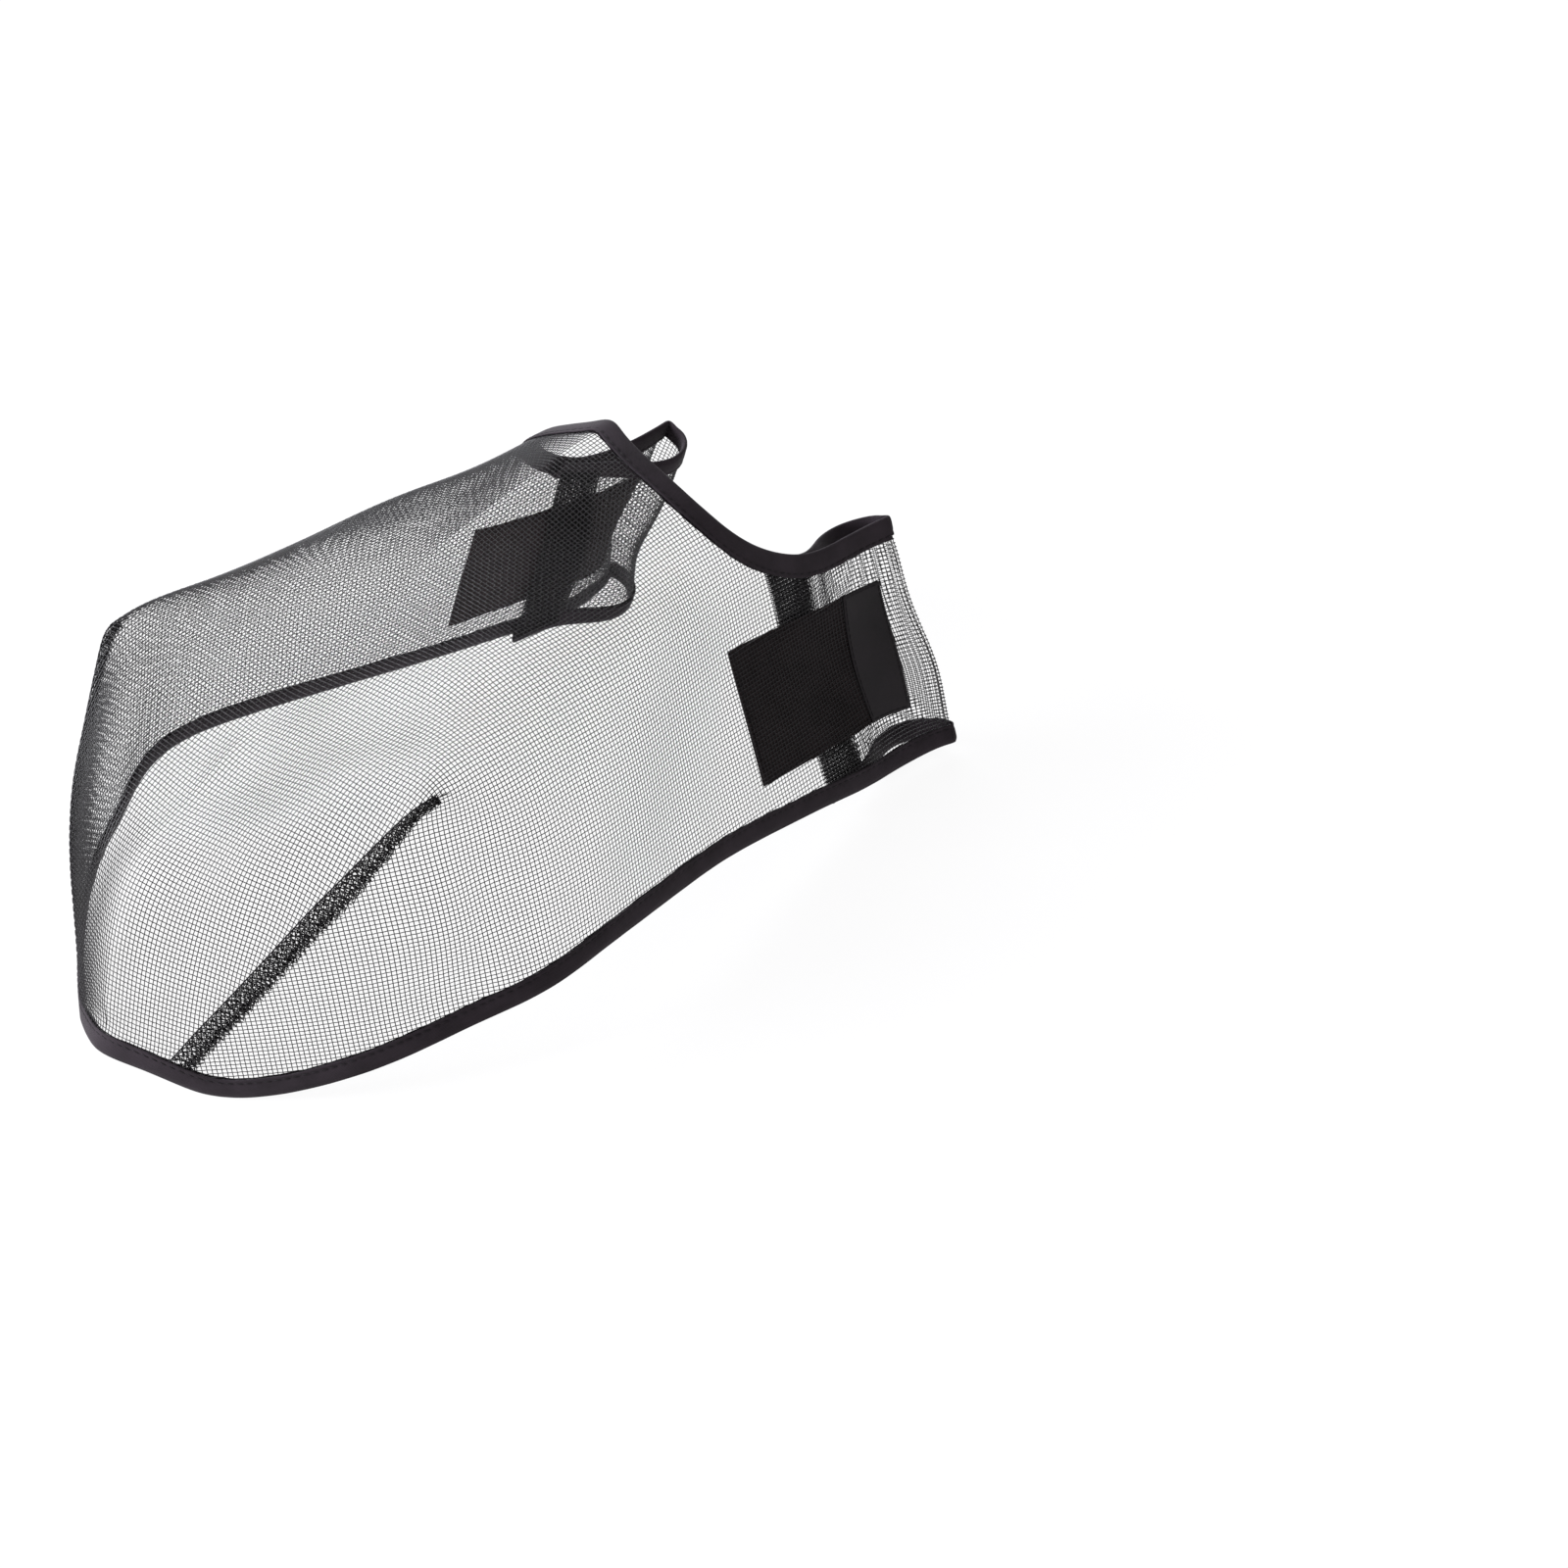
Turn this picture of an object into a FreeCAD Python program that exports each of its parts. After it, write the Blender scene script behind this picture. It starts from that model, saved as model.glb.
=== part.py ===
# Horse nose fly net that hangs from a bridle noseband.
# Frame: +Z up, -Y toward the horse's muzzle, +Y toward the noseband, X across.
# The net stands on its muzzle hem and its two tabs, open side down, at z = 0.
# The horse's left side is +X.  Millimetres throughout.
import FreeCAD, Part
import os
from FreeCAD import Vector

# ---- driving dimensions (mm) ------------------------------------------------
MESH_T = 0.60            # insect mesh, two crossing threads thick
TAPE_WALL_OUT = 1.05     # folded tape: half thickness outside
TAPE_WALL_IN = 0.34      # folded tape: half gap that takes the mesh edge
TAPE_OVER = 1.0          # tape fold stands past the cut edge of the mesh
TOP_TAPE_W = 8.0         # visible width of the noseband-end tape
LOW_TAPE_W = 7.0         # visible width of the muzzle and jaw tape
ALLOW_T = 1.20           # two folded mesh layers of a dart seam allowance
THREAD_T = 0.30          # sewing thread rows stand this proud
THREAD_W = 0.60
PATCH_T = 1.10           # loop patch
HOOK_T = 0.65            # hook patch
LABEL_T = 0.40           # woven label
END_HEM_T = 1.50         # turned end of a flap
GAP = 0.14               # air between pieces laid on one another
STITCH_IN = 1.3          # tape stitching runs this far inside the tape's edge
BAR_TACK_L = 7.0

half = MESH_T / 2.0

# ---- form tables -------------------------------------------------------------
# Each net is the control net of a cubic surface in the cloth, +X half only:
# rows run across the cloth, columns along it, and each entry is
# (x, y, z, nx, ny, nz): a control point and the cloth's outward normal there.
# roof, front, tab, mid and wing are the five fields of one half of the mesh.
# Each strip entry is (edge point, inward direction in the cloth, outward normal).
NETS = {}
STRIPS = {}
NETS["roof"] = [
     [(0.00, 79.66, 133.25, 0.0000, -0.0855, 0.9963), (0.00, 74.42, 132.80, 0.0000, -0.0927, 0.9957), (0.00, 63.95, 131.81, 0.0000, -0.1146, 0.9939), (0.00, 48.25, 129.50, 0.0000, -0.1692, 0.9859), (0.00, 32.64, 126.95, 0.0000, -0.1400, 0.9900), (0.00, 17.23, 124.83, 0.0000, -0.1555, 0.9887), (0.00, 1.89, 121.61, 0.0000, -0.2501, 0.9692), (0.00, -13.34, 117.42, 0.0000, -0.2698, 0.9625), (0.00, -28.34, 113.04, 0.0000, -0.2992, 0.9554), (0.00, -42.92, 107.77, 0.0000, -0.3950, 0.9199), (0.00, -56.90, 101.14, 0.0000, -0.4327, 0.9016), (0.00, -66.79, 96.96, 0.0000, -0.3629, 0.9330), (0.00, -71.93, 95.22, 0.0000, -0.3218, 0.9468)],
     [(5.76, 77.36, 130.84, 0.5663, -0.0325, 0.8951), (5.86, 72.22, 130.61, 0.5233, -0.0360, 0.9121), (6.08, 61.98, 130.11, 0.4336, -0.0616, 0.9437), (6.04, 46.61, 128.46, 0.4280, -0.1422, 0.9454), (5.88, 31.22, 125.53, 0.5364, -0.2168, 0.8795), (5.97, 15.86, 121.63, 0.6978, -0.1941, 0.8308), (6.16, 0.81, 119.43, 0.3875, -0.0849, 0.9747), (6.34, -14.08, 117.58, -0.0924, -0.2015, 0.9946), (6.43, -29.00, 113.49, -0.1051, -0.3137, 0.9483), (6.44, -43.51, 107.87, -0.0603, -0.4146, 0.9122), (6.40, -57.29, 101.11, -0.1358, -0.4380, 0.8942), (6.30, -66.77, 97.44, -0.2433, -0.3093, 0.9333), (6.35, -71.66, 95.81, -0.2545, -0.3229, 0.9258)],
     [(18.84, 76.27, 125.97, 0.2862, -0.0335, 0.9438), (18.94, 71.22, 125.74, 0.3149, -0.0552, 0.9304), (19.07, 61.10, 124.94, 0.3937, -0.1677, 0.8860), (18.73, 45.67, 120.84, 0.5327, -0.2524, 0.7778), (18.68, 30.40, 117.96, 0.4367, -0.0446, 0.9066), (19.02, 15.48, 118.03, -0.0954, 0.0120, 1.0831), (19.47, 0.59, 118.05, -0.0350, -0.0275, 1.0178), (19.79, -14.40, 116.61, 0.2705, -0.1707, 0.9688), (19.82, -29.52, 112.99, 0.0788, -0.2798, 0.9584), (19.64, -44.30, 108.35, -0.1265, -0.3099, 0.9391), (19.41, -58.41, 103.42, -0.1514, -0.3356, 0.9439), (19.19, -67.64, 100.12, -0.0692, -0.3428, 0.9355), (19.15, -72.28, 98.22, -0.0337, -0.3850, 0.9235)],
     [(36.98, 78.73, 116.00, 0.6562, 0.0260, 0.8031), (37.10, 73.66, 116.04, 0.6279, 0.0170, 0.8198), (37.34, 63.54, 116.06, 0.5624, 0.0110, 0.8714), (37.77, 48.30, 115.06, 0.2607, -0.1121, 1.0426), (37.95, 32.95, 113.15, 0.1150, -0.1220, 0.9985), (38.52, 17.62, 112.10, 0.4463, 0.0203, 0.8757), (39.13, 2.40, 113.31, 0.3898, 0.1400, 0.9116), (39.60, -12.97, 115.02, 0.0550, 0.0693, 1.0231), (39.63, -28.66, 114.83, -0.0610, -0.0965, 1.0545), (39.50, -43.87, 111.11, -0.0627, -0.4303, 0.9270), (39.14, -58.05, 102.76, 0.1173, -0.5332, 0.8426), (39.11, -67.70, 100.24, 0.0020, -0.0682, 1.0447), (38.92, -72.73, 99.97, -0.1594, -0.1079, 1.0186)],
     [(48.74, 87.36, 100.63, 0.8752, 0.1154, 0.4947), (49.27, 82.00, 101.00, 0.8724, 0.1027, 0.5096), (49.93, 71.29, 101.50, 0.8795, 0.1128, 0.5221), (52.90, 55.47, 103.96, 0.8310, 0.3896, 0.5866), (57.07, 39.77, 107.33, 0.6570, 0.2193, 0.8902), (58.20, 23.73, 107.58, 0.2868, -0.0492, 1.0867), (58.17, 7.53, 107.15, 0.2716, -0.0100, 1.0474), (57.87, -8.69, 107.66, 0.6031, 0.0401, 0.8536), (58.45, -25.12, 108.62, 0.6340, 0.0757, 0.8323), (58.76, -41.56, 109.00, 0.4256, -0.0294, 1.0209), (58.96, -57.49, 106.50, -0.4078, -0.1954, 1.1156), (57.94, -68.20, 103.14, -0.3493, -0.4442, 0.8172), (57.50, -73.39, 101.07, 0.0325, -0.3268, 0.8575)],
     [(50.64, 98.55, 92.26, 0.9127, 0.1034, 0.3936), (51.19, 92.81, 92.54, 0.9135, 0.1228, 0.3859), (52.44, 81.36, 93.04, 0.9097, 0.0784, 0.4046), (54.18, 64.23, 93.40, 0.8844, 0.1738, 0.4212), (59.18, 47.36, 96.07, 0.8800, 0.3820, 0.3331), (63.49, 30.46, 98.54, 0.9956, 0.1754, 0.3859), (65.10, 13.34, 99.27, 0.9283, 0.0639, 0.5048), (65.89, -3.89, 99.55, 0.7328, 0.0388, 0.6857), (67.14, -21.18, 100.11, 0.6487, 0.1107, 0.7494), (69.48, -38.58, 101.23, 0.6065, 0.1617, 0.7803), (71.40, -56.45, 104.83, 0.6208, 0.2548, 0.8964), (72.49, -67.73, 105.15, 0.2889, -0.0877, 1.1878), (73.26, -72.83, 102.24, -0.0904, -0.5042, 1.0875)],
     [(51.57, 104.35, 88.90, 0.9181, 0.0853, 0.3870), (52.04, 98.40, 89.07, 0.9231, 0.0936, 0.3737), (53.19, 86.54, 89.52, 0.9339, 0.1077, 0.3395), (55.21, 68.80, 89.86, 0.9088, 0.1526, 0.3984), (59.51, 51.26, 91.58, 0.8703, 0.3348, 0.3696), (64.35, 33.77, 93.72, 0.9191, 0.2050, 0.3443), (66.96, 16.12, 94.37, 0.8845, 0.1215, 0.4606), (68.84, -1.60, 95.16, 0.7975, 0.1022, 0.5994), (70.65, -19.46, 95.99, 0.7419, 0.1220, 0.6599), (72.85, -37.43, 97.00, 0.7452, 0.1221, 0.6535), (75.39, -55.53, 98.67, 0.7560, 0.2452, 0.6263), (76.76, -67.31, 99.26, 0.8169, -0.0547, 0.5869), (76.64, -72.90, 98.73, 0.7583, -0.0019, 0.6519)]]

NETS["front"] = [
     [(0.00, -71.93, 95.22, 0.0000, -0.3218, 0.9468), (0.00, -77.11, 93.23, 0.0000, -0.2562, 0.9651), (0.00, -87.42, 92.01, 0.0000, -0.2221, 0.9887), (0.00, -101.96, 84.13, 0.0000, -0.5848, 0.8320), (0.00, -116.87, 76.91, 0.0000, -0.2840, 0.9656), (0.00, -131.06, 71.10, 0.0000, -0.6241, 0.8282), (0.00, -140.76, 58.22, 0.0000, -0.9178, 0.4464), (0.00, -146.95, 42.52, 0.0000, -0.9523, 0.2957), (0.00, -151.21, 26.52, 0.0000, -0.9665, 0.2646), (0.00, -154.81, 16.91, 0.0000, -0.9279, 0.3785), (0.00, -157.06, 12.14, 0.0000, -0.9024, 0.4308)],
     [(6.35, -71.66, 95.81, -0.2545, -0.3229, 0.9258), (6.30, -76.67, 94.07, -0.3172, -0.3394, 0.9302), (5.95, -86.97, 90.00, 0.3630, -0.4244, 0.9209), (5.46, -101.37, 82.82, 0.1128, -0.4716, 0.8899), (5.10, -116.61, 76.96, -0.0030, -0.2458, 0.9919), (4.66, -131.33, 71.40, 0.3509, -0.6205, 0.8084), (4.10, -140.69, 58.05, 0.3117, -0.9168, 0.3959), (3.33, -146.60, 42.03, 0.3183, -0.9248, 0.2821), (2.63, -150.77, 26.08, 0.3437, -0.9385, 0.2368), (1.83, -154.26, 16.51, 0.5441, -0.8525, 0.3224), (1.58, -156.46, 11.76, 0.6523, -0.7879, 0.3455)],
     [(19.15, -72.28, 98.22, -0.0337, -0.3850, 0.9235), (18.77, -77.12, 96.51, 0.0194, -0.4509, 0.8923), (17.84, -87.17, 89.32, -0.3102, -0.5585, 0.8229), (16.55, -101.85, 84.54, -0.2786, -0.2101, 0.9477), (15.21, -115.56, 77.53, -0.0735, -0.6497, 0.8305), (13.75, -128.42, 66.53, 0.5004, -0.6670, 0.6135), (11.98, -138.21, 54.86, 0.4954, -0.7643, 0.4001), (9.77, -144.99, 40.64, 0.3556, -0.8913, 0.2661), (7.56, -149.63, 25.19, 0.2596, -0.9308, 0.2124), (5.60, -153.01, 15.63, 0.2844, -0.8988, 0.2898), (4.81, -155.18, 11.00, 0.3144, -0.8683, 0.3301)],
     [(38.92, -72.73, 99.97, -0.1594, -0.1079, 1.0186), (37.05, -77.85, 99.58, -0.3491, -0.1648, 1.0055), (35.61, -88.03, 95.07, -0.3471, -0.4358, 0.8783), (33.25, -103.60, 87.59, -0.2181, -0.4217, 0.9703), (30.26, -116.59, 78.29, -0.0163, -0.7449, 0.7772), (26.94, -126.28, 65.82, 0.0857, -0.8881, 0.5467), (23.06, -134.47, 51.68, 0.3495, -0.8618, 0.3974), (18.97, -141.73, 37.98, 0.3642, -0.8903, 0.2957), (14.40, -147.24, 23.93, 0.3930, -0.9036, 0.2009), (11.43, -150.86, 14.27, 0.4153, -0.8846, 0.2471), (9.73, -153.07, 9.93, 0.4592, -0.8574, 0.2676)],
     [(57.50, -73.39, 101.07, 0.0325, -0.3268, 0.8575), (57.02, -78.75, 99.05, 0.5026, -0.2136, 0.9226), (53.54, -89.34, 97.82, 0.3317, -0.5356, 0.8208), (49.69, -102.26, 87.51, 0.4984, -0.7366, 0.5964), (44.91, -112.40, 75.66, 0.6527, -0.7882, 0.3075), (39.81, -122.82, 62.22, 0.7280, -0.7549, 0.2462), (33.81, -130.10, 49.28, 0.4120, -0.8787, 0.2439), (27.66, -138.07, 35.92, 0.5497, -0.8059, 0.2436), (21.10, -144.76, 22.80, 0.3970, -0.8997, 0.1737), (17.02, -148.52, 13.39, 0.4161, -0.8811, 0.2052), (14.60, -150.82, 9.24, 0.4424, -0.8679, 0.2084)],
     [(73.26, -72.83, 102.24, -0.0904, -0.5042, 1.0875), (69.89, -77.34, 99.89, -0.6253, -0.6431, 0.9885), (65.98, -86.18, 92.30, 0.1284, -0.5881, 0.9103), (60.07, -98.44, 82.73, 0.2382, -0.7669, 0.6317), (54.31, -109.40, 71.83, 0.1550, -0.8016, 0.6432), (48.40, -118.33, 59.82, 0.0628, -0.8609, 0.6104), (41.17, -128.04, 47.26, 0.2607, -0.8914, 0.4290), (33.50, -135.13, 34.31, 0.3557, -0.9007, 0.2990), (25.61, -142.68, 21.58, 0.4568, -0.8716, 0.2034), (20.65, -146.97, 12.70, 0.3870, -0.8991, 0.2326), (17.80, -149.33, 8.67, 0.4138, -0.8871, 0.2253)],
     [(76.64, -72.90, 98.73, 0.7583, -0.0019, 0.6519), (77.05, -78.08, 99.11, 0.7397, -0.4971, 0.6129), (71.50, -86.71, 92.62, 0.3924, -0.8274, 0.4138), (65.56, -97.40, 81.29, 0.6031, -0.6994, 0.3953), (59.13, -108.82, 70.73, 0.5500, -0.7212, 0.4251), (52.67, -118.54, 59.29, 0.4426, -0.8343, 0.3417), (44.91, -126.96, 46.77, 0.4675, -0.8583, 0.2209), (36.39, -133.93, 34.06, 0.5030, -0.8571, 0.1200), (27.76, -141.41, 21.58, 0.5517, -0.8245, 0.1278), (22.38, -146.06, 12.93, 0.5086, -0.8516, 0.1280), (19.51, -148.40, 8.86, 0.5155, -0.8473, 0.1280)]]

NETS["tab"] = [
     [(53.35, 155.21, 80.68, 0.9144, -0.1051, 0.3908), (52.78, 150.89, 80.80, 0.9503, -0.0965, 0.3066), (52.00, 142.21, 81.07, 0.9781, -0.0121, 0.2207), (52.48, 129.17, 81.61, 0.9448, 0.0841, 0.3247), (53.05, 116.13, 83.23, 0.9138, 0.0701, 0.4000), (52.13, 108.06, 86.72, 0.9215, 0.0726, 0.3818), (51.57, 104.35, 88.90, 0.9181, 0.0853, 0.3870)],
     [(56.93, 155.03, 74.68, 0.8077, -0.2541, 0.5641), (55.57, 150.73, 74.67, 0.8647, -0.2729, 0.4769), (53.34, 142.11, 74.70, 0.9805, -0.0468, 0.2384), (54.75, 129.05, 75.14, 0.9485, 0.2110, 0.2575), (56.76, 115.92, 76.63, 0.8980, 0.0909, 0.5110), (55.07, 107.75, 79.97, 0.8881, 0.0331, 0.4902), (54.39, 104.01, 82.11, 0.9092, 0.0690, 0.4251)],
     [(61.02, 153.68, 61.30, 0.9112, -0.4078, 0.2289), (58.90, 149.49, 61.12, 0.9006, -0.3784, 0.2581), (57.31, 141.15, 60.93, 1.0024, 0.0465, 0.4165), (57.90, 128.36, 61.33, 0.9900, 0.0512, 0.1573), (59.02, 115.39, 62.98, 1.0526, 0.1255, -0.2210), (60.04, 107.13, 66.18, 1.0469, 0.0218, -0.0124), (59.71, 103.23, 68.10, 1.0169, -0.0226, 0.1128)],
     [(74.62, 151.20, 43.25, 0.6758, -0.2690, 0.7842), (73.76, 147.22, 42.83, 0.6595, -0.3366, 0.8024), (67.79, 139.32, 41.95, 0.6425, -0.7222, 0.4863), (61.96, 127.07, 41.72, 0.9994, -0.1343, 0.3180), (61.77, 114.46, 42.99, 0.9145, 0.1528, 0.4605), (62.72, 106.22, 45.67, 0.9062, 0.2773, 0.3760), (63.37, 102.25, 47.29, 0.9078, 0.2994, 0.3447)],
     [(83.18, 150.60, 24.99, 0.9354, -0.5044, 0.0025), (81.32, 146.82, 24.60, 0.9019, -0.5458, -0.1219), (74.81, 139.30, 23.76, 0.8491, -0.7368, 0.1052), (71.68, 127.28, 23.43, 0.8774, 0.1373, 0.6296), (73.75, 114.56, 24.44, 0.7695, 0.1702, 0.5785), (73.85, 106.02, 26.44, 0.8330, 0.1410, 0.5547), (73.90, 101.83, 27.60, 0.8478, 0.1471, 0.5201)],
     [(83.93, 151.24, 11.57, 0.8263, -0.5249, 0.1735), (81.42, 147.38, 11.33, 0.8520, -0.5011, 0.2221), (78.34, 139.61, 10.83, 0.9750, -0.0989, 0.4030), (78.62, 127.26, 10.76, 0.9208, 0.0971, 0.3536), (80.05, 114.40, 11.77, 0.9639, 0.1319, 0.3019), (80.24, 105.79, 13.53, 0.9470, 0.0703, 0.3357), (80.21, 101.50, 14.48, 0.9422, 0.0682, 0.3447)],
     [(86.17, 151.38, 4.98, 0.8685, -0.4291, 0.2482), (84.22, 147.41, 4.75, 0.8735, -0.3897, 0.3100), (81.41, 139.34, 4.25, 0.9140, -0.1706, 0.4053), (80.65, 126.76, 4.13, 0.9484, 0.0294, 0.3270), (81.40, 113.89, 5.06, 0.9677, 0.1030, 0.2325), (81.85, 105.31, 6.65, 0.9632, 0.0902, 0.2531), (82.03, 101.01, 7.50, 0.9587, 0.0924, 0.2689)]]

NETS["mid"] = [
     [(51.57, 104.35, 88.90, 0.9181, 0.0853, 0.3870), (52.04, 98.40, 89.07, 0.9231, 0.0936, 0.3737), (53.19, 86.54, 89.52, 0.9339, 0.1077, 0.3395), (55.21, 68.80, 89.86, 0.9088, 0.1526, 0.3984), (59.51, 51.26, 91.58, 0.8703, 0.3348, 0.3696), (64.35, 33.77, 93.72, 0.9191, 0.2050, 0.3443), (66.96, 16.12, 94.37, 0.8845, 0.1215, 0.4606), (68.84, -1.60, 95.16, 0.7975, 0.1022, 0.5994), (70.65, -19.46, 95.99, 0.7419, 0.1220, 0.6599), (72.85, -37.43, 97.00, 0.7452, 0.1221, 0.6535), (75.39, -55.53, 98.67, 0.7560, 0.2452, 0.6263), (76.76, -67.31, 99.26, 0.8169, -0.0547, 0.5869), (76.64, -72.90, 98.73, 0.7583, -0.0019, 0.6519)],
     [(54.39, 104.01, 82.11, 0.9092, 0.0690, 0.4251), (54.68, 98.06, 82.37, 0.9353, 0.0676, 0.3499), (55.48, 86.18, 83.02, 0.9873, 0.1179, 0.1801), (58.05, 68.48, 83.82, 0.9470, 0.1935, 0.2731), (62.25, 50.97, 85.61, 0.9227, 0.2909, 0.2673), (66.61, 33.50, 87.52, 0.9509, 0.2173, 0.2410), (69.88, 15.94, 88.66, 0.9059, 0.1852, 0.4040), (72.68, -1.68, 90.07, 0.8401, 0.1594, 0.5223), (74.79, -19.54, 91.33, 0.8773, 0.1233, 0.5009), (76.94, -37.48, 92.43, 0.7837, 0.1582, 0.5867), (79.84, -55.46, 93.46, 0.9102, 0.1207, 0.5691), (80.29, -67.21, 93.43, 1.1463, 0.0364, -0.1162), (78.32, -73.02, 94.49, 1.1067, -0.3534, -0.3427)],
     [(59.71, 103.23, 68.10, 1.0169, -0.0226, 0.1128), (59.42, 97.20, 68.60, 0.9873, -0.0420, 0.2451), (58.95, 85.22, 69.57, 0.8938, 0.1043, 0.4627), (61.50, 67.62, 71.29, 0.9196, 0.2097, 0.3419), (65.28, 50.21, 73.01, 0.9509, 0.2467, 0.1993), (69.98, 32.85, 74.80, 0.9235, 0.3001, 0.2320), (75.02, 15.50, 77.03, 0.9091, 0.2937, 0.3158), (79.05, -2.01, 78.96, 0.9154, 0.1666, 0.4015), (80.05, -19.79, 80.42, 0.9111, 0.0780, 0.3699), (84.16, -37.73, 81.30, 0.9334, 0.3159, 0.3883), (84.41, -55.90, 81.37, 1.0008, -0.4128, 0.0873), (79.60, -67.79, 80.39, 0.9132, -0.2131, 0.2312), (78.56, -73.51, 79.97, 0.8625, -0.2547, 0.4273)],
     [(63.37, 102.25, 47.29, 0.9078, 0.2994, 0.3447), (65.10, 96.35, 48.16, 0.8966, 0.3385, 0.3321), (68.39, 84.50, 49.77, 0.9265, 0.1694, 0.3402), (69.76, 66.80, 51.81, 0.9264, 0.0905, 0.3662), (70.84, 49.27, 54.29, 0.9375, 0.1520, 0.3324), (74.58, 31.78, 56.69, 0.9289, 0.3026, 0.2312), (80.01, 14.32, 58.89, 0.9326, 0.3134, 0.1737), (84.94, -3.15, 60.94, 0.9621, 0.2346, 0.1955), (87.56, -20.70, 62.48, 0.9225, 0.1312, 0.3709), (90.09, -38.45, 63.29, 0.9852, 0.1115, 0.2679), (86.85, -56.73, 62.67, 0.9014, -0.4775, 0.2276), (85.02, -68.89, 61.24, 0.9990, 0.1486, 0.2878), (85.30, -74.45, 60.32, 0.9835, -0.1520, 0.2276)],
     [(73.90, 101.83, 27.60, 0.8478, 0.1471, 0.5201), (74.35, 95.83, 28.58, 0.8823, 0.1453, 0.4631), (75.37, 83.81, 30.40, 0.9321, 0.1212, 0.3477), (76.63, 65.99, 32.84, 0.9418, 0.1052, 0.3178), (77.72, 48.36, 35.74, 0.9331, 0.1314, 0.3339), (80.21, 30.72, 38.19, 0.9309, 0.2181, 0.3027), (84.07, 13.13, 40.35, 0.9436, 0.2485, 0.2309), (88.39, -4.44, 42.39, 0.9492, 0.2665, 0.1583), (92.77, -22.08, 44.11, 0.9814, 0.2009, 0.1100), (94.21, -39.84, 45.06, 0.9965, -0.0254, 0.1860), (92.49, -57.79, 44.11, 0.9148, -0.1606, 0.3626), (89.55, -69.21, 41.88, 0.9704, -0.3986, 0.1298), (86.86, -74.64, 40.63, 0.9237, -0.4259, -0.0655)],
     [(80.21, 101.50, 14.48, 0.9422, 0.0682, 0.3447), (80.20, 95.45, 15.61, 0.9354, 0.0570, 0.3546), (80.23, 83.30, 17.60, 0.9347, 0.0793, 0.3452), (81.08, 65.41, 20.24, 0.9357, 0.1079, 0.3370), (82.26, 47.80, 23.42, 0.9286, 0.1438, 0.3439), (84.59, 30.16, 25.96, 0.9253, 0.1945, 0.3263), (87.79, 12.52, 28.07, 0.9368, 0.2108, 0.2820), (91.16, -5.23, 30.12, 0.9553, 0.2010, 0.2277), (94.21, -23.21, 31.92, 0.9753, 0.1670, 0.1665), (96.84, -41.10, 32.87, 0.9623, 0.1171, 0.2411), (96.85, -58.40, 31.51, 0.9938, -0.2262, 0.2997), (90.81, -69.13, 28.76, 0.7746, -0.6468, 0.0825), (87.04, -74.46, 27.27, 0.8340, -0.5484, 0.1130)],
     [(82.03, 101.01, 7.50, 0.9587, 0.0924, 0.2689), (82.26, 95.02, 8.73, 0.9521, 0.0914, 0.2931), (82.69, 82.99, 10.91, 0.9360, 0.0942, 0.3402), (83.55, 65.16, 13.87, 0.9282, 0.1130, 0.3547), (84.64, 47.55, 17.32, 0.9247, 0.1438, 0.3533), (86.83, 29.90, 19.95, 0.9238, 0.1855, 0.3359), (89.81, 12.22, 22.06, 0.9311, 0.2003, 0.3047), (93.01, -5.58, 24.10, 0.9405, 0.1988, 0.2787), (96.03, -23.62, 25.91, 0.9450, 0.1728, 0.2681), (98.80, -41.50, 26.85, 0.9580, 0.1196, 0.3032), (98.05, -58.66, 25.31, 0.9719, -0.3223, 0.2050), (91.78, -69.37, 22.34, 0.7997, -0.5868, 0.1431), (88.70, -74.69, 20.77, 0.8335, -0.5113, 0.2092)]]

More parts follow.
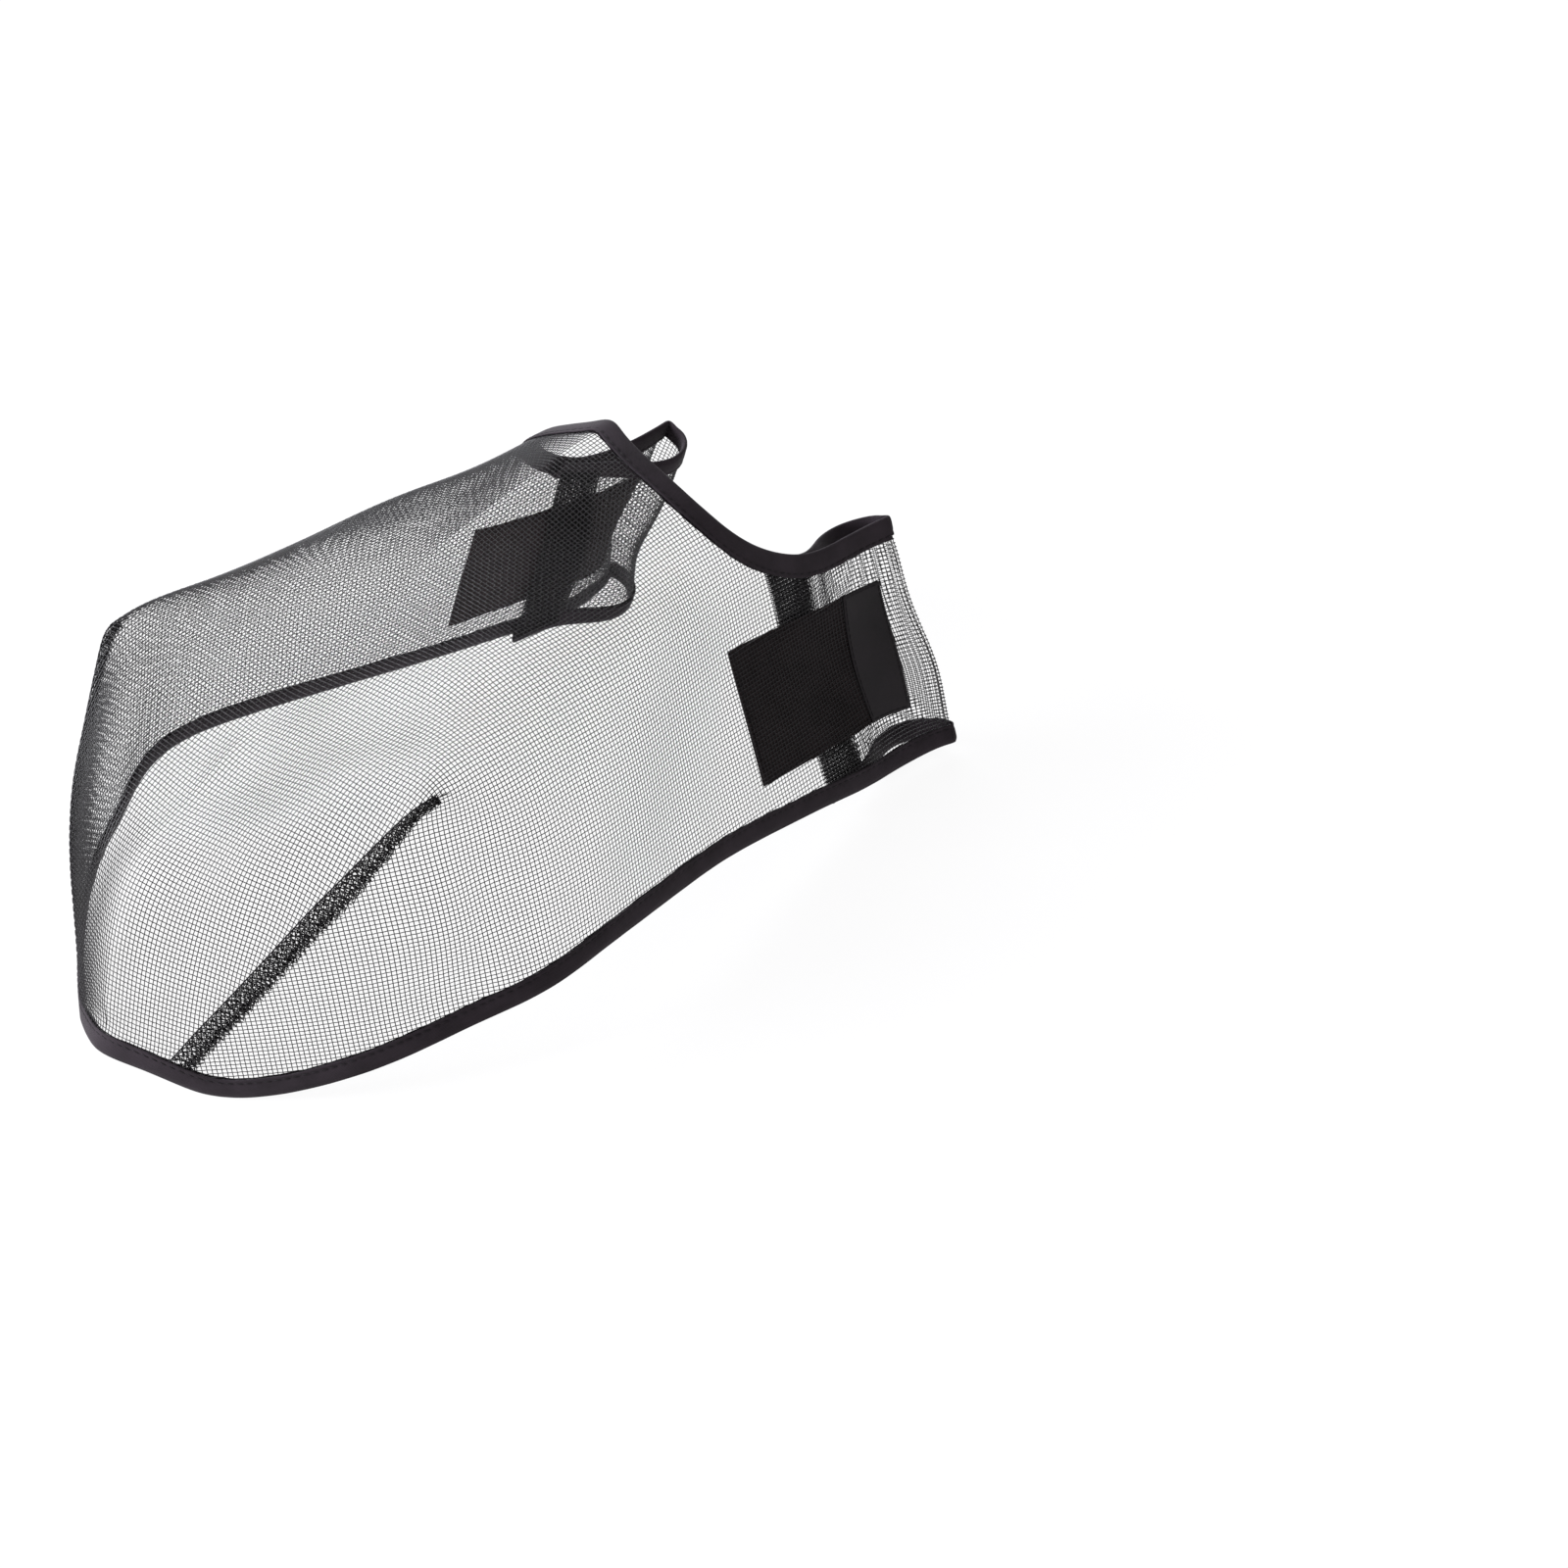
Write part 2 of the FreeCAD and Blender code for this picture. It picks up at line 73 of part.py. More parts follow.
NETS["wing"] = [
     [(76.64, -72.90, 98.73, 0.7583, -0.0019, 0.6519), (77.05, -78.08, 99.11, 0.7397, -0.4971, 0.6129), (71.50, -86.71, 92.62, 0.3924, -0.8274, 0.4138), (65.56, -97.40, 81.29, 0.6031, -0.6994, 0.3953), (59.13, -108.82, 70.73, 0.5500, -0.7212, 0.4251), (52.67, -118.54, 59.29, 0.4426, -0.8343, 0.3417), (44.91, -126.96, 46.77, 0.4675, -0.8583, 0.2209), (36.39, -133.93, 34.06, 0.5030, -0.8571, 0.1200), (27.76, -141.41, 21.58, 0.5517, -0.8245, 0.1278), (22.38, -146.06, 12.93, 0.5086, -0.8516, 0.1280), (19.51, -148.40, 8.86, 0.5155, -0.8473, 0.1280)],
     [(78.32, -73.02, 94.49, 1.1067, -0.3534, -0.3427), (75.79, -78.11, 93.07, 1.0323, -0.4070, -0.5431), (72.27, -86.55, 85.80, 1.1282, -0.3105, 0.0479), (66.44, -97.25, 75.74, 0.8889, -0.5584, -0.0346), (60.29, -108.80, 65.78, 0.9090, -0.5357, 0.0548), (53.49, -118.27, 54.92, 0.8573, -0.6381, -0.0666), (45.50, -126.65, 43.10, 0.7395, -0.7153, -0.0471), (36.86, -133.66, 31.29, 0.6524, -0.7696, -0.0213), (28.10, -141.34, 19.80, 0.6375, -0.7731, 0.0534), (22.60, -145.95, 12.18, 0.6027, -0.8020, 0.0349), (19.78, -148.24, 8.56, 0.6057, -0.7990, 0.0398)],
     [(78.56, -73.51, 79.97, 0.8625, -0.2547, 0.4273), (77.92, -78.30, 78.35, 0.8233, -0.4014, 0.6042), (75.53, -86.35, 73.34, 0.6229, -0.7056, 0.3125), (69.34, -97.58, 64.52, 0.7048, -0.6147, 0.3858), (62.88, -108.48, 55.97, 0.6632, -0.7130, 0.2026), (54.98, -117.78, 46.17, 0.6152, -0.7564, 0.1638), (46.88, -126.06, 35.86, 0.5611, -0.8196, 0.0902), (37.83, -133.28, 25.79, 0.5613, -0.8220, 0.0967), (28.79, -141.22, 16.29, 0.5784, -0.8081, 0.1137), (23.12, -145.73, 10.63, 0.5469, -0.8316, 0.0917), (20.25, -147.95, 8.05, 0.5528, -0.8275, 0.0921)],
     [(85.30, -74.45, 60.32, 0.9835, -0.1520, 0.2276), (84.89, -78.98, 59.00, 0.9464, -0.3708, 0.1706), (81.50, -86.94, 54.91, 0.8388, -0.5734, 0.1607), (73.81, -97.73, 48.12, 0.7882, -0.6280, 0.0614), (65.75, -107.94, 40.90, 0.7463, -0.6675, 0.0914), (57.66, -117.23, 33.12, 0.6870, -0.7291, 0.0933), (48.95, -125.23, 25.09, 0.6158, -0.7874, 0.0725), (39.47, -133.15, 17.66, 0.5895, -0.7988, 0.1217), (29.93, -141.04, 11.05, 0.5745, -0.8129, 0.0978), (23.91, -145.40, 8.31, 0.5663, -0.8204, 0.0821), (21.00, -147.52, 7.25, 0.5694, -0.8187, 0.0769)],
     [(86.86, -74.64, 40.63, 0.9237, -0.4259, -0.0655), (84.86, -78.76, 39.34, 0.8951, -0.4344, -0.1658), (80.43, -86.52, 36.09, 0.9132, -0.4171, -0.1653), (74.88, -97.63, 31.15, 0.8630, -0.5111, 0.0670), (68.15, -107.64, 25.80, 0.7493, -0.6581, 0.0909), (60.00, -116.62, 20.17, 0.6811, -0.7286, 0.0708), (50.94, -125.07, 14.51, 0.6110, -0.7856, 0.1029), (41.24, -133.19, 9.56, 0.5926, -0.7963, 0.1226), (31.15, -140.81, 5.78, 0.5542, -0.8265, 0.1021), (24.76, -145.07, 5.97, 0.5595, -0.8234, 0.0943), (21.74, -147.09, 6.46, 0.5611, -0.8232, 0.0859)],
     [(87.04, -74.46, 27.27, 0.8340, -0.5484, 0.1130), (84.62, -78.37, 26.09, 0.8785, -0.4873, 0.1327), (81.35, -86.12, 23.58, 0.9116, -0.3945, 0.1991), (76.60, -97.06, 19.96, 0.8439, -0.5343, 0.1204), (69.62, -106.96, 15.76, 0.7571, -0.6531, 0.0836), (61.40, -116.20, 11.43, 0.6927, -0.7178, 0.0880), (52.26, -124.87, 7.35, 0.6378, -0.7655, 0.0926), (42.52, -132.92, 4.04, 0.5997, -0.7958, 0.0908), (31.97, -140.66, 2.28, 0.5590, -0.8245, 0.0896), (25.33, -144.85, 4.43, 0.5594, -0.8234, 0.0950), (22.24, -146.80, 5.94, 0.5616, -0.8230, 0.0861)],
     [(88.70, -74.69, 20.77, 0.8335, -0.5113, 0.2092), (86.65, -78.50, 19.63, 0.8502, -0.4697, 0.2400), (83.33, -86.11, 17.46, 0.8629, -0.4388, 0.2552), (77.84, -96.94, 14.43, 0.8141, -0.5613, 0.1757), (70.65, -106.84, 10.79, 0.7388, -0.6623, 0.1382), (62.29, -116.06, 7.11, 0.6807, -0.7248, 0.1153), (52.98, -124.70, 3.75, 0.6348, -0.7679, 0.0912), (43.12, -132.72, 1.28, 0.6021, -0.7954, 0.0742), (32.40, -140.56, 0.53, 0.5626, -0.8230, 0.0811), (25.61, -144.74, 3.65, 0.5581, -0.8241, 0.0963), (22.49, -146.66, 5.68, 0.5608, -0.8234, 0.0871)]]

NETS["patch"] = [
     [(61.52, 67.27, 73.49, 0.9320, 0.1926, 0.3071), (64.20, 66.67, 65.90, 0.9196, 0.1669, 0.3583), (70.26, 65.61, 50.78, 0.9315, 0.1119, 0.3466), (75.71, 64.59, 35.91, 0.9363, 0.1136, 0.3322), (78.41, 64.06, 28.49, 0.9358, 0.1123, 0.3340)],
     [(60.19, 75.74, 72.01, 0.9262, 0.1721, 0.3348), (63.18, 75.12, 64.48, 0.8988, 0.1284, 0.4099), (69.78, 74.05, 49.46, 0.9446, 0.1009, 0.3470), (75.09, 73.03, 34.77, 0.9323, 0.1124, 0.3346), (77.77, 72.48, 27.44, 0.9349, 0.1073, 0.3330)],
     [(59.14, 92.81, 69.23, 0.9395, 0.0016, 0.3951), (62.25, 92.17, 61.82, 0.9401, 0.1780, 0.3742), (68.23, 91.02, 46.95, 0.8575, 0.3109, 0.3251), (73.91, 89.99, 32.62, 0.9418, 0.1246, 0.3622), (76.68, 89.44, 25.47, 0.9399, 0.0854, 0.3589)],
     [(58.67, 118.99, 65.12, 1.0035, 0.1815, -0.0074), (58.06, 118.22, 57.45, 1.0297, 0.0765, -0.1138), (59.61, 116.64, 42.53, 0.9791, 0.3098, 0.4935), (70.00, 115.84, 28.78, 0.7540, 0.3159, 0.5870), (74.51, 115.42, 21.86, 0.8192, 0.2355, 0.5123)],
     [(56.52, 136.18, 63.34, 0.9653, 0.0124, 0.3370), (59.44, 135.17, 55.66, 0.9704, -0.0796, 0.3688), (63.39, 133.05, 41.26, 0.8952, -0.5046, 0.2755), (69.12, 132.26, 27.61, 0.9542, -0.2087, 0.4789), (72.83, 131.92, 20.60, 0.9349, -0.0566, 0.4721)],
     [(58.61, 144.54, 62.99, 0.9078, -0.1993, 0.3690), (61.08, 143.37, 55.43, 0.8757, -0.1918, 0.4720), (70.55, 140.90, 41.56, 0.6622, -0.5703, 0.5779), (74.89, 139.96, 27.78, 0.8159, -0.5746, 0.1797), (76.55, 139.66, 20.60, 0.8816, -0.3998, 0.2509)]]

NETS["label"] = [
     [(57.54, 126.95, 64.38, 0.9758, 0.0834, 0.2023), (59.06, 126.06, 56.73, 0.9860, -0.0120, 0.1844), (62.32, 124.20, 42.10, 0.9446, -0.1043, 0.3620), (69.88, 123.39, 28.37, 0.8593, 0.0489, 0.5142), (73.82, 123.01, 21.39, 0.8776, 0.0798, 0.4726)],
     [(57.17, 132.89, 63.72, 0.9673, 0.0378, 0.2626), (59.28, 131.93, 56.06, 0.9664, -0.0656, 0.2726), (63.11, 129.90, 41.59, 0.9501, -0.2545, 0.3319), (69.83, 129.09, 27.90, 0.8976, -0.0514, 0.5001), (73.55, 128.73, 20.90, 0.8919, 0.0130, 0.4607)],
     [(57.25, 138.77, 63.24, 0.9497, -0.0600, 0.3410), (59.93, 137.71, 55.59, 0.9519, -0.0984, 0.3911), (65.70, 135.48, 41.36, 0.7515, -0.6050, 0.3971), (70.98, 134.65, 27.67, 0.9036, -0.4046, 0.3567), (74.03, 134.31, 20.60, 0.9298, -0.2046, 0.4027)],
     [(58.61, 144.54, 62.99, 0.9078, -0.1993, 0.3690), (61.08, 143.37, 55.43, 0.8757, -0.1918, 0.4720), (70.55, 140.90, 41.56, 0.6622, -0.5703, 0.5779), (74.89, 139.96, 27.78, 0.8159, -0.5746, 0.1797), (76.55, 139.66, 20.60, 0.8816, -0.3998, 0.2509)]]

NETS["pstitch_out"] = [
     [(61.85, 68.82, 71.61, 0.9292, 0.1815, 0.3219), (64.46, 68.27, 64.56, 0.9179, 0.1574, 0.3663), (70.12, 67.28, 50.53, 0.9314, 0.1158, 0.3456), (75.21, 66.33, 36.72, 0.9355, 0.1135, 0.3347), (77.71, 65.84, 29.84, 0.9361, 0.1108, 0.3339)],
     [(60.68, 76.92, 70.21, 0.9207, 0.1588, 0.3529), (63.59, 76.36, 63.22, 0.9024, 0.1241, 0.4060), (69.62, 75.35, 49.28, 0.9407, 0.1093, 0.3480), (74.63, 74.41, 35.63, 0.9318, 0.1128, 0.3372), (77.13, 73.90, 28.83, 0.9346, 0.1069, 0.3340)],
     [(59.78, 93.25, 67.58, 0.9421, 0.0310, 0.3837), (62.54, 92.66, 60.67, 0.9378, 0.1998, 0.3499), (67.96, 91.60, 46.87, 0.8672, 0.3055, 0.3329), (73.38, 90.64, 33.52, 0.9347, 0.1499, 0.3670), (76.02, 90.13, 26.89, 0.9354, 0.1041, 0.3653)],
     [(58.73, 118.24, 63.62, 1.0065, 0.1620, -0.0219), (58.17, 117.53, 56.51, 1.0224, 0.0879, -0.0378), (60.31, 116.10, 42.70, 0.9544, 0.2839, 0.4694), (69.43, 115.31, 29.84, 0.7678, 0.2861, 0.5667), (73.68, 114.93, 23.41, 0.8155, 0.2242, 0.5194)],
     [(57.12, 134.65, 61.87, 0.9677, 0.0087, 0.3207), (59.62, 133.73, 54.76, 0.9702, -0.0977, 0.3316), (63.03, 131.84, 41.37, 0.9357, -0.3907, 0.2837), (68.58, 131.05, 28.64, 0.9498, -0.1518, 0.4899), (72.09, 130.74, 22.15, 0.9278, -0.0314, 0.4820)],
     [(58.83, 142.64, 61.50, 0.9135, -0.1683, 0.3703), (61.31, 141.58, 54.49, 0.8798, -0.1900, 0.4670), (69.16, 139.39, 41.53, 0.6965, -0.5636, 0.5147), (73.59, 138.48, 28.73, 0.8148, -0.5440, 0.2365), (75.44, 138.19, 22.11, 0.8785, -0.3844, 0.2837)]]

NETS["pstitch_in"] = [
     [(61.98, 69.39, 70.91, 0.9281, 0.1774, 0.3274), (64.56, 68.85, 64.07, 0.9175, 0.1546, 0.3682), (70.07, 67.89, 50.44, 0.9312, 0.1172, 0.3456), (75.02, 66.97, 37.02, 0.9351, 0.1137, 0.3357), (77.46, 66.49, 30.34, 0.9361, 0.1105, 0.3340)],
     [(60.88, 77.35, 69.55, 0.9190, 0.1542, 0.3585), (63.74, 76.81, 62.76, 0.9039, 0.1233, 0.4039), (69.56, 75.83, 49.22, 0.9392, 0.1121, 0.3486), (74.45, 74.91, 35.94, 0.9316, 0.1133, 0.3382), (76.89, 74.42, 29.34, 0.9345, 0.1071, 0.3346)],
     [(60.01, 93.42, 66.96, 0.9432, 0.0427, 0.3780), (62.65, 92.84, 60.24, 0.9365, 0.2067, 0.3424), (67.88, 91.80, 46.84, 0.8704, 0.3034, 0.3355), (73.18, 90.87, 33.86, 0.9320, 0.1583, 0.3683), (75.77, 90.38, 27.41, 0.9335, 0.1111, 0.3676)],
     [(58.75, 117.97, 63.06, 1.0069, 0.1558, -0.0236), (58.25, 117.28, 56.16, 1.0192, 0.0926, -0.0089), (60.53, 115.90, 42.75, 0.9474, 0.2755, 0.4593), (69.23, 115.11, 30.23, 0.7736, 0.2772, 0.5603), (73.37, 114.76, 23.99, 0.8149, 0.2208, 0.5213)],
     [(57.33, 134.09, 61.32, 0.9690, 0.0061, 0.3137), (59.68, 133.21, 54.43, 0.9703, -0.1015, 0.3196), (62.94, 131.40, 41.41, 0.9462, -0.3543, 0.2876), (68.38, 130.61, 29.03, 0.9471, -0.1344, 0.4913), (71.82, 130.31, 22.73, 0.9248, -0.0238, 0.4845)],
     [(58.93, 141.95, 60.95, 0.9152, -0.1591, 0.3702), (61.38, 140.92, 54.15, 0.8820, -0.1916, 0.4615), (68.68, 138.84, 41.52, 0.7108, -0.5543, 0.4951), (73.11, 137.94, 29.08, 0.8172, -0.5284, 0.2562), (75.03, 137.66, 22.66, 0.8780, -0.3759, 0.2963)]]

NETS["lstitch_out"] = [
     [(57.73, 127.98, 63.12, 0.9754, 0.0622, 0.2114), (59.27, 127.11, 55.87, 0.9793, -0.0302, 0.2150), (62.63, 125.35, 42.03, 0.9394, -0.1320, 0.3549), (69.50, 124.54, 28.97, 0.8684, 0.0140, 0.5016), (73.21, 124.19, 22.34, 0.8789, 0.0566, 0.4736)],
     [(57.52, 133.12, 62.57, 0.9660, 0.0147, 0.2697), (59.55, 132.20, 55.31, 0.9619, -0.0785, 0.2877), (63.48, 130.29, 41.61, 0.9275, -0.2739, 0.3416), (69.64, 129.48, 28.59, 0.8968, -0.1001, 0.4774), (73.11, 129.15, 21.94, 0.8937, -0.0210, 0.4565)],
     [(57.71, 138.22, 62.15, 0.9466, -0.0663, 0.3380), (60.22, 137.22, 54.92, 0.9432, -0.1221, 0.3844), (65.60, 135.14, 41.41, 0.7837, -0.5345, 0.3985), (70.77, 134.31, 28.39, 0.8981, -0.3767, 0.3657), (73.65, 133.99, 21.69, 0.9226, -0.2055, 0.4015)],
     [(58.78, 143.24, 61.92, 0.9117, -0.1775, 0.3706), (61.26, 142.14, 54.76, 0.8776, -0.1902, 0.4708), (69.59, 139.87, 41.54, 0.6852, -0.5682, 0.5328), (73.99, 138.96, 28.45, 0.8135, -0.5559, 0.2194), (75.78, 138.66, 21.68, 0.8788, -0.3916, 0.2728)]]

NETS["lstitch_in"] = [
     [(57.85, 128.52, 62.46, 0.9747, 0.0499, 0.2178), (59.39, 127.67, 55.42, 0.9755, -0.0401, 0.2301), (62.80, 125.96, 42.00, 0.9360, -0.1470, 0.3526), (69.32, 125.15, 29.28, 0.8729, -0.0063, 0.4942), (72.91, 124.82, 22.84, 0.8801, 0.0422, 0.4728)],
     [(57.71, 133.25, 61.96, 0.9648, 0.0030, 0.2737), (59.70, 132.34, 54.93, 0.9592, -0.0859, 0.2953), (63.65, 130.50, 41.63, 0.9175, -0.2826, 0.3464), (69.55, 129.68, 28.94, 0.8958, -0.1235, 0.4665), (72.88, 129.37, 22.48, 0.8945, -0.0390, 0.4536)],
     [(57.94, 137.93, 61.58, 0.9454, -0.0701, 0.3365), (60.35, 136.96, 54.57, 0.9391, -0.1323, 0.3817), (65.57, 134.96, 41.44, 0.7978, -0.5022, 0.3989), (70.65, 134.12, 28.76, 0.8950, -0.3641, 0.3696), (73.45, 133.82, 22.26, 0.9186, -0.2063, 0.4008)],
     [(58.87, 142.55, 61.37, 0.9135, -0.1674, 0.3709), (61.34, 141.49, 54.41, 0.8794, -0.1911, 0.4669), (69.09, 139.33, 41.53, 0.6987, -0.5620, 0.5117), (73.52, 138.42, 28.81, 0.8145, -0.5425, 0.2396), (75.37, 138.13, 22.23, 0.8779, -0.3847, 0.2851)]]

NETS["allow"] = [
     [(76.82, -75.12, 98.12, 0.9414, -0.1846, 0.2822), (76.13, -79.61, 97.61, 0.9229, -0.4811, -0.0921), (71.21, -87.29, 91.02, 0.8306, -0.5270, 0.0944), (65.81, -97.20, 80.87, 0.7952, -0.5998, 0.1259), (59.88, -107.69, 71.04, 0.7846, -0.5943, 0.1799), (54.03, -116.87, 60.72, 0.7163, -0.6943, 0.1038), (47.11, -124.80, 49.30, 0.6679, -0.7433, 0.0591), (39.47, -131.56, 37.59, 0.6025, -0.7989, 0.0156), (31.38, -138.22, 26.13, 0.6118, -0.7887, 0.0624), (26.44, -142.70, 18.22, 0.5904, -0.8038, 0.0745), (23.85, -144.87, 14.31, 0.5774, -0.8133, 0.0715)],
     [(77.08, -74.81, 97.46, 0.9594, -0.2092, 0.2050), (76.32, -79.09, 96.61, 0.9174, -0.4595, -0.1142), (71.75, -86.53, 89.85, 0.8479, -0.5120, 0.1283), (66.87, -96.16, 79.10, 0.7870, -0.6054, 0.1330), (61.02, -106.69, 69.33, 0.7848, -0.5915, 0.1923), (55.27, -115.83, 59.14, 0.7162, -0.6942, 0.1046), (48.39, -123.78, 47.76, 0.6678, -0.7429, 0.0659), (40.83, -130.56, 36.07, 0.5959, -0.8038, 0.0280), (32.81, -137.24, 24.67, 0.6096, -0.7898, 0.0697), (27.93, -141.73, 16.82, 0.5874, -0.8051, 0.0854), (25.33, -143.95, 12.81, 0.5726, -0.8158, 0.0812)],
     [(77.27, -74.50, 96.76, 0.9642, -0.2205, 0.1499), (76.43, -78.59, 95.61, 0.9172, -0.4436, -0.1204), (72.33, -85.76, 88.68, 0.8597, -0.4957, 0.1638), (67.97, -95.15, 77.33, 0.7780, -0.6129, 0.1437), (62.19, -105.71, 67.63, 0.7810, -0.5931, 0.2045), (56.51, -114.77, 57.56, 0.7164, -0.6936, 0.1059), (49.67, -122.76, 46.25, 0.6690, -0.7412, 0.0748), (42.22, -129.61, 34.58, 0.5890, -0.8082, 0.0421), (34.28, -136.24, 23.20, 0.6053, -0.7923, 0.0780), (29.44, -140.79, 15.47, 0.5818, -0.8077, 0.0981), (26.82, -143.06, 11.36, 0.5702, -0.8166, 0.0899)],
     [(77.43, -74.19, 96.02, 0.9669, -0.2285, 0.1140), (76.54, -78.09, 94.60, 0.9193, -0.4310, -0.1059), (72.94, -84.99, 87.49, 0.8659, -0.4829, 0.1892), (69.15, -94.14, 75.56, 0.7698, -0.6187, 0.1588), (63.40, -104.72, 65.94, 0.7775, -0.5957, 0.2101), (57.77, -113.71, 55.98, 0.7158, -0.6935, 0.1091), (50.99, -121.74, 44.72, 0.6709, -0.7386, 0.0818), (43.61, -128.68, 33.11, 0.5930, -0.8051, 0.0465), (35.76, -135.29, 21.75, 0.5979, -0.7965, 0.0902), (31.00, -139.85, 14.11, 0.5787, -0.8088, 0.1061), (28.34, -142.18, 9.91, 0.5673, -0.8179, 0.0956)]]

NETS["dstitch"] = [
     [(76.75, -76.07, 97.43, 0.9517, -0.2605, 0.1623), (75.63, -80.38, 96.44, 0.8939, -0.4937, -0.1034), (70.96, -87.91, 89.56, 0.8374, -0.5280, 0.1367), (65.55, -97.84, 79.53, 0.7905, -0.6014, 0.1243), (59.67, -108.36, 69.71, 0.7801, -0.6008, 0.1832), (53.77, -117.35, 59.28, 0.7115, -0.7000, 0.0973), (46.75, -125.24, 47.82, 0.6615, -0.7491, 0.0571), (39.08, -131.88, 36.09, 0.5983, -0.8019, 0.0194), (30.99, -138.65, 24.67, 0.6107, -0.7892, 0.0679), (26.13, -143.06, 16.69, 0.5847, -0.8077, 0.0769), (23.48, -145.27, 12.79, 0.5737, -0.8157, 0.0743)],
     [(76.80, -75.99, 97.28, 0.9530, -0.2630, 0.1510), (75.66, -80.29, 96.27, 0.8947, -0.4890, -0.1036), (71.05, -87.81, 89.41, 0.8384, -0.5275, 0.1402), (65.64, -97.75, 79.37, 0.7898, -0.6017, 0.1249), (59.77, -108.27, 69.56, 0.7800, -0.6007, 0.1841), (53.87, -117.26, 59.15, 0.7115, -0.7000, 0.0974), (46.86, -125.15, 47.69, 0.6614, -0.7491, 0.0578), (39.20, -131.80, 35.95, 0.5977, -0.8023, 0.0205), (31.11, -138.56, 24.55, 0.6106, -0.7893, 0.0686), (26.26, -142.98, 16.57, 0.5845, -0.8078, 0.0779), (23.61, -145.19, 12.66, 0.5733, -0.8159, 0.0751)],
     [(76.84, -75.92, 97.13, 0.9540, -0.2651, 0.1406), (75.69, -80.19, 96.09, 0.8956, -0.4846, -0.1035), (71.14, -87.71, 89.26, 0.8394, -0.5268, 0.1435), (65.73, -97.66, 79.22, 0.7891, -0.6020, 0.1256), (59.87, -108.19, 69.41, 0.7800, -0.6006, 0.1850), (53.98, -117.17, 59.01, 0.7115, -0.6999, 0.0975), (46.98, -125.06, 47.55, 0.6614, -0.7490, 0.0585), (39.32, -131.71, 35.82, 0.5971, -0.8028, 0.0217), (31.24, -138.48, 24.42, 0.6104, -0.7893, 0.0693), (26.39, -142.90, 16.45, 0.5842, -0.8080, 0.0788), (23.74, -145.11, 12.52, 0.5729, -0.8161, 0.0759)],
     [(76.88, -75.85, 96.97, 0.9548, -0.2669, 0.1309), (75.72, -80.10, 95.92, 0.8965, -0.4805, -0.1030), (71.23, -87.61, 89.11, 0.8404, -0.5260, 0.1468), (65.82, -97.58, 79.07, 0.7884, -0.6025, 0.1264), (59.97, -108.10, 69.27, 0.7799, -0.6005, 0.1859), (54.09, -117.08, 58.87, 0.7115, -0.6999, 0.0976), (47.09, -124.97, 47.42, 0.6614, -0.7490, 0.0593), (39.44, -131.62, 35.69, 0.5965, -0.8032, 0.0228), (31.36, -138.39, 24.29, 0.6102, -0.7894, 0.0700), (26.53, -142.81, 16.33, 0.5839, -0.8081, 0.0798), (23.86, -145.03, 12.39, 0.5725, -0.8163, 0.0766)]]

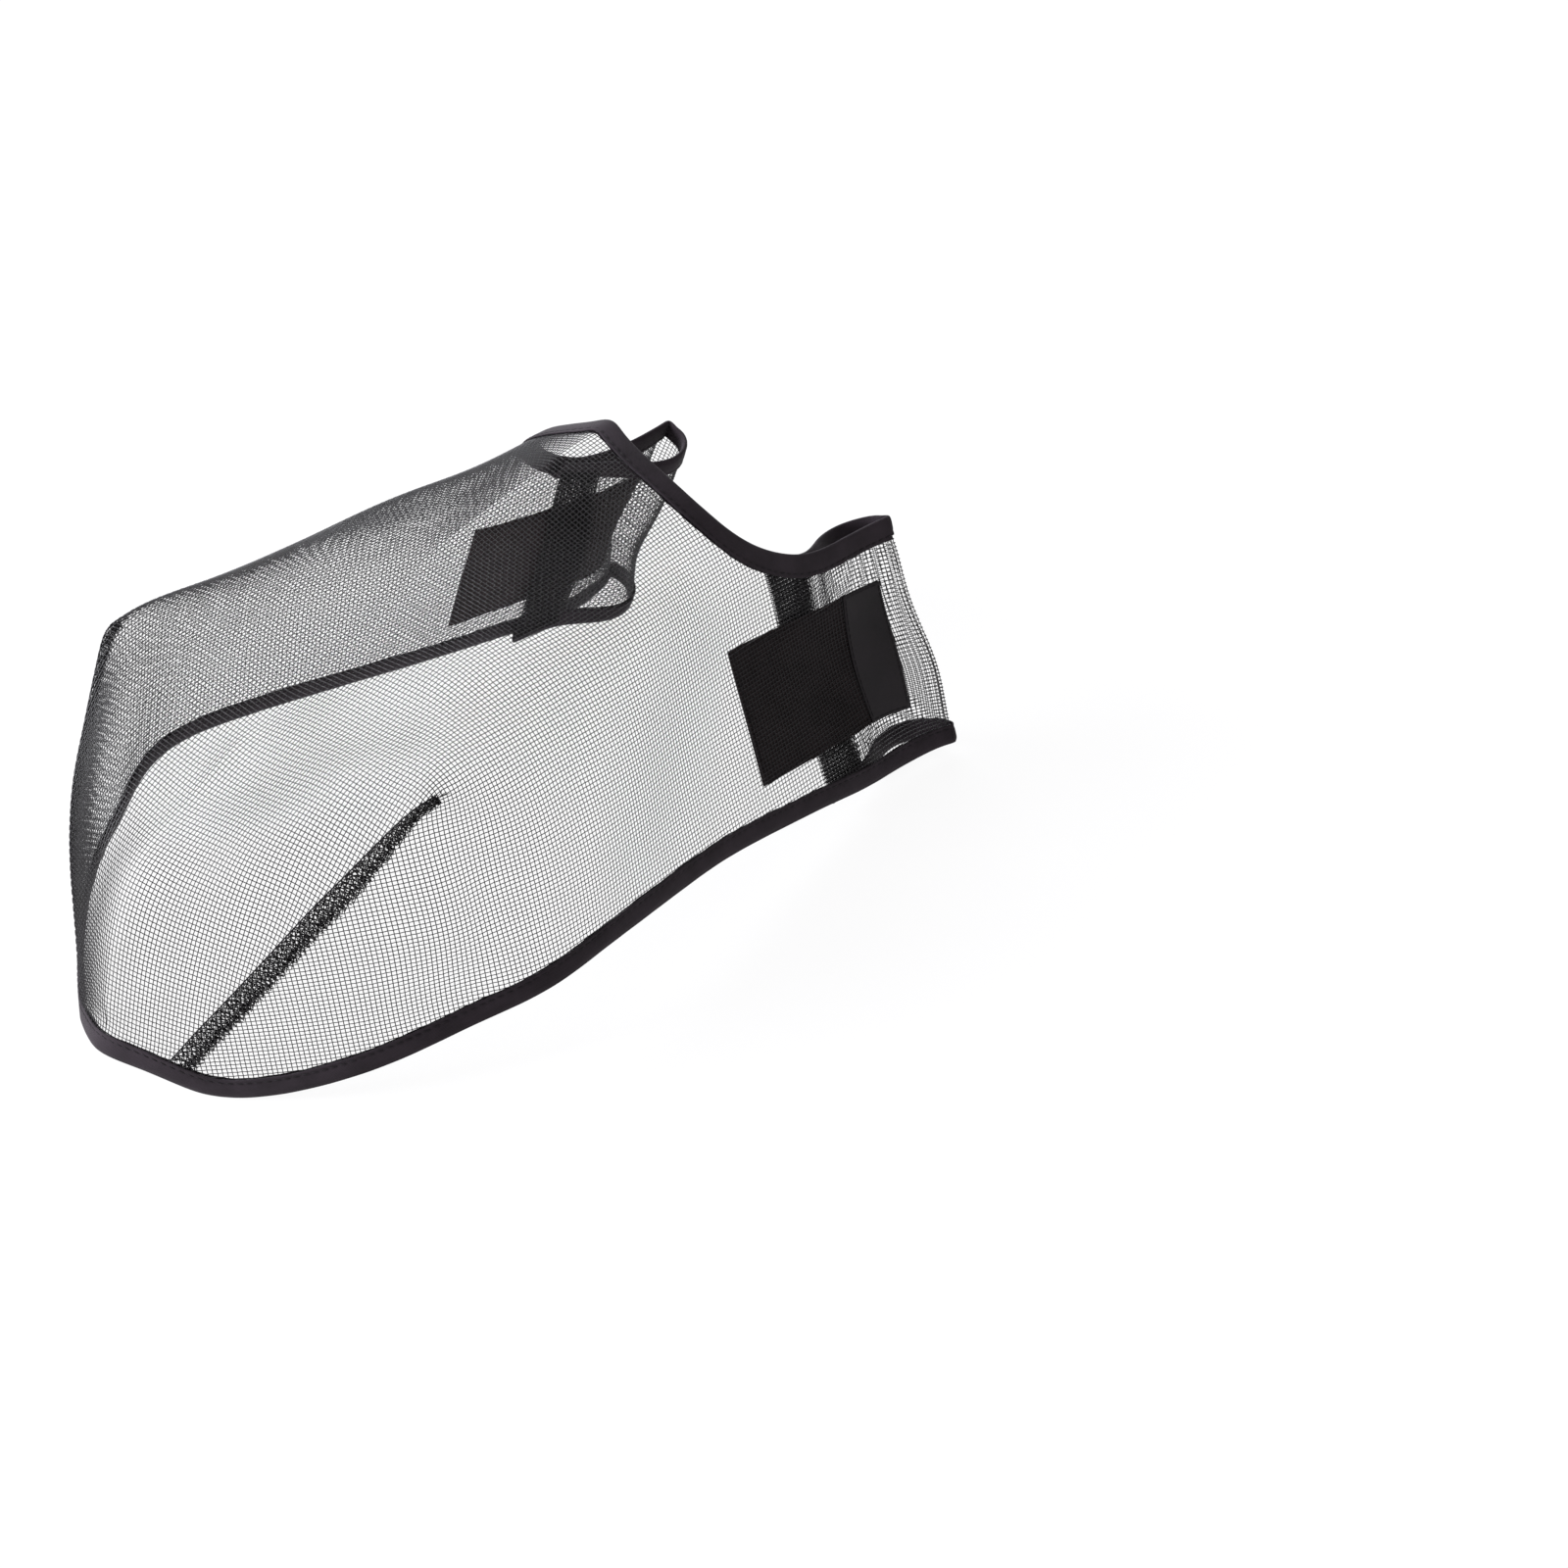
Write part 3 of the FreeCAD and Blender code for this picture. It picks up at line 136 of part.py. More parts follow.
NETS["flap"] = [
     [(51.94, 155.14, 80.17, -0.4902, -0.8533, -0.1774), (50.78, 155.93, 79.71, -0.3158, -0.9582, -0.1076), (47.56, 156.84, 78.51, 0.0299, -1.0883, 0.0404), (42.93, 154.63, 76.89, 0.6957, -0.7372, 0.3196), (39.87, 149.84, 76.14, 0.8828, -0.4103, 0.2815), (38.74, 144.93, 76.00, 0.9895, -0.0546, 0.2478), (39.14, 140.00, 76.36, 0.9530, 0.2311, 0.2347), (40.62, 135.36, 77.08, 0.8831, 0.4123, 0.2423), (42.76, 131.01, 78.04, 0.8162, 0.5221, 0.2524), (45.21, 126.86, 79.18, 0.7899, 0.5489, 0.2712), (47.56, 122.60, 80.48, 0.8255, 0.4850, 0.3036), (49.13, 118.00, 81.80, 0.8941, 0.2930, 0.3588), (49.63, 113.20, 83.32, 0.9150, 0.1389, 0.3838), (49.27, 108.35, 85.35, 0.9206, 0.0629, 0.3857), (48.51, 103.47, 87.91, 0.9201, 0.0668, 0.3864), (48.00, 100.26, 89.91, 0.9116, 0.1196, 0.3949), (47.78, 98.67, 91.02, 0.9032, 0.1517, 0.4015)],
     [(54.43, 155.00, 75.46, -0.4793, -0.8337, -0.2935), (53.32, 155.80, 75.09, -0.3138, -0.9569, -0.1857), (50.12, 156.75, 74.09, 0.0272, -1.0852, 0.0701), (45.26, 154.61, 72.69, 0.5867, -0.7502, 0.4564), (41.54, 149.88, 71.96, 0.7789, -0.4987, 0.4397), (39.96, 144.99, 71.78, 0.9582, -0.1150, 0.3682), (40.22, 140.05, 72.06, 0.9463, 0.2309, 0.2757), (41.81, 135.40, 72.67, 0.8708, 0.4385, 0.2388), (44.21, 131.01, 73.49, 0.8011, 0.5499, 0.2401), (46.96, 126.82, 74.49, 0.7708, 0.5787, 0.2731), (49.63, 122.43, 75.54, 0.8103, 0.5064, 0.3282), (51.47, 117.77, 76.54, 0.8728, 0.3171, 0.4258), (52.02, 112.99, 77.80, 0.8895, 0.1338, 0.4755), (51.48, 108.11, 79.67, 0.8923, 0.0560, 0.4650), (50.63, 103.24, 82.53, 0.9357, 0.0612, 0.3523), (50.22, 100.03, 84.55, 0.9338, 0.1262, 0.3411), (50.09, 98.46, 85.68, 0.9311, 0.1622, 0.3328)],
     [(59.13, 154.18, 65.32, -0.6225, -0.8059, -0.0251), (58.12, 154.99, 65.02, -0.4161, -0.9476, 0.0356), (55.01, 156.03, 64.18, -0.0077, -1.0626, 0.1088), (49.92, 154.15, 62.90, 0.6109, -0.8328, 0.1754), (45.28, 149.57, 62.08, 0.7868, -0.6373, 0.2066), (43.10, 144.81, 61.80, 0.9861, -0.2096, 0.2846), (43.12, 139.94, 61.98, 0.9550, 0.2036, 0.2887), (44.59, 135.29, 62.49, 0.8849, 0.4268, 0.2367), (46.97, 130.86, 63.24, 0.8255, 0.5536, 0.1604), (49.86, 126.64, 64.07, 0.8094, 0.5936, 0.0871), (52.70, 122.10, 65.31, 0.8809, 0.5018, 0.0408), (54.89, 117.29, 66.79, 0.9683, 0.3516, -0.0080), (56.03, 112.53, 68.24, 1.0230, 0.1352, 0.0273), (56.21, 107.84, 69.74, 1.0109, -0.0218, 0.1383), (55.60, 103.07, 71.41, 0.9631, -0.0775, 0.2901), (54.89, 99.85, 73.04, 0.9548, -0.0355, 0.3243), (54.57, 98.22, 74.03, 0.9532, 0.0022, 0.3253)],
     [(66.16, 152.28, 50.03, -0.5433, -0.7599, -0.3770), (65.19, 153.17, 49.66, -0.3990, -0.9198, -0.2364), (62.22, 154.43, 48.60, -0.0798, -1.0834, 0.0627), (57.07, 152.83, 46.91, 0.4769, -0.8118, 0.4717), (53.01, 148.61, 45.70, 0.6221, -0.5723, 0.5566), (50.63, 144.08, 45.18, 0.7965, -0.3285, 0.5828), (49.71, 139.36, 45.23, 0.9292, -0.0283, 0.4770), (49.99, 134.77, 45.74, 0.9298, 0.2152, 0.3500), (51.14, 130.35, 46.56, 0.8996, 0.3670, 0.2728), (52.83, 126.04, 47.56, 0.8781, 0.4321, 0.2342), (54.64, 121.63, 48.78, 0.9022, 0.3900, 0.2278), (56.00, 116.73, 50.02, 0.9469, 0.2549, 0.2403), (56.92, 111.51, 51.31, 0.9532, 0.2142, 0.2353), (57.61, 106.32, 52.88, 0.9607, 0.2048, 0.2229), (58.22, 101.38, 54.73, 0.9657, 0.2165, 0.2093), (58.69, 98.17, 56.11, 0.9534, 0.2501, 0.2227), (58.95, 96.62, 56.85, 0.9439, 0.2682, 0.2340)],
     [(78.02, 150.94, 36.11, -0.6118, -0.7307, -0.3234), (77.28, 151.81, 35.65, -0.4216, -0.9116, -0.2052), (74.73, 153.09, 34.27, -0.1237, -1.0662, -0.0197), (69.28, 151.95, 32.05, 0.5030, -0.8760, 0.3142), (65.38, 147.96, 30.38, 0.6452, -0.6891, 0.3675), (61.51, 143.65, 29.55, 0.6919, -0.6530, 0.3672), (58.06, 139.05, 29.43, 0.8359, -0.4800, 0.3944), (56.80, 134.51, 29.90, 0.9445, 0.0150, 0.4262), (57.26, 130.08, 30.76, 0.8676, 0.3157, 0.4024), (58.77, 125.77, 31.89, 0.8024, 0.4584, 0.3899), (60.75, 121.18, 33.08, 0.8154, 0.4196, 0.4076), (62.50, 116.07, 34.13, 0.8425, 0.3324, 0.4374), (63.71, 110.89, 35.11, 0.8615, 0.2464, 0.4553), (64.44, 105.75, 36.22, 0.8741, 0.2085, 0.4494), (64.90, 100.81, 37.55, 0.8809, 0.2179, 0.4304), (65.30, 97.52, 38.64, 0.8779, 0.2667, 0.4057), (65.55, 95.93, 39.26, 0.8738, 0.2957, 0.3917)],
     [(81.36, 150.92, 20.98, -0.7334, -0.6900, -0.0650), (80.62, 151.80, 20.46, -0.5156, -0.9009, -0.0528), (78.04, 153.09, 18.95, -0.0691, -1.0690, -0.0254), (72.88, 151.85, 16.64, 0.5380, -0.8872, 0.0343), (68.02, 148.00, 15.00, 0.7105, -0.7180, -0.0123), (64.82, 143.77, 14.29, 0.8917, -0.5360, 0.0614), (63.29, 139.24, 14.32, 1.0170, -0.1331, 0.2937), (63.55, 134.75, 14.92, 0.8987, 0.2938, 0.4055), (65.08, 130.32, 15.88, 0.7830, 0.4639, 0.4346), (67.31, 126.02, 17.11, 0.7223, 0.5400, 0.4489), (69.78, 121.28, 18.24, 0.7557, 0.4510, 0.4930), (71.82, 116.19, 19.18, 0.7908, 0.3437, 0.5276), (73.00, 111.08, 19.96, 0.8325, 0.1967, 0.5382), (73.42, 106.01, 20.71, 0.8563, 0.1115, 0.5185), (73.50, 101.04, 21.58, 0.8748, 0.0932, 0.4881), (73.58, 97.71, 22.28, 0.8825, 0.1338, 0.4635), (73.69, 96.08, 22.69, 0.8839, 0.1614, 0.4503)],
     [(82.89, 151.27, 10.63, -0.6172, -0.7702, -0.1721), (82.00, 152.11, 10.21, -0.4164, -0.9350, -0.1176), (79.12, 153.28, 9.00, -0.0118, -1.0627, -0.0132), (73.97, 151.66, 7.16, 0.5141, -0.8812, 0.1296), (69.05, 147.58, 5.84, 0.7038, -0.7138, 0.2236), (66.53, 143.16, 5.29, 0.9471, -0.3162, 0.3321), (66.11, 138.52, 5.36, 0.9525, 0.1242, 0.3405), (67.14, 133.99, 5.87, 0.8900, 0.3583, 0.2945), (69.11, 129.60, 6.69, 0.8351, 0.4965, 0.2548), (71.59, 125.34, 7.67, 0.8117, 0.5452, 0.2313), (74.12, 120.74, 8.73, 0.8576, 0.4666, 0.2553), (76.06, 115.81, 9.67, 0.9199, 0.3216, 0.2754), (77.13, 110.78, 10.36, 0.9559, 0.1614, 0.2853), (77.56, 105.76, 10.89, 0.9599, 0.0698, 0.2932), (77.72, 100.77, 11.34, 0.9562, 0.0506, 0.3015), (77.88, 97.43, 11.70, 0.9510, 0.0916, 0.3057), (78.04, 95.78, 11.90, 0.9465, 0.1199, 0.3068)],
     [(84.43, 151.33, 5.54, -0.5822, -0.7937, -0.1761), (83.46, 152.14, 5.23, -0.3796, -0.9499, -0.1095), (80.44, 153.18, 4.33, 0.0193, -1.0638, 0.0295), (75.24, 151.33, 2.93, 0.5431, -0.8495, 0.2187), (70.64, 147.03, 1.85, 0.7100, -0.6387, 0.3462), (68.30, 142.45, 1.38, 0.8913, -0.2824, 0.4305), (67.87, 137.73, 1.40, 0.9339, 0.0894, 0.3904), (68.81, 133.19, 1.77, 0.8991, 0.3316, 0.3090), (70.66, 128.83, 2.39, 0.8489, 0.4751, 0.2406), (73.01, 124.62, 3.16, 0.8277, 0.5219, 0.2037), (75.46, 120.20, 3.92, 0.8648, 0.4594, 0.2177), (77.31, 115.39, 4.63, 0.9308, 0.2969, 0.2361), (78.36, 110.38, 5.15, 0.9594, 0.1574, 0.2418), (78.86, 105.34, 5.52, 0.9644, 0.0819, 0.2520), (79.16, 100.32, 5.80, 0.9612, 0.0751, 0.2657), (79.46, 96.98, 6.01, 0.9546, 0.1205, 0.2740), (79.69, 95.34, 6.14, 0.9490, 0.1501, 0.2773)]]

NETS["hook"] = [
     [(55.63, 113.34, 62.55, 0.9732, 0.1991, 0.1153), (56.60, 108.21, 63.19, 0.9939, 0.0683, 0.1344), (56.58, 103.13, 63.17, 0.9803, 0.0439, 0.2039), (57.24, 98.08, 63.51, 0.9582, 0.1420, 0.2485)],
     [(56.31, 112.97, 55.36, 0.9720, 0.2105, 0.1449), (57.35, 107.62, 56.03, 0.9843, 0.1464, 0.1591), (57.88, 102.49, 56.09, 0.9728, 0.1468, 0.2237), (59.03, 97.46, 56.49, 0.9403, 0.2376, 0.2588)],
     [(60.00, 112.17, 40.74, 0.8954, 0.2717, 0.4048), (61.41, 106.66, 41.28, 0.8935, 0.2352, 0.4263), (62.36, 101.70, 41.69, 0.8972, 0.2271, 0.4036), (63.84, 96.70, 42.31, 0.8795, 0.3080, 0.3744)],
     [(68.01, 112.17, 27.39, 0.8217, 0.2533, 0.5070), (69.32, 106.81, 27.94, 0.8501, 0.1519, 0.5076), (69.56, 101.87, 28.30, 0.8737, 0.1188, 0.4767), (70.42, 96.79, 28.92, 0.8777, 0.2029, 0.4374)],
     [(71.60, 112.17, 20.94, 0.8537, 0.2359, 0.4643), (72.76, 106.86, 21.50, 0.8831, 0.1140, 0.4656), (72.79, 101.88, 21.82, 0.8958, 0.0754, 0.4385), (73.44, 96.77, 22.39, 0.8986, 0.1602, 0.4085)]]

NETS["endhem"] = [
     [(51.72, 117.93, 74.72, 0.8886, 0.3323, 0.3161), (52.64, 114.74, 75.59, 0.9235, 0.2029, 0.3552), (52.56, 108.28, 77.63, 0.9138, -0.0126, 0.4132), (50.97, 101.71, 81.77, 0.9397, 0.0549, 0.3428), (50.59, 98.52, 84.09, 0.9299, 0.1318, 0.3435)],
     [(54.48, 117.62, 67.91, 0.9372, 0.3575, 0.0893), (55.64, 114.39, 68.86, 0.9928, 0.2267, 0.0936), (56.28, 108.13, 70.73, 0.9947, -0.0793, 0.2359), (54.60, 101.65, 73.67, 0.9307, -0.0566, 0.3833), (53.89, 98.36, 75.96, 0.9415, 0.0341, 0.3480)],
     [(54.56, 117.05, 52.60, 0.9742, 0.2549, 0.1468), (55.26, 113.66, 53.52, 0.9857, 0.2035, 0.1349), (56.27, 106.44, 55.73, 1.0002, 0.2028, 0.0831), (57.29, 100.01, 58.56, 1.0069, 0.2077, 0.0949), (57.82, 96.90, 60.03, 0.9757, 0.2343, 0.1641)],
     [(63.90, 116.23, 30.47, 0.7929, 0.3517, 0.5253), (65.01, 112.77, 31.08, 0.8080, 0.2911, 0.5491), (66.23, 105.74, 32.16, 0.8352, 0.1764, 0.5630), (66.55, 99.13, 33.92, 0.8498, 0.2391, 0.5039), (67.08, 95.85, 35.09, 0.8483, 0.3098, 0.4514)],
     [(72.78, 116.46, 17.13, 0.8218, 0.3411, 0.4639), (73.91, 113.05, 17.70, 0.8545, 0.2442, 0.4804), (74.82, 106.19, 18.51, 0.8905, 0.0530, 0.4671), (74.76, 99.55, 19.40, 0.9026, 0.0740, 0.4328), (75.01, 96.21, 20.00, 0.9038, 0.1310, 0.4165)],
     [(75.23, 116.05, 10.44, 0.8918, 0.3267, 0.3129), (76.30, 112.70, 10.93, 0.9268, 0.2238, 0.3228), (77.18, 105.87, 11.56, 0.9471, 0.0407, 0.3254), (77.32, 99.16, 11.94, 0.9434, 0.0728, 0.3251), (77.70, 95.81, 12.24, 0.9371, 0.1343, 0.3224)]]

NETS["estitch"] = [
     [(52.29, 116.71, 74.31, 0.9026, 0.2900, 0.3181), (52.33, 116.52, 74.37, 0.9042, 0.2827, 0.3203), (52.37, 116.33, 74.42, 0.9056, 0.2754, 0.3226), (52.41, 116.13, 74.48, 0.9070, 0.2681, 0.3247)],
     [(54.89, 116.41, 67.68, 0.9567, 0.3068, 0.0782), (54.95, 116.21, 67.74, 0.9592, 0.2992, 0.0790), (55.01, 116.02, 67.80, 0.9616, 0.2915, 0.0801), (55.06, 115.83, 67.86, 0.9638, 0.2836, 0.0812)],
     [(54.94, 115.78, 52.67, 0.9750, 0.2395, 0.1582), (54.98, 115.58, 52.73, 0.9756, 0.2370, 0.1575), (55.01, 115.37, 52.78, 0.9762, 0.2347, 0.1568), (55.05, 115.16, 52.84, 0.9767, 0.2326, 0.1560)],
     [(64.17, 114.95, 30.96, 0.8025, 0.3301, 0.5229), (64.23, 114.74, 31.00, 0.8034, 0.3268, 0.5239), (64.28, 114.53, 31.03, 0.8042, 0.3234, 0.5250), (64.34, 114.33, 31.07, 0.8051, 0.3199, 0.5260)],
     [(72.83, 115.19, 17.87, 0.8289, 0.3076, 0.4735), (72.88, 114.99, 17.90, 0.8305, 0.3021, 0.4742), (72.94, 114.78, 17.93, 0.8322, 0.2966, 0.4748), (73.00, 114.58, 17.96, 0.8339, 0.2910, 0.4753)],
     [(75.33, 114.84, 11.31, 0.8971, 0.2929, 0.3307), (75.38, 114.64, 11.34, 0.8989, 0.2871, 0.3311), (75.44, 114.44, 11.36, 0.9005, 0.2813, 0.3316), (75.49, 114.24, 11.39, 0.9022, 0.2754, 0.3320)]]

STRIPS["lower"] = [
     (85.36, 149.63, 4.88, -0.2864, 0.1006, 0.9528, 0.8092, -0.5070, 0.2968),
     (83.56, 146.19, 4.65, -0.3316, 0.0191, 0.9451, 0.9600, -0.1551, 0.3264),
     (82.03, 138.59, 4.34, -0.3524, 0.0567, 0.9335, 0.8918, -0.2653, 0.3566),
     (80.79, 127.13, 4.26, -0.3265, 0.0182, 0.9460, 0.9573, 0.0309, 0.3280),
     (81.31, 115.59, 5.07, -0.2701, 0.0966, 0.9595, 0.9586, 0.0808, 0.2633),
     (81.89, 104.21, 6.87, -0.2744, 0.1685, 0.9471, 0.9614, 0.0943, 0.2615),
     (82.34, 92.89, 9.10, -0.3119, 0.1678, 0.9355, 0.9496, 0.0920, 0.3002),
     (82.79, 81.54, 11.11, -0.3440, 0.1397, 0.9287, 0.9381, 0.0973, 0.3328),
     (83.33, 70.18, 13.04, -0.3616, 0.1455, 0.9209, 0.9311, 0.1082, 0.3485),
     (83.95, 58.85, 15.13, -0.3691, 0.1488, 0.9174, 0.9274, 0.1243, 0.3529),
     (84.81, 47.53, 17.19, -0.3687, 0.1256, 0.9212, 0.9254, 0.1455, 0.3502),
     (86.07, 36.20, 19.00, -0.3592, 0.0877, 0.9294, 0.9247, 0.1700, 0.3410),
     (87.72, 24.88, 20.52, -0.3427, 0.0634, 0.9374, 0.9266, 0.1881, 0.3259),
     (89.61, 13.58, 21.89, -0.3241, 0.0556, 0.9444, 0.9308, 0.1972, 0.3079),
     (91.59, 2.29, 23.19, -0.3066, 0.0531, 0.9504, 0.9360, 0.1984, 0.2908),
     (93.58, -9.01, 24.42, -0.2930, 0.0477, 0.9549, 0.9408, 0.1922, 0.2791),
     (95.48, -20.34, 25.51, -0.2860, 0.0370, 0.9576, 0.9452, 0.1756, 0.2757),
     (97.21, -31.72, 26.29, -0.2815, 0.0051, 0.9598, 0.9496, 0.1448, 0.2785),
     (98.37, -43.22, 26.42, -0.2732, -0.0395, 0.9616, 0.9654, 0.0333, 0.2789),
     (97.64, -54.80, 25.45, -0.2526, -0.0855, 0.9640, 0.9626, -0.2217, 0.2363),
     (93.82, -65.58, 23.32, -0.2548, -0.1124, 0.9607, 0.8635, -0.4851, 0.1735),
     (88.34, -75.37, 20.56, -0.3059, -0.1147, 0.9455, 0.8340, -0.5092, 0.2078),
     (83.51, -85.44, 17.66, -0.3230, -0.1152, 0.9393, 0.8573, -0.4581, 0.2384),
     (78.44, -95.40, 14.78, -0.3007, -0.1176, 0.9465, 0.8205, -0.5426, 0.1933),
     (72.19, -104.60, 11.60, -0.2946, -0.1286, 0.9470, 0.7567, -0.6399, 0.1484),
     (65.00, -113.02, 8.32, -0.2820, -0.1135, 0.9526, 0.7010, -0.7038, 0.1228),
     (57.09, -120.86, 5.25, -0.2552, -0.0911, 0.9636, 0.6558, -0.7487, 0.1020),
     (48.60, -128.24, 2.67, -0.2002, -0.0510, 0.9777, 0.6207, -0.7800, 0.0849),
     (39.57, -135.29, 1.10, -0.1071, 0.0227, 1.0057, 0.5875, -0.8051, 0.0790),
     (30.00, -141.97, 1.88, 0.1668, 0.2235, 0.9759, 0.5711, -0.8182, 0.0852),
     (20.97, -147.56, 6.75, 0.3239, 0.3343, 0.8916, 0.5219, -0.8403, 0.1236),
     (11.20, -152.47, 9.97, 0.0247, 0.2882, 0.9684, 0.5225, -0.8404, 0.2459),
     (-0.00, -156.81, 11.79, -0.0000, 0.3851, 0.9193, -0.0000, -0.9833, 0.4063),
     (-11.20, -152.47, 9.97, -0.0247, 0.2882, 0.9684, -0.5225, -0.8404, 0.2459),
     (-20.97, -147.56, 6.75, -0.3239, 0.3343, 0.8916, -0.5219, -0.8403, 0.1236),
     (-30.00, -141.97, 1.88, -0.1668, 0.2235, 0.9759, -0.5711, -0.8182, 0.0852),
     (-39.57, -135.29, 1.10, 0.1071, 0.0227, 1.0057, -0.5875, -0.8051, 0.0790),
     (-48.60, -128.24, 2.67, 0.2002, -0.0510, 0.9777, -0.6207, -0.7800, 0.0849),
     (-57.09, -120.86, 5.25, 0.2552, -0.0911, 0.9636, -0.6558, -0.7487, 0.1020),
     (-65.00, -113.02, 8.32, 0.2820, -0.1135, 0.9526, -0.7010, -0.7038, 0.1228),
     (-72.19, -104.60, 11.60, 0.2946, -0.1286, 0.9470, -0.7567, -0.6399, 0.1484),
     (-78.44, -95.40, 14.78, 0.3007, -0.1176, 0.9465, -0.8205, -0.5426, 0.1933),
     (-83.51, -85.44, 17.66, 0.3230, -0.1152, 0.9393, -0.8573, -0.4581, 0.2384),
     (-88.34, -75.37, 20.56, 0.3059, -0.1147, 0.9455, -0.8340, -0.5092, 0.2078),
     (-93.82, -65.58, 23.32, 0.2548, -0.1124, 0.9607, -0.8635, -0.4851, 0.1735),
     (-97.64, -54.80, 25.45, 0.2526, -0.0855, 0.9640, -0.9626, -0.2217, 0.2363),
     (-98.37, -43.22, 26.42, 0.2732, -0.0395, 0.9616, -0.9654, 0.0333, 0.2789),
     (-97.21, -31.72, 26.29, 0.2815, 0.0051, 0.9598, -0.9496, 0.1448, 0.2785),
     (-95.48, -20.34, 25.51, 0.2860, 0.0370, 0.9576, -0.9452, 0.1756, 0.2757),
     (-93.58, -9.01, 24.42, 0.2930, 0.0477, 0.9549, -0.9408, 0.1922, 0.2791),
     (-91.59, 2.29, 23.19, 0.3066, 0.0531, 0.9504, -0.9360, 0.1984, 0.2908),
     (-89.61, 13.58, 21.89, 0.3241, 0.0556, 0.9444, -0.9308, 0.1972, 0.3079),
     (-87.72, 24.88, 20.52, 0.3427, 0.0634, 0.9374, -0.9266, 0.1881, 0.3259),
     (-86.07, 36.20, 19.00, 0.3592, 0.0877, 0.9294, -0.9247, 0.1700, 0.3410),
     (-84.81, 47.53, 17.19, 0.3687, 0.1256, 0.9212, -0.9254, 0.1455, 0.3502),
     (-83.95, 58.85, 15.13, 0.3691, 0.1488, 0.9174, -0.9274, 0.1243, 0.3529),
     (-83.33, 70.18, 13.04, 0.3616, 0.1455, 0.9209, -0.9311, 0.1082, 0.3485),
     (-82.79, 81.54, 11.11, 0.3440, 0.1397, 0.9287, -0.9381, 0.0973, 0.3328),
     (-82.34, 92.89, 9.10, 0.3119, 0.1678, 0.9355, -0.9496, 0.0920, 0.3002),
     (-81.89, 104.21, 6.87, 0.2744, 0.1685, 0.9471, -0.9614, 0.0943, 0.2615),
     (-81.31, 115.59, 5.07, 0.2701, 0.0966, 0.9595, -0.9586, 0.0808, 0.2633),
     (-80.79, 127.13, 4.26, 0.3265, 0.0182, 0.9460, -0.9573, 0.0309, 0.3280),
     (-82.03, 138.59, 4.34, 0.3524, 0.0567, 0.9335, -0.8918, -0.2653, 0.3566),
     (-83.56, 146.19, 4.65, 0.3316, 0.0191, 0.9451, -0.9600, -0.1551, 0.3264),
     (-85.36, 149.63, 4.88, 0.2864, 0.1006, 0.9528, -0.8092, -0.5070, 0.2968)]

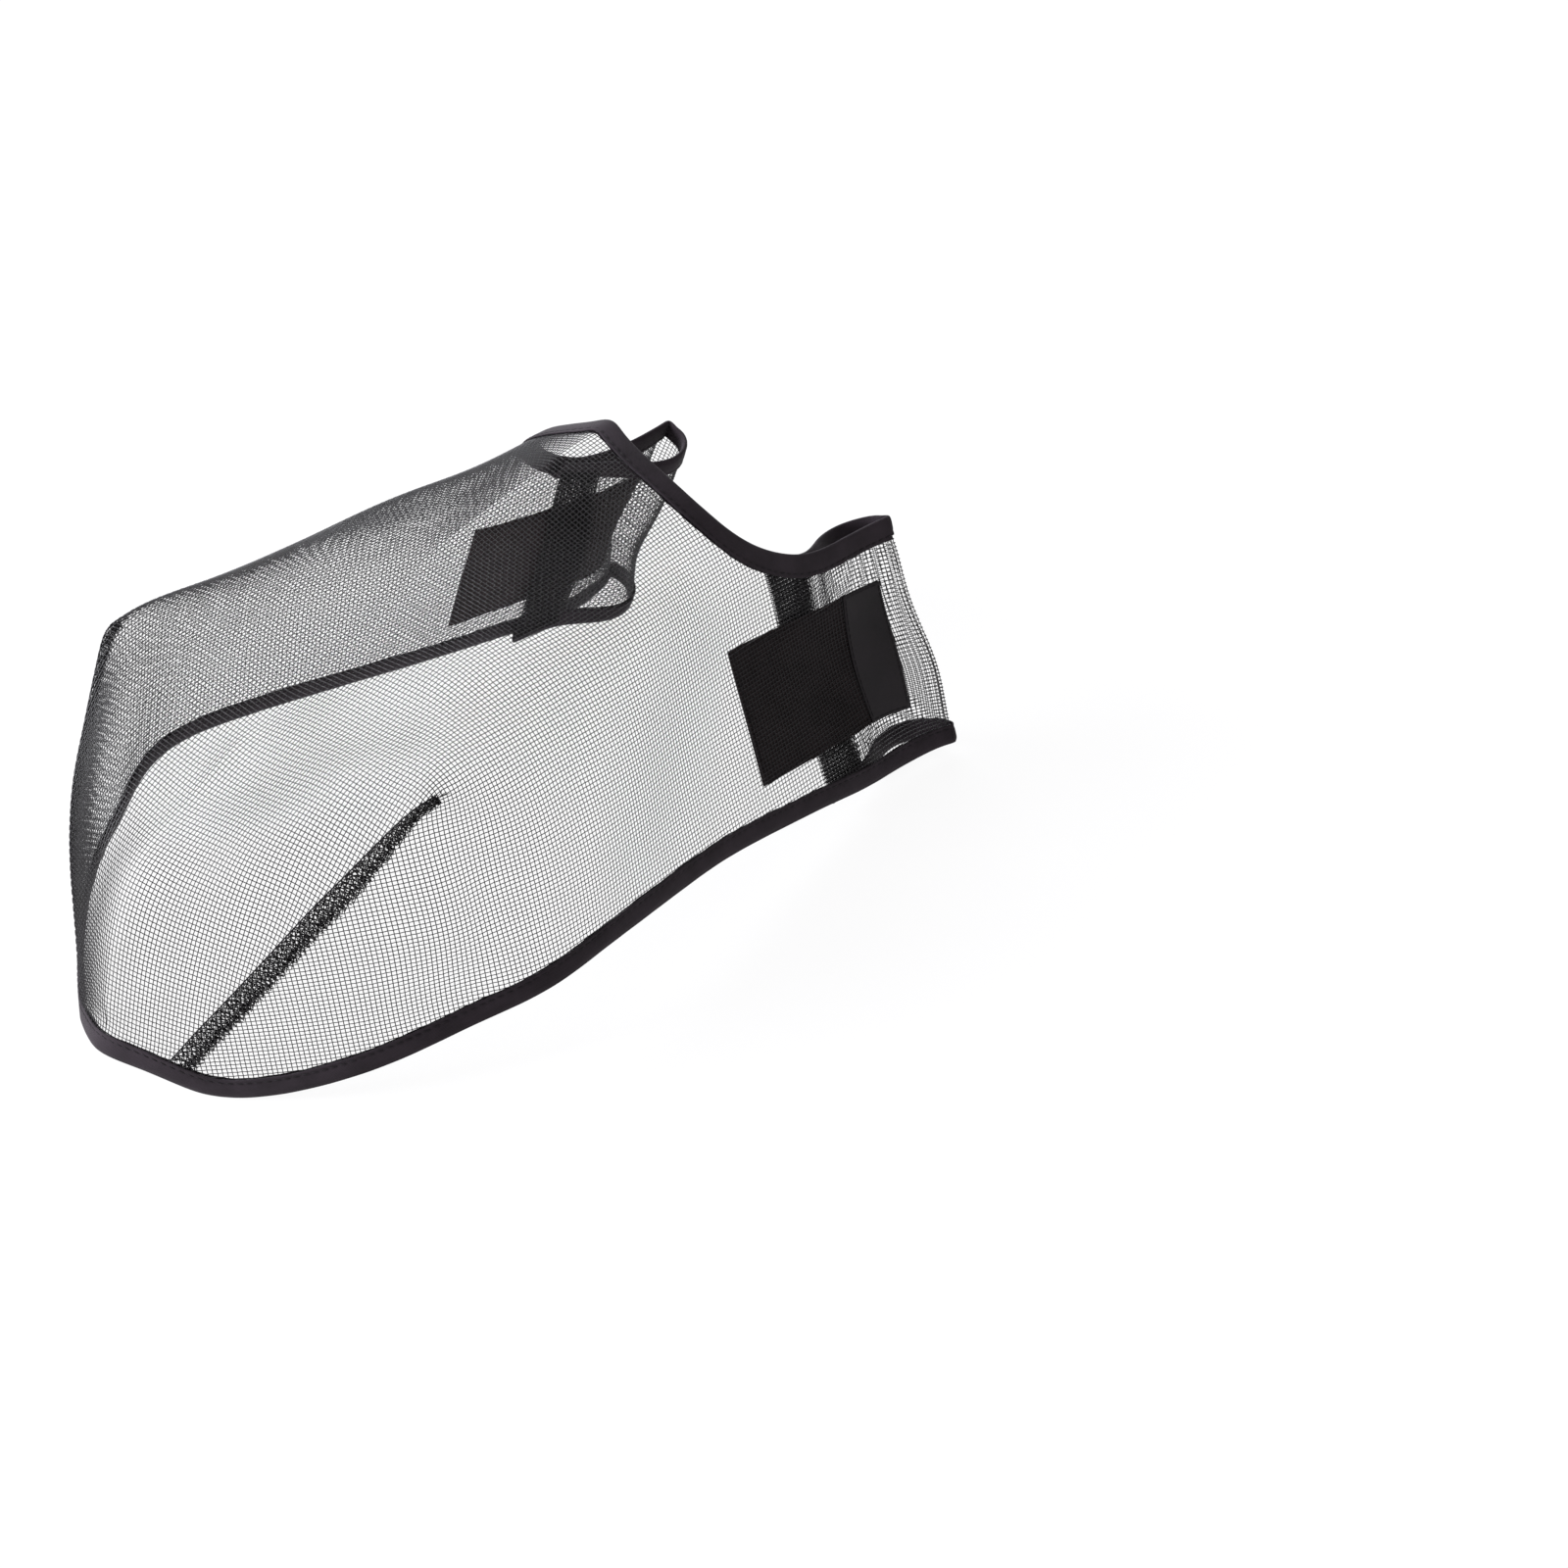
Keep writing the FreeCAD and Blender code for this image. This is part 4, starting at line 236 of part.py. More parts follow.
STRIPS["top"] = [
     (53.19, 153.93, 80.72, 0.3383, -0.0742, -0.9381, 0.9310, -0.1184, 0.3452),
     (52.94, 152.03, 80.77, 0.3284, -0.0559, -0.9431, 0.9415, -0.0690, 0.3317),
     (52.61, 148.21, 80.89, 0.2930, -0.0552, -0.9549, 0.9523, -0.0768, 0.2967),
     (52.26, 142.47, 81.08, 0.2644, -0.0432, -0.9634, 0.9647, -0.0168, 0.2653),
     (52.24, 136.73, 81.33, 0.2776, -0.0430, -0.9598, 0.9608, 0.0284, 0.2767),
     (52.41, 130.99, 81.65, 0.3111, -0.0501, -0.9494, 0.9498, 0.0601, 0.3082),
     (52.66, 125.27, 82.15, 0.3496, -0.0949, -0.9331, 0.9364, 0.0747, 0.3434),
     (52.79, 119.59, 83.03, 0.3796, -0.1802, -0.9097, 0.9257, 0.0756, 0.3709),
     (52.64, 114.01, 84.46, 0.3886, -0.3044, -0.8736, 0.9203, 0.0696, 0.3849),
     (52.16, 108.67, 86.59, 0.3799, -0.4340, -0.8198, 0.9192, 0.0751, 0.3867),
     (51.47, 103.64, 89.29, 0.3773, -0.5146, -0.7713, 0.9168, 0.0885, 0.3896),
     (50.63, 98.85, 92.36, 0.3871, -0.5789, -0.7196, 0.9079, 0.1002, 0.4075),
     (49.55, 94.34, 95.78, 0.4012, -0.6505, -0.6481, 0.8903, 0.1050, 0.4440),
     (48.05, 90.21, 99.50, 0.4073, -0.7316, -0.5529, 0.8627, 0.1013, 0.4970),
     (45.97, 86.61, 103.50, 0.3869, -0.8219, -0.4281, 0.8240, 0.0907, 0.5613),
     (43.20, 83.69, 107.63, 0.3402, -0.8937, -0.3025, 0.7715, 0.0741, 0.6346),
     (39.74, 81.41, 111.64, 0.2877, -0.9364, -0.2095, 0.7020, 0.0523, 0.7130),
     (35.69, 79.64, 115.33, 0.2248, -0.9657, -0.1409, 0.6271, 0.0289, 0.7805),
     (31.16, 78.37, 118.67, 0.1515, -0.9854, -0.0913, 0.5554, 0.0059, 0.8330),
     (26.30, 77.56, 121.64, 0.0896, -0.9943, -0.0633, 0.4927, -0.0123, 0.8711),
     (21.22, 77.07, 124.30, 0.0478, -0.9986, -0.0460, 0.4375, -0.0211, 0.8992),
     (16.00, 76.88, 126.69, -0.0184, -0.9995, -0.0187, 0.4059, -0.0261, 0.9145),
     (10.68, 77.17, 128.94, -0.0768, -1.0012, -0.0016, 0.3514, -0.0277, 0.9343),
     (5.47, 77.94, 130.99, -0.2872, -0.9641, 0.0493, 0.4471, -0.0723, 0.9030),
     (0.00, 79.60, 133.32, -0.0000, -1.0145, -0.1269, 0.0000, -0.0661, 1.0450),
     (-5.47, 77.94, 130.99, 0.2872, -0.9641, 0.0493, -0.4471, -0.0723, 0.9030),
     (-10.68, 77.17, 128.94, 0.0768, -1.0012, -0.0016, -0.3514, -0.0277, 0.9343),
     (-16.00, 76.88, 126.69, 0.0184, -0.9995, -0.0187, -0.4059, -0.0261, 0.9145),
     (-21.22, 77.07, 124.30, -0.0478, -0.9986, -0.0460, -0.4375, -0.0211, 0.8992),
     (-26.30, 77.56, 121.64, -0.0896, -0.9943, -0.0633, -0.4927, -0.0123, 0.8711),
     (-31.16, 78.37, 118.67, -0.1515, -0.9854, -0.0913, -0.5554, 0.0059, 0.8330),
     (-35.69, 79.64, 115.33, -0.2248, -0.9657, -0.1409, -0.6271, 0.0289, 0.7805),
     (-39.74, 81.41, 111.64, -0.2877, -0.9364, -0.2095, -0.7020, 0.0523, 0.7130),
     (-43.20, 83.69, 107.63, -0.3402, -0.8937, -0.3025, -0.7715, 0.0741, 0.6346),
     (-45.97, 86.61, 103.50, -0.3869, -0.8219, -0.4281, -0.8240, 0.0907, 0.5613),
     (-48.05, 90.21, 99.50, -0.4073, -0.7316, -0.5529, -0.8627, 0.1013, 0.4970),
     (-49.55, 94.34, 95.78, -0.4012, -0.6505, -0.6481, -0.8903, 0.1050, 0.4440),
     (-50.63, 98.85, 92.36, -0.3871, -0.5789, -0.7196, -0.9079, 0.1002, 0.4075),
     (-51.47, 103.64, 89.29, -0.3773, -0.5146, -0.7713, -0.9168, 0.0885, 0.3896),
     (-52.16, 108.67, 86.59, -0.3799, -0.4340, -0.8198, -0.9192, 0.0751, 0.3867),
     (-52.64, 114.01, 84.46, -0.3886, -0.3044, -0.8736, -0.9203, 0.0696, 0.3849),
     (-52.79, 119.59, 83.03, -0.3796, -0.1802, -0.9097, -0.9257, 0.0756, 0.3709),
     (-52.66, 125.27, 82.15, -0.3496, -0.0949, -0.9331, -0.9364, 0.0747, 0.3434),
     (-52.41, 130.99, 81.65, -0.3111, -0.0501, -0.9494, -0.9498, 0.0601, 0.3082),
     (-52.24, 136.73, 81.33, -0.2776, -0.0430, -0.9598, -0.9608, 0.0284, 0.2767),
     (-52.26, 142.47, 81.08, -0.2644, -0.0432, -0.9634, -0.9647, -0.0168, 0.2653),
     (-52.61, 148.21, 80.89, -0.2930, -0.0552, -0.9549, -0.9523, -0.0768, 0.2967),
     (-52.94, 152.03, 80.77, -0.3284, -0.0559, -0.9431, -0.9415, -0.0690, 0.3317),
     (-53.19, 153.93, 80.72, -0.3383, -0.0742, -0.9381, -0.9310, -0.1184, 0.3452)]

STRIPS["ftop"] = [
     (51.72, 155.28, 80.08, 0.3556, -0.0115, -0.9346, -0.4684, -0.8675, -0.1675),
     (50.65, 155.94, 79.66, 0.3501, -0.0103, -0.9367, -0.2981, -0.9623, -0.0989),
     (48.16, 156.60, 78.74, 0.3346, -0.0246, -0.9422, -0.0422, -1.0500, 0.0104),
     (44.40, 155.59, 77.39, 0.3545, -0.0483, -0.9339, 0.5147, -0.8793, 0.2422),
     (41.64, 152.70, 76.58, 0.3238, -0.0552, -0.9448, 0.7626, -0.5934, 0.2981),
     (39.74, 149.20, 76.12, 0.2862, -0.0283, -0.9582, 0.9028, -0.3656, 0.2804),
     (38.86, 145.28, 76.02, 0.2452, -0.0377, -0.9689, 0.9773, -0.0814, 0.2527),
     (38.98, 141.28, 76.25, 0.2470, -0.0579, -0.9674, 0.9654, 0.1608, 0.2380),
     (39.90, 137.43, 76.74, 0.2734, -0.0647, -0.9599, 0.9153, 0.3366, 0.2386),
     (41.36, 133.78, 77.42, 0.3039, -0.0600, -0.9510, 0.8582, 0.4549, 0.2459),
     (43.17, 130.33, 78.23, 0.3310, -0.0546, -0.9422, 0.8108, 0.5281, 0.2545),
     (45.12, 127.00, 79.15, 0.3594, -0.0611, -0.9314, 0.7942, 0.5434, 0.2708),
     (46.99, 123.63, 80.16, 0.3848, -0.0805, -0.9197, 0.8135, 0.5047, 0.2948),
     (48.50, 120.09, 81.20, 0.4091, -0.1265, -0.9047, 0.8673, 0.3793, 0.3349),
     (49.35, 116.35, 82.31, 0.4232, -0.2166, -0.8819, 0.9017, 0.2389, 0.3686),
     (49.57, 112.58, 83.58, 0.4083, -0.3268, -0.8550, 0.9154, 0.1293, 0.3842),
     (49.30, 108.92, 85.12, 0.3810, -0.4263, -0.8220, 0.9193, 0.0742, 0.3868),
     (48.81, 105.39, 86.89, 0.3679, -0.4833, -0.7948, 0.9197, 0.0637, 0.3872),
     (48.27, 101.96, 88.84, 0.3783, -0.5219, -0.7653, 0.9161, 0.0906, 0.3916),
     (47.93, 99.75, 90.27, 0.4014, -0.5470, -0.7349, 0.9079, 0.1310, 0.3988),
     (47.78, 98.67, 91.02, 0.4065, -0.5610, -0.7211, 0.9065, 0.1494, 0.3948)]

STRIPS["fbot"] = [
     (84.12, 151.57, 5.44, -0.2941, 0.0073, 0.9558, -0.5294, -0.8338, -0.1565),
     (83.07, 152.28, 5.11, -0.2838, 0.0039, 0.9589, -0.3170, -0.9678, -0.0876),
     (80.55, 152.93, 4.37, -0.2671, 0.0206, 0.9636, -0.0229, -1.0399, 0.0167),
     (76.81, 152.01, 3.34, -0.2759, 0.0556, 0.9598, 0.4412, -0.9062, 0.1791),
     (73.62, 149.82, 2.55, -0.2997, 0.0913, 0.9501, 0.5750, -0.7799, 0.2562),
     (70.89, 147.07, 1.91, -0.3459, 0.1167, 0.9316, 0.7149, -0.6287, 0.3414),
     (68.86, 143.71, 1.49, -0.4031, 0.0990, 0.9104, 0.8457, -0.3867, 0.4097),
     (67.93, 139.86, 1.36, -0.4115, 0.0350, 0.9114, 0.9249, -0.0696, 0.4141),
     (68.16, 135.92, 1.52, -0.3641, 0.0003, 0.9320, 0.9225, 0.1930, 0.3586),
     (69.22, 132.16, 1.91, -0.3145, 0.0019, 0.9496, 0.8869, 0.3686, 0.2926),
     (70.80, 128.62, 2.43, -0.2803, 0.0145, 0.9599, 0.8481, 0.4747, 0.2405),
     (72.66, 125.23, 3.04, -0.2639, 0.0309, 0.9641, 0.8311, 0.5143, 0.2112),
     (74.55, 121.86, 3.64, -0.2506, 0.0201, 0.9679, 0.8499, 0.4849, 0.2097),
     (76.22, 118.37, 4.20, -0.2640, 0.0415, 0.9637, 0.8912, 0.3993, 0.2262),
     (77.45, 114.68, 4.70, -0.2574, 0.0455, 0.9652, 0.9340, 0.2777, 0.2360),
     (78.25, 110.87, 5.10, -0.2533, 0.0491, 0.9661, 0.9561, 0.1728, 0.2420),
     (78.71, 107.00, 5.41, -0.2541, 0.0420, 0.9663, 0.9633, 0.1041, 0.2489),
     (79.00, 103.11, 5.64, -0.2616, 0.0395, 0.9644, 0.9632, 0.0749, 0.2582),
     (79.25, 99.21, 5.87, -0.2726, 0.0370, 0.9614, 0.9594, 0.0887, 0.2686),
     (79.51, 96.62, 6.04, -0.2814, 0.0354, 0.9590, 0.9534, 0.1263, 0.2751),
     (79.69, 95.34, 6.14, -0.2837, 0.0352, 0.9583, 0.9492, 0.1525, 0.2754)]


# ---- geometry helpers ----------------------------------------------------------
def knots(n, deg):
    inner = n - deg - 1
    ks = [0.0] + [float(i + 1) / (inner + 1) for i in range(inner)] + [1.0]
    ms = [deg + 1] + [1] * inner + [deg + 1]
    return ks, ms


def pole(e, h, side=1):
    return Vector(side * (e[0] + e[3] * h), e[1] + e[4] * h, e[2] + e[5] * h)


def surface(net, h, side=1):
    rows = [[pole(e, h, side) for e in row] for row in net]
    ku, mu = knots(len(rows), 3)
    kv, mv = knots(len(rows[0]), 3)
    s = Part.BSplineSurface()
    s.buildFromPolesMultsKnots(rows, mu, mv, ku, kv, False, False, 3, 3)
    return s


def spline(poles):
    k, m = knots(len(poles), 3)
    c = Part.BSplineCurve()
    c.buildFromPolesMultsKnots(poles, m, k, False, 3)
    return c.toShape()


def net_edge(net, which, h, side=1):
    if which == "s0":
        row = net[0]
    elif which == "s1":
        row = net[-1]
    elif which == "t0":
        row = [r[0] for r in net]
    else:
        row = [r[-1] for r in net]
    return spline([pole(e, h, side) for e in row])


def wall(a, b):
    return Part.makeRuledSurface(a, b)


def solid_of(faces):
    shell = Part.makeShell(faces)
    shell.sewShape()
    if shell.ShapeType != "Shell":
        shell = shell.Shells[0]
    s = Part.Solid(shell)
    if s.Volume < 0:
        s.reverse()
    return s


def slab(net, h0, h1, side=1):
    faces = [surface(net, h0, side).toShape(), surface(net, h1, side).toShape()]
    for w in ("s0", "s1", "t0", "t1"):
        faces.append(wall(net_edge(net, w, h0, side), net_edge(net, w, h1, side)))
    return solid_of(faces)


def channel(strip, corners):
    """sweep a closed profile given as (inward, outward-normal) offsets along a hem"""
    lines = []
    for a, h in corners:
        pts = [Vector(e[0] + e[3] * a + e[6] * h, e[1] + e[4] * a + e[7] * h,
                      e[2] + e[5] * a + e[8] * h) for e in strip]
        lines.append(pts)
    edges = [spline(p) for p in lines]
    faces = []
    n = len(edges)
    for i in range(n):
        faces.append(wall(edges[i], edges[(i + 1) % n]))
    for end in (0, -1):
        ring = [p[end] for p in lines]
        w = Part.makePolygon(ring + [ring[0]])
        faces.append(Part.Face(w))
    return solid_of(faces)


def tape(strip, width):
    o, g, t = TAPE_WALL_OUT, TAPE_WALL_IN, TAPE_OVER
    b = width - t
    return channel(strip, [(-t, -o), (b, -o), (b, -g), (-0.2, -g), (-0.2, g), (b, g), (b, o), (-t, o)])


def row_on_tape(strip, width, sign):
    h0 = sign * (TAPE_WALL_OUT + 0.02)
    h1 = sign * (TAPE_WALL_OUT + 0.02 + THREAD_T)
    a0 = width - TAPE_OVER - STITCH_IN - THREAD_W / 2
    a1 = a0 + THREAD_W
    lo, hi = min(h0, h1), max(h0, h1)
    return channel(strip, [(a0, lo), (a1, lo), (a1, hi), (a0, hi)])


def mirrored(shape):
    return shape.mirror(Vector(0, 0, 0), Vector(1, 0, 0))


# ---- the mesh panel: one piece, five fields each side ------------------------------
def mesh_panel():
    faces = []
    for side in (1, -1):
        for name in ("roof", "front", "tab", "mid", "wing"):
            for h in (half, -half):
                faces.append(surface(NETS[name], h, side).toShape())
        free = [("roof", "t0"), ("tab", "s0"), ("tab", "t0"), ("tab", "s1"),
                ("mid", "s1"), ("wing", "s1"), ("wing", "t1"), ("front", "t1")]
        for name, which in free:
            faces.append(wall(net_edge(NETS[name], which, half, side),
                              net_edge(NETS[name], which, -half, side)))
    return solid_of(faces)


def ring(outer, inner, h0, h1):
    a = slab(outer, h0, h1)
    lo, hi = min(h0, h1) - 0.5, max(h0, h1) + 0.5
    b = slab(inner, lo, hi)
    return a.cut(b)


parts = {}
parts["mesh_panel"] = mesh_panel()
parts["top_hem_tape"] = tape(STRIPS["top"], TOP_TAPE_W)
parts["muzzle_and_jaw_hem_tape"] = tape(STRIPS["lower"], LOW_TAPE_W)
parts["top_hem_stitching"] = row_on_tape(STRIPS["top"], TOP_TAPE_W, 1)
parts["muzzle_hem_stitching"] = row_on_tape(STRIPS["lower"], LOW_TAPE_W, 1)

one = {}
one["dart_allowance"] = slab(NETS["allow"], -(half + GAP), -(half + GAP + ALLOW_T))
one["dart_stitching"] = slab(NETS["dstitch"], half + GAP, half + GAP + THREAD_T)
one["loop_patch"] = slab(NETS["patch"], -(half + GAP), -(half + GAP + PATCH_T))
one["label"] = slab(NETS["label"], half + GAP, half + GAP + LABEL_T)
one["patch_stitching"] = ring(NETS["pstitch_out"], NETS["pstitch_in"], -(half + 2 * GAP + PATCH_T), -(half + 2 * GAP + PATCH_T + THREAD_T))
one["label_stitching"] = ring(NETS["lstitch_out"], NETS["lstitch_in"], half + 2 * GAP + LABEL_T, half + 2 * GAP + LABEL_T + THREAD_T)
one["flap_mesh"] = slab(NETS["flap"], half, -half)
one["hook_patch"] = slab(NETS["hook"], half + GAP, half + GAP + HOOK_T)
one["flap_end_hem"] = slab(NETS["endhem"], -(half + GAP), -(half + GAP + END_HEM_T))
one["flap_end_stitching"] = slab(NETS["estitch"], -(half + 2 * GAP + END_HEM_T), -(half + 2 * GAP + END_HEM_T + THREAD_T))
one["flap_upper_tape"] = tape(STRIPS["ftop"], LOW_TAPE_W)
one["flap_lower_tape"] = tape(STRIPS["fbot"], LOW_TAPE_W)

for name, s in one.items():
    parts[name + "_left"] = s
    parts[name + "_right"] = mirrored(s)

os.makedirs("parts", exist_ok=True)
for f in os.listdir("parts"):
    if f.endswith(".step"):
        os.remove(os.path.join("parts", f))
for name, s in parts.items():
    ok = s.isValid()
    bb = s.BoundBox
    print("%-28s valid %s closed %s vol %.1f  x %.1f..%.1f y %.1f..%.1f z %.2f..%.2f" % (
        name, ok, all(sh.isClosed() for sh in s.Shells), s.Volume, bb.XMin, bb.XMax, bb.YMin, bb.YMax, bb.ZMin, bb.ZMax))
    s.exportStep("parts/" + name + ".step")
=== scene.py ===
# Looks of a horse nose fly net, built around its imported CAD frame.
# The cloth is woven thread by thread on the same curved form as the CAD sheet, and
# the hems, patches, labels and stitches are laid on that form. Tables are in millimetres.
import bpy
import math
import numpy as np
from mathutils import Matrix


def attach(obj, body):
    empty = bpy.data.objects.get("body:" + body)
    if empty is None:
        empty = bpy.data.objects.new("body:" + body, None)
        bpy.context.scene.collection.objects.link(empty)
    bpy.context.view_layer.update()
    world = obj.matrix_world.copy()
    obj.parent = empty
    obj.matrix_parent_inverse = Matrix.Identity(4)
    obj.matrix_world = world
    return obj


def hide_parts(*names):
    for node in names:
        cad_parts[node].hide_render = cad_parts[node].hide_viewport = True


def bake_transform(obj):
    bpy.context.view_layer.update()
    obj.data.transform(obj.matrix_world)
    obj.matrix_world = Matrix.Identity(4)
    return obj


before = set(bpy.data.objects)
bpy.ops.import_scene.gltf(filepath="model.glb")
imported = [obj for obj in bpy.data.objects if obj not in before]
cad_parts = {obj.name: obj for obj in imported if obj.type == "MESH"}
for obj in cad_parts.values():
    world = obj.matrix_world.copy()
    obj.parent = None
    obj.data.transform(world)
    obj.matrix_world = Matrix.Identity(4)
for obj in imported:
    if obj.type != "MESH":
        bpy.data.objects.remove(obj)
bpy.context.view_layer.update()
MM = 0.001
RNG = np.random.RandomState(7)

# ---- sizes (mm) ------------------------------------------------------------------
PITCH_U = 1.411      # 18 threads per inch across the net
PITCH_V = 1.588      # 16 threads per inch along it
YARN_R = 0.155       # coated yarn radius
CRIMP = 0.10         # how far a thread rises over the next
FOLD_V = -231.5      # where the tab folds back
TIP_U = 78.5         # the dart's tip
SPLIT_V = -57.0      # each side of the mesh is built as a rear and a front half
TOP_W, LOW_W = 8.0, 7.0
ALLOW_W = 8.2        # seam allowance of the dart

